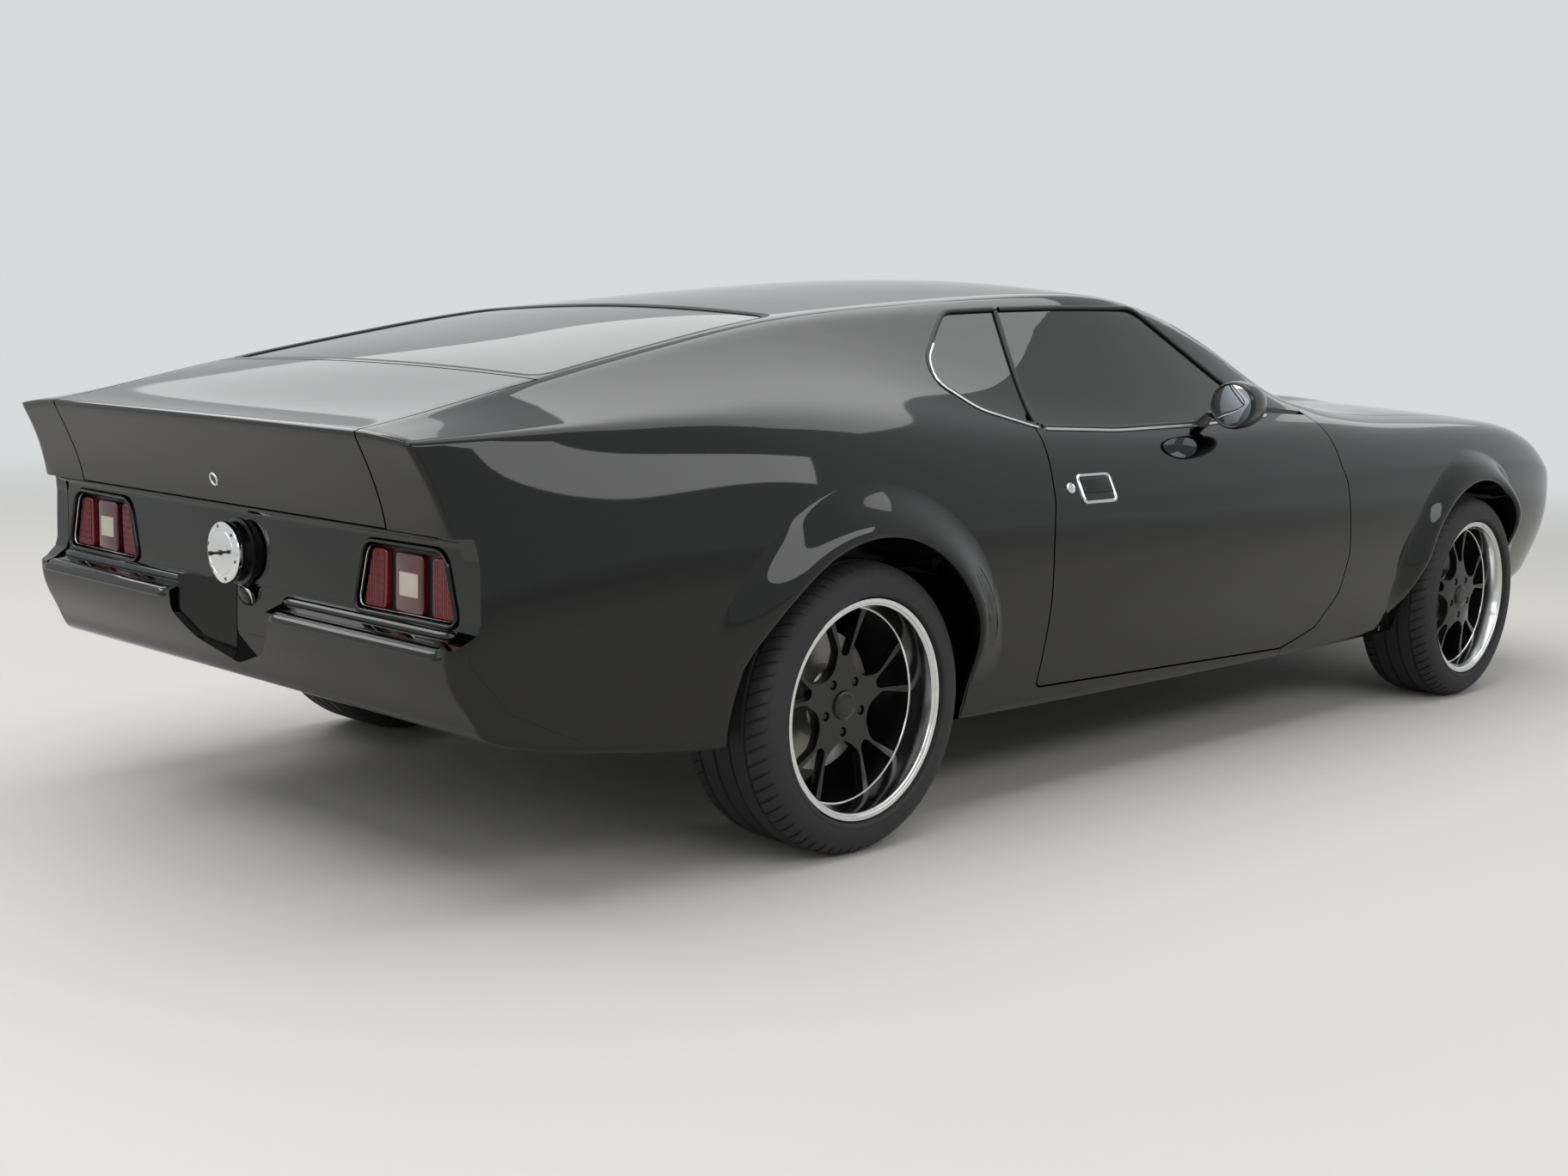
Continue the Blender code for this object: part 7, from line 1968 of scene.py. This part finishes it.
for k, (offset, radius, z) in enumerate(GAUGES):
    hit, place, _, _ = dash.ray_cast(Vector((-0.5, WHEEL_AT.y + offset, z)), Vector(FORWARD))
    if not hit:
        continue
    ring = [(r * radius, h) for r, h in gauge_ring]
    turned_piece(f"gauge_ring_{k}", ring, place, REARWARD, POLISHED, angle=50)
    turned_piece(f"gauge_face_{k}", [(0, 0.0015), (radius * 0.90, 0.0015)], place, REARWARD, PLASTIC)
    marks = bmesh.new()
    for step in range(11):
        angle = math.radians(225 - 27 * step)
        spot = place + Vector((-0.0024, math.cos(angle) * radius * 0.74, math.sin(angle) * radius * 0.74))
        bar(marks, Matrix.Translation(spot) @ Matrix.Rotation(-angle, 4, "X"), 0.001, radius * 0.14, 0.0014)
    pivot = Matrix.Translation(place + Vector((-0.0034, 0, 0))) @ Matrix.Rotation(math.radians(140), 4, "X")
    bar(marks, pivot @ Matrix.Translation((0, radius * 0.30, 0)), 0.001, radius * 0.62, 0.0020)
    piece(f"gauge_marks_{k}", marks, WHITE_LENS, smooth=False)

SPOKE_HOLES, SPOKE_PITCH, SPOKE_BRIDGE = 5, 0.0262, 0.0140
across_wheel = Vector((0, 1, 0))
up_wheel = WHEEL_WAY.cross(across_wheel).normalized()


def round_wheel(angle):
    return across_wheel * math.cos(angle) + up_wheel * math.sin(angle)


rim_radius = (wheel_high_at.y - wheel_low_at.y) / 2 - 0.0135
circle = [WHEEL_AT + round_wheel(math.tau * k / 96) * rim_radius for k in range(96)]
rim = swept(circle, [WHEEL_WAY] * len(circle), oval(0.026, 0.024, 16), True)
piece("steering_rim", rim, VINYL, "steering_wheel", replaces=["steering_wheel"], angle=60)
spokes = bmesh.new()
for out in (round_wheel(math.radians(angle)) for angle in (90, 210, 330)):
    directions = (out, WHEEL_WAY.cross(out), WHEEL_WAY)
    centre = WHEEL_AT - WHEEL_WAY * 0.005
    for k in range(SPOKE_HOLES):
        start = 0.040 + k * SPOKE_PITCH
        long = SPOKE_PITCH if k == SPOKE_HOLES - 1 else SPOKE_BRIDGE
        bar(spokes, framed(centre + out * (start + long / 2), directions), long, 0.024, 0.0035)
    for sign in (1, -1):
        bar(spokes, framed(centre + out * 0.105 + directions[1] * sign * 0.0105, directions), 0.136, 0.005, 0.0035)
piece("steering_spokes", spokes, POLISHED, "steering_wheel", slot="aluminium", smooth=False)
hub = [(0, 0.012), (0.020, 0.011), (0.034, 0.006), (0.040, -0.006), (0.044, -0.018), (0.030, -0.040), (0.024, -0.060)]
turned_piece("steering_hub", hub, WHEEL_AT, WHEEL_WAY, SATIN, "steering_wheel", angle=50)

# %% Door trim
trim = slab(grown(door_line, -0.014), "y", -0.93, -0.792)
within = keep(solid, "within", block((-0.90, -1.0, 0.15), (0.75, -0.60, 1.00)))
for vertex in within.data.vertices:
    vertex.co -= vertex.normal * (SKIN + 0.002)
boolean(trim, within, "INTERSECT")
pair("door_trim", trim, VINYL, "door", smooth=False)
armrest = block((-0.42, -0.795, 0.545), (0.10, -0.752, 0.600))
pair("armrest", softened(armrest, 0.016, 4, 30), VINYL, "door")
crank = block((0.165, -0.795, 0.560), (0.185, -0.772, 0.650))
pair("window_crank", softened(crank, 0.006, 3, 30), STAINLESS, "door")
print("door trim", len(trim.data.polygons), "faces")

# %% [markdown]
# The CAD solids that stay in sight under the car and in the engine bay take
# the same procedural finishes: coating on the floor and the front subframe, a
# cast finish on the engine, raw iron on the axle and knuckles, a dulled steel
# on the exhaust, and vinyl on the dashboard.

# %% Finishes on the carried-over solids
TAILPIPE = finish("aluminised exhaust steel", None, 14.0, 0.06, 0.25, (0.30, 0.50), ("#76726C", "#918D87"),
                  metallic=0.9)
FINISH_OF = {
    "floor_pan": COATING, "front_subframe": COATING, "exhaust": TAILPIPE, "engine": CASTING, "rear_axle": IRON,
    "knuckle_left": IRON, "knuckle_right": IRON, "dashboard": VINYL,
}
for name, material in FINISH_OF.items():
    for material_slot in frame["nodes"][name].material_slots:
        material_slot.material = material
print("finishes set on", len(FINISH_OF), "solids")

# %% [markdown]
# A pale studio: a wide floor whose colour runs into the backdrop, and five
# soft boxes, since reflections are all that a black car shows. A big one
# overhead lights roof and deck, a long low strip on the right draws the line
# along the shoulder, and one stands behind the tail. The last two, to the left
# and far ahead, are what the rear window, the lid and the roof mirror towards
# the camera.

# %% Studio
BACKDROP = "#D8DADB"


def lamp(name, place, aim, size, power):
    """A white area lamp at a place, turned to face another, with its size in metres and power in watts."""
    data = bpy.data.lights.new(name, "AREA")
    data.shape = "RECTANGLE"
    data.size, data.size_y = size
    data.energy = power
    item = bpy.data.objects.new(name, data)
    item.location = place
    item.rotation_euler = (Vector(aim) - Vector(place)).to_track_quat("-Z", "Y").to_euler()
    scene.collection.objects.link(item)


lamp("overhead", (-0.5, 0, 5.2), (-0.5, 0, 0), (11.0, 6.4), 330)
lamp("right strip", (-0.6, -4.8, 3.1), (0, 0, 0.6), (8.0, 1.1), 75)
lamp("left sky", (-2.4, 7.0, 5.4), (-1.8, 0, 0.6), (7.0, 2.6), 170)
lamp("far panel", (14.0, 14.0, 9.6), (0, 0, 1.0), (26.0, 5.5), 290)
lamp("tail strip", (-6.4, -0.6, 3.0), (-1, 0, 0.6), (5.0, 2.2), 50)

floor_shape = bmesh.new()
bmesh.ops.create_grid(floor_shape, x_segments=4, y_segments=4, size=60)
floor = object_of("floor", floor_shape)
floor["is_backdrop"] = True
floor_finish, tree, shader = finish_of("pale studio floor", roughness=0.75)
shader.inputs["Base Color"].default_value = colour("#CFCDC8")
coordinates = node(tree, "ShaderNodeTexCoord")
away = node(tree, "ShaderNodeVectorMath", operation="LENGTH")
tree.links.new(coordinates.outputs["Object"], away.inputs[0])
fade = node(tree, "ShaderNodeMapRange", {"Value": away.outputs["Value"]}, interpolation_type="SMOOTHSTEP")
fade.inputs["From Min"].default_value = 3.2
fade.inputs["From Max"].default_value = 11
glow = node(tree, "ShaderNodeEmission")
glow.inputs["Color"].default_value = colour(BACKDROP)
mixed = node(tree, "ShaderNodeMixShader", {"Fac": fade.outputs["Result"]})
tree.links.new(shader.outputs["BSDF"], mixed.inputs[1])
tree.links.new(glow.outputs["Emission"], mixed.inputs[2])
tree.links.new(mixed.outputs["Shader"], tree.nodes["Material Output"].inputs["Surface"])
floor.data.materials.append(floor_finish)

world = bpy.data.worlds.new("studio")
scene.world = world
world.use_nodes = True
sky = world.node_tree
back = sky.nodes["Background"]
rays = node(sky, "ShaderNodeLightPath")
source = rays.outputs["Is Camera Ray"]
for kind in ("Is Glossy Ray", "Is Transmission Ray"):
    either = node(sky, "ShaderNodeMath", operation="ADD", use_clamp=True)
    sky.links.new(source, either.inputs[0])
    sky.links.new(rays.outputs[kind], either.inputs[1])
    source = either.outputs["Value"]
# The backdrop shows at full strength to the eye and in reflections, and lights the car at half.
power = node(sky, "ShaderNodeMapRange", {"Value": source})
power.inputs["To Min"].default_value = 0.50
power.inputs["To Max"].default_value = 1.0
sky.links.new(power.outputs["Result"], back.inputs["Strength"])
back.inputs["Color"].default_value = colour(BACKDROP)

# %% Sizes and finish
remove(solid)
low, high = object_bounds()
print("visual box:", [round(b - a, 3) for a, b in zip(low, high)])
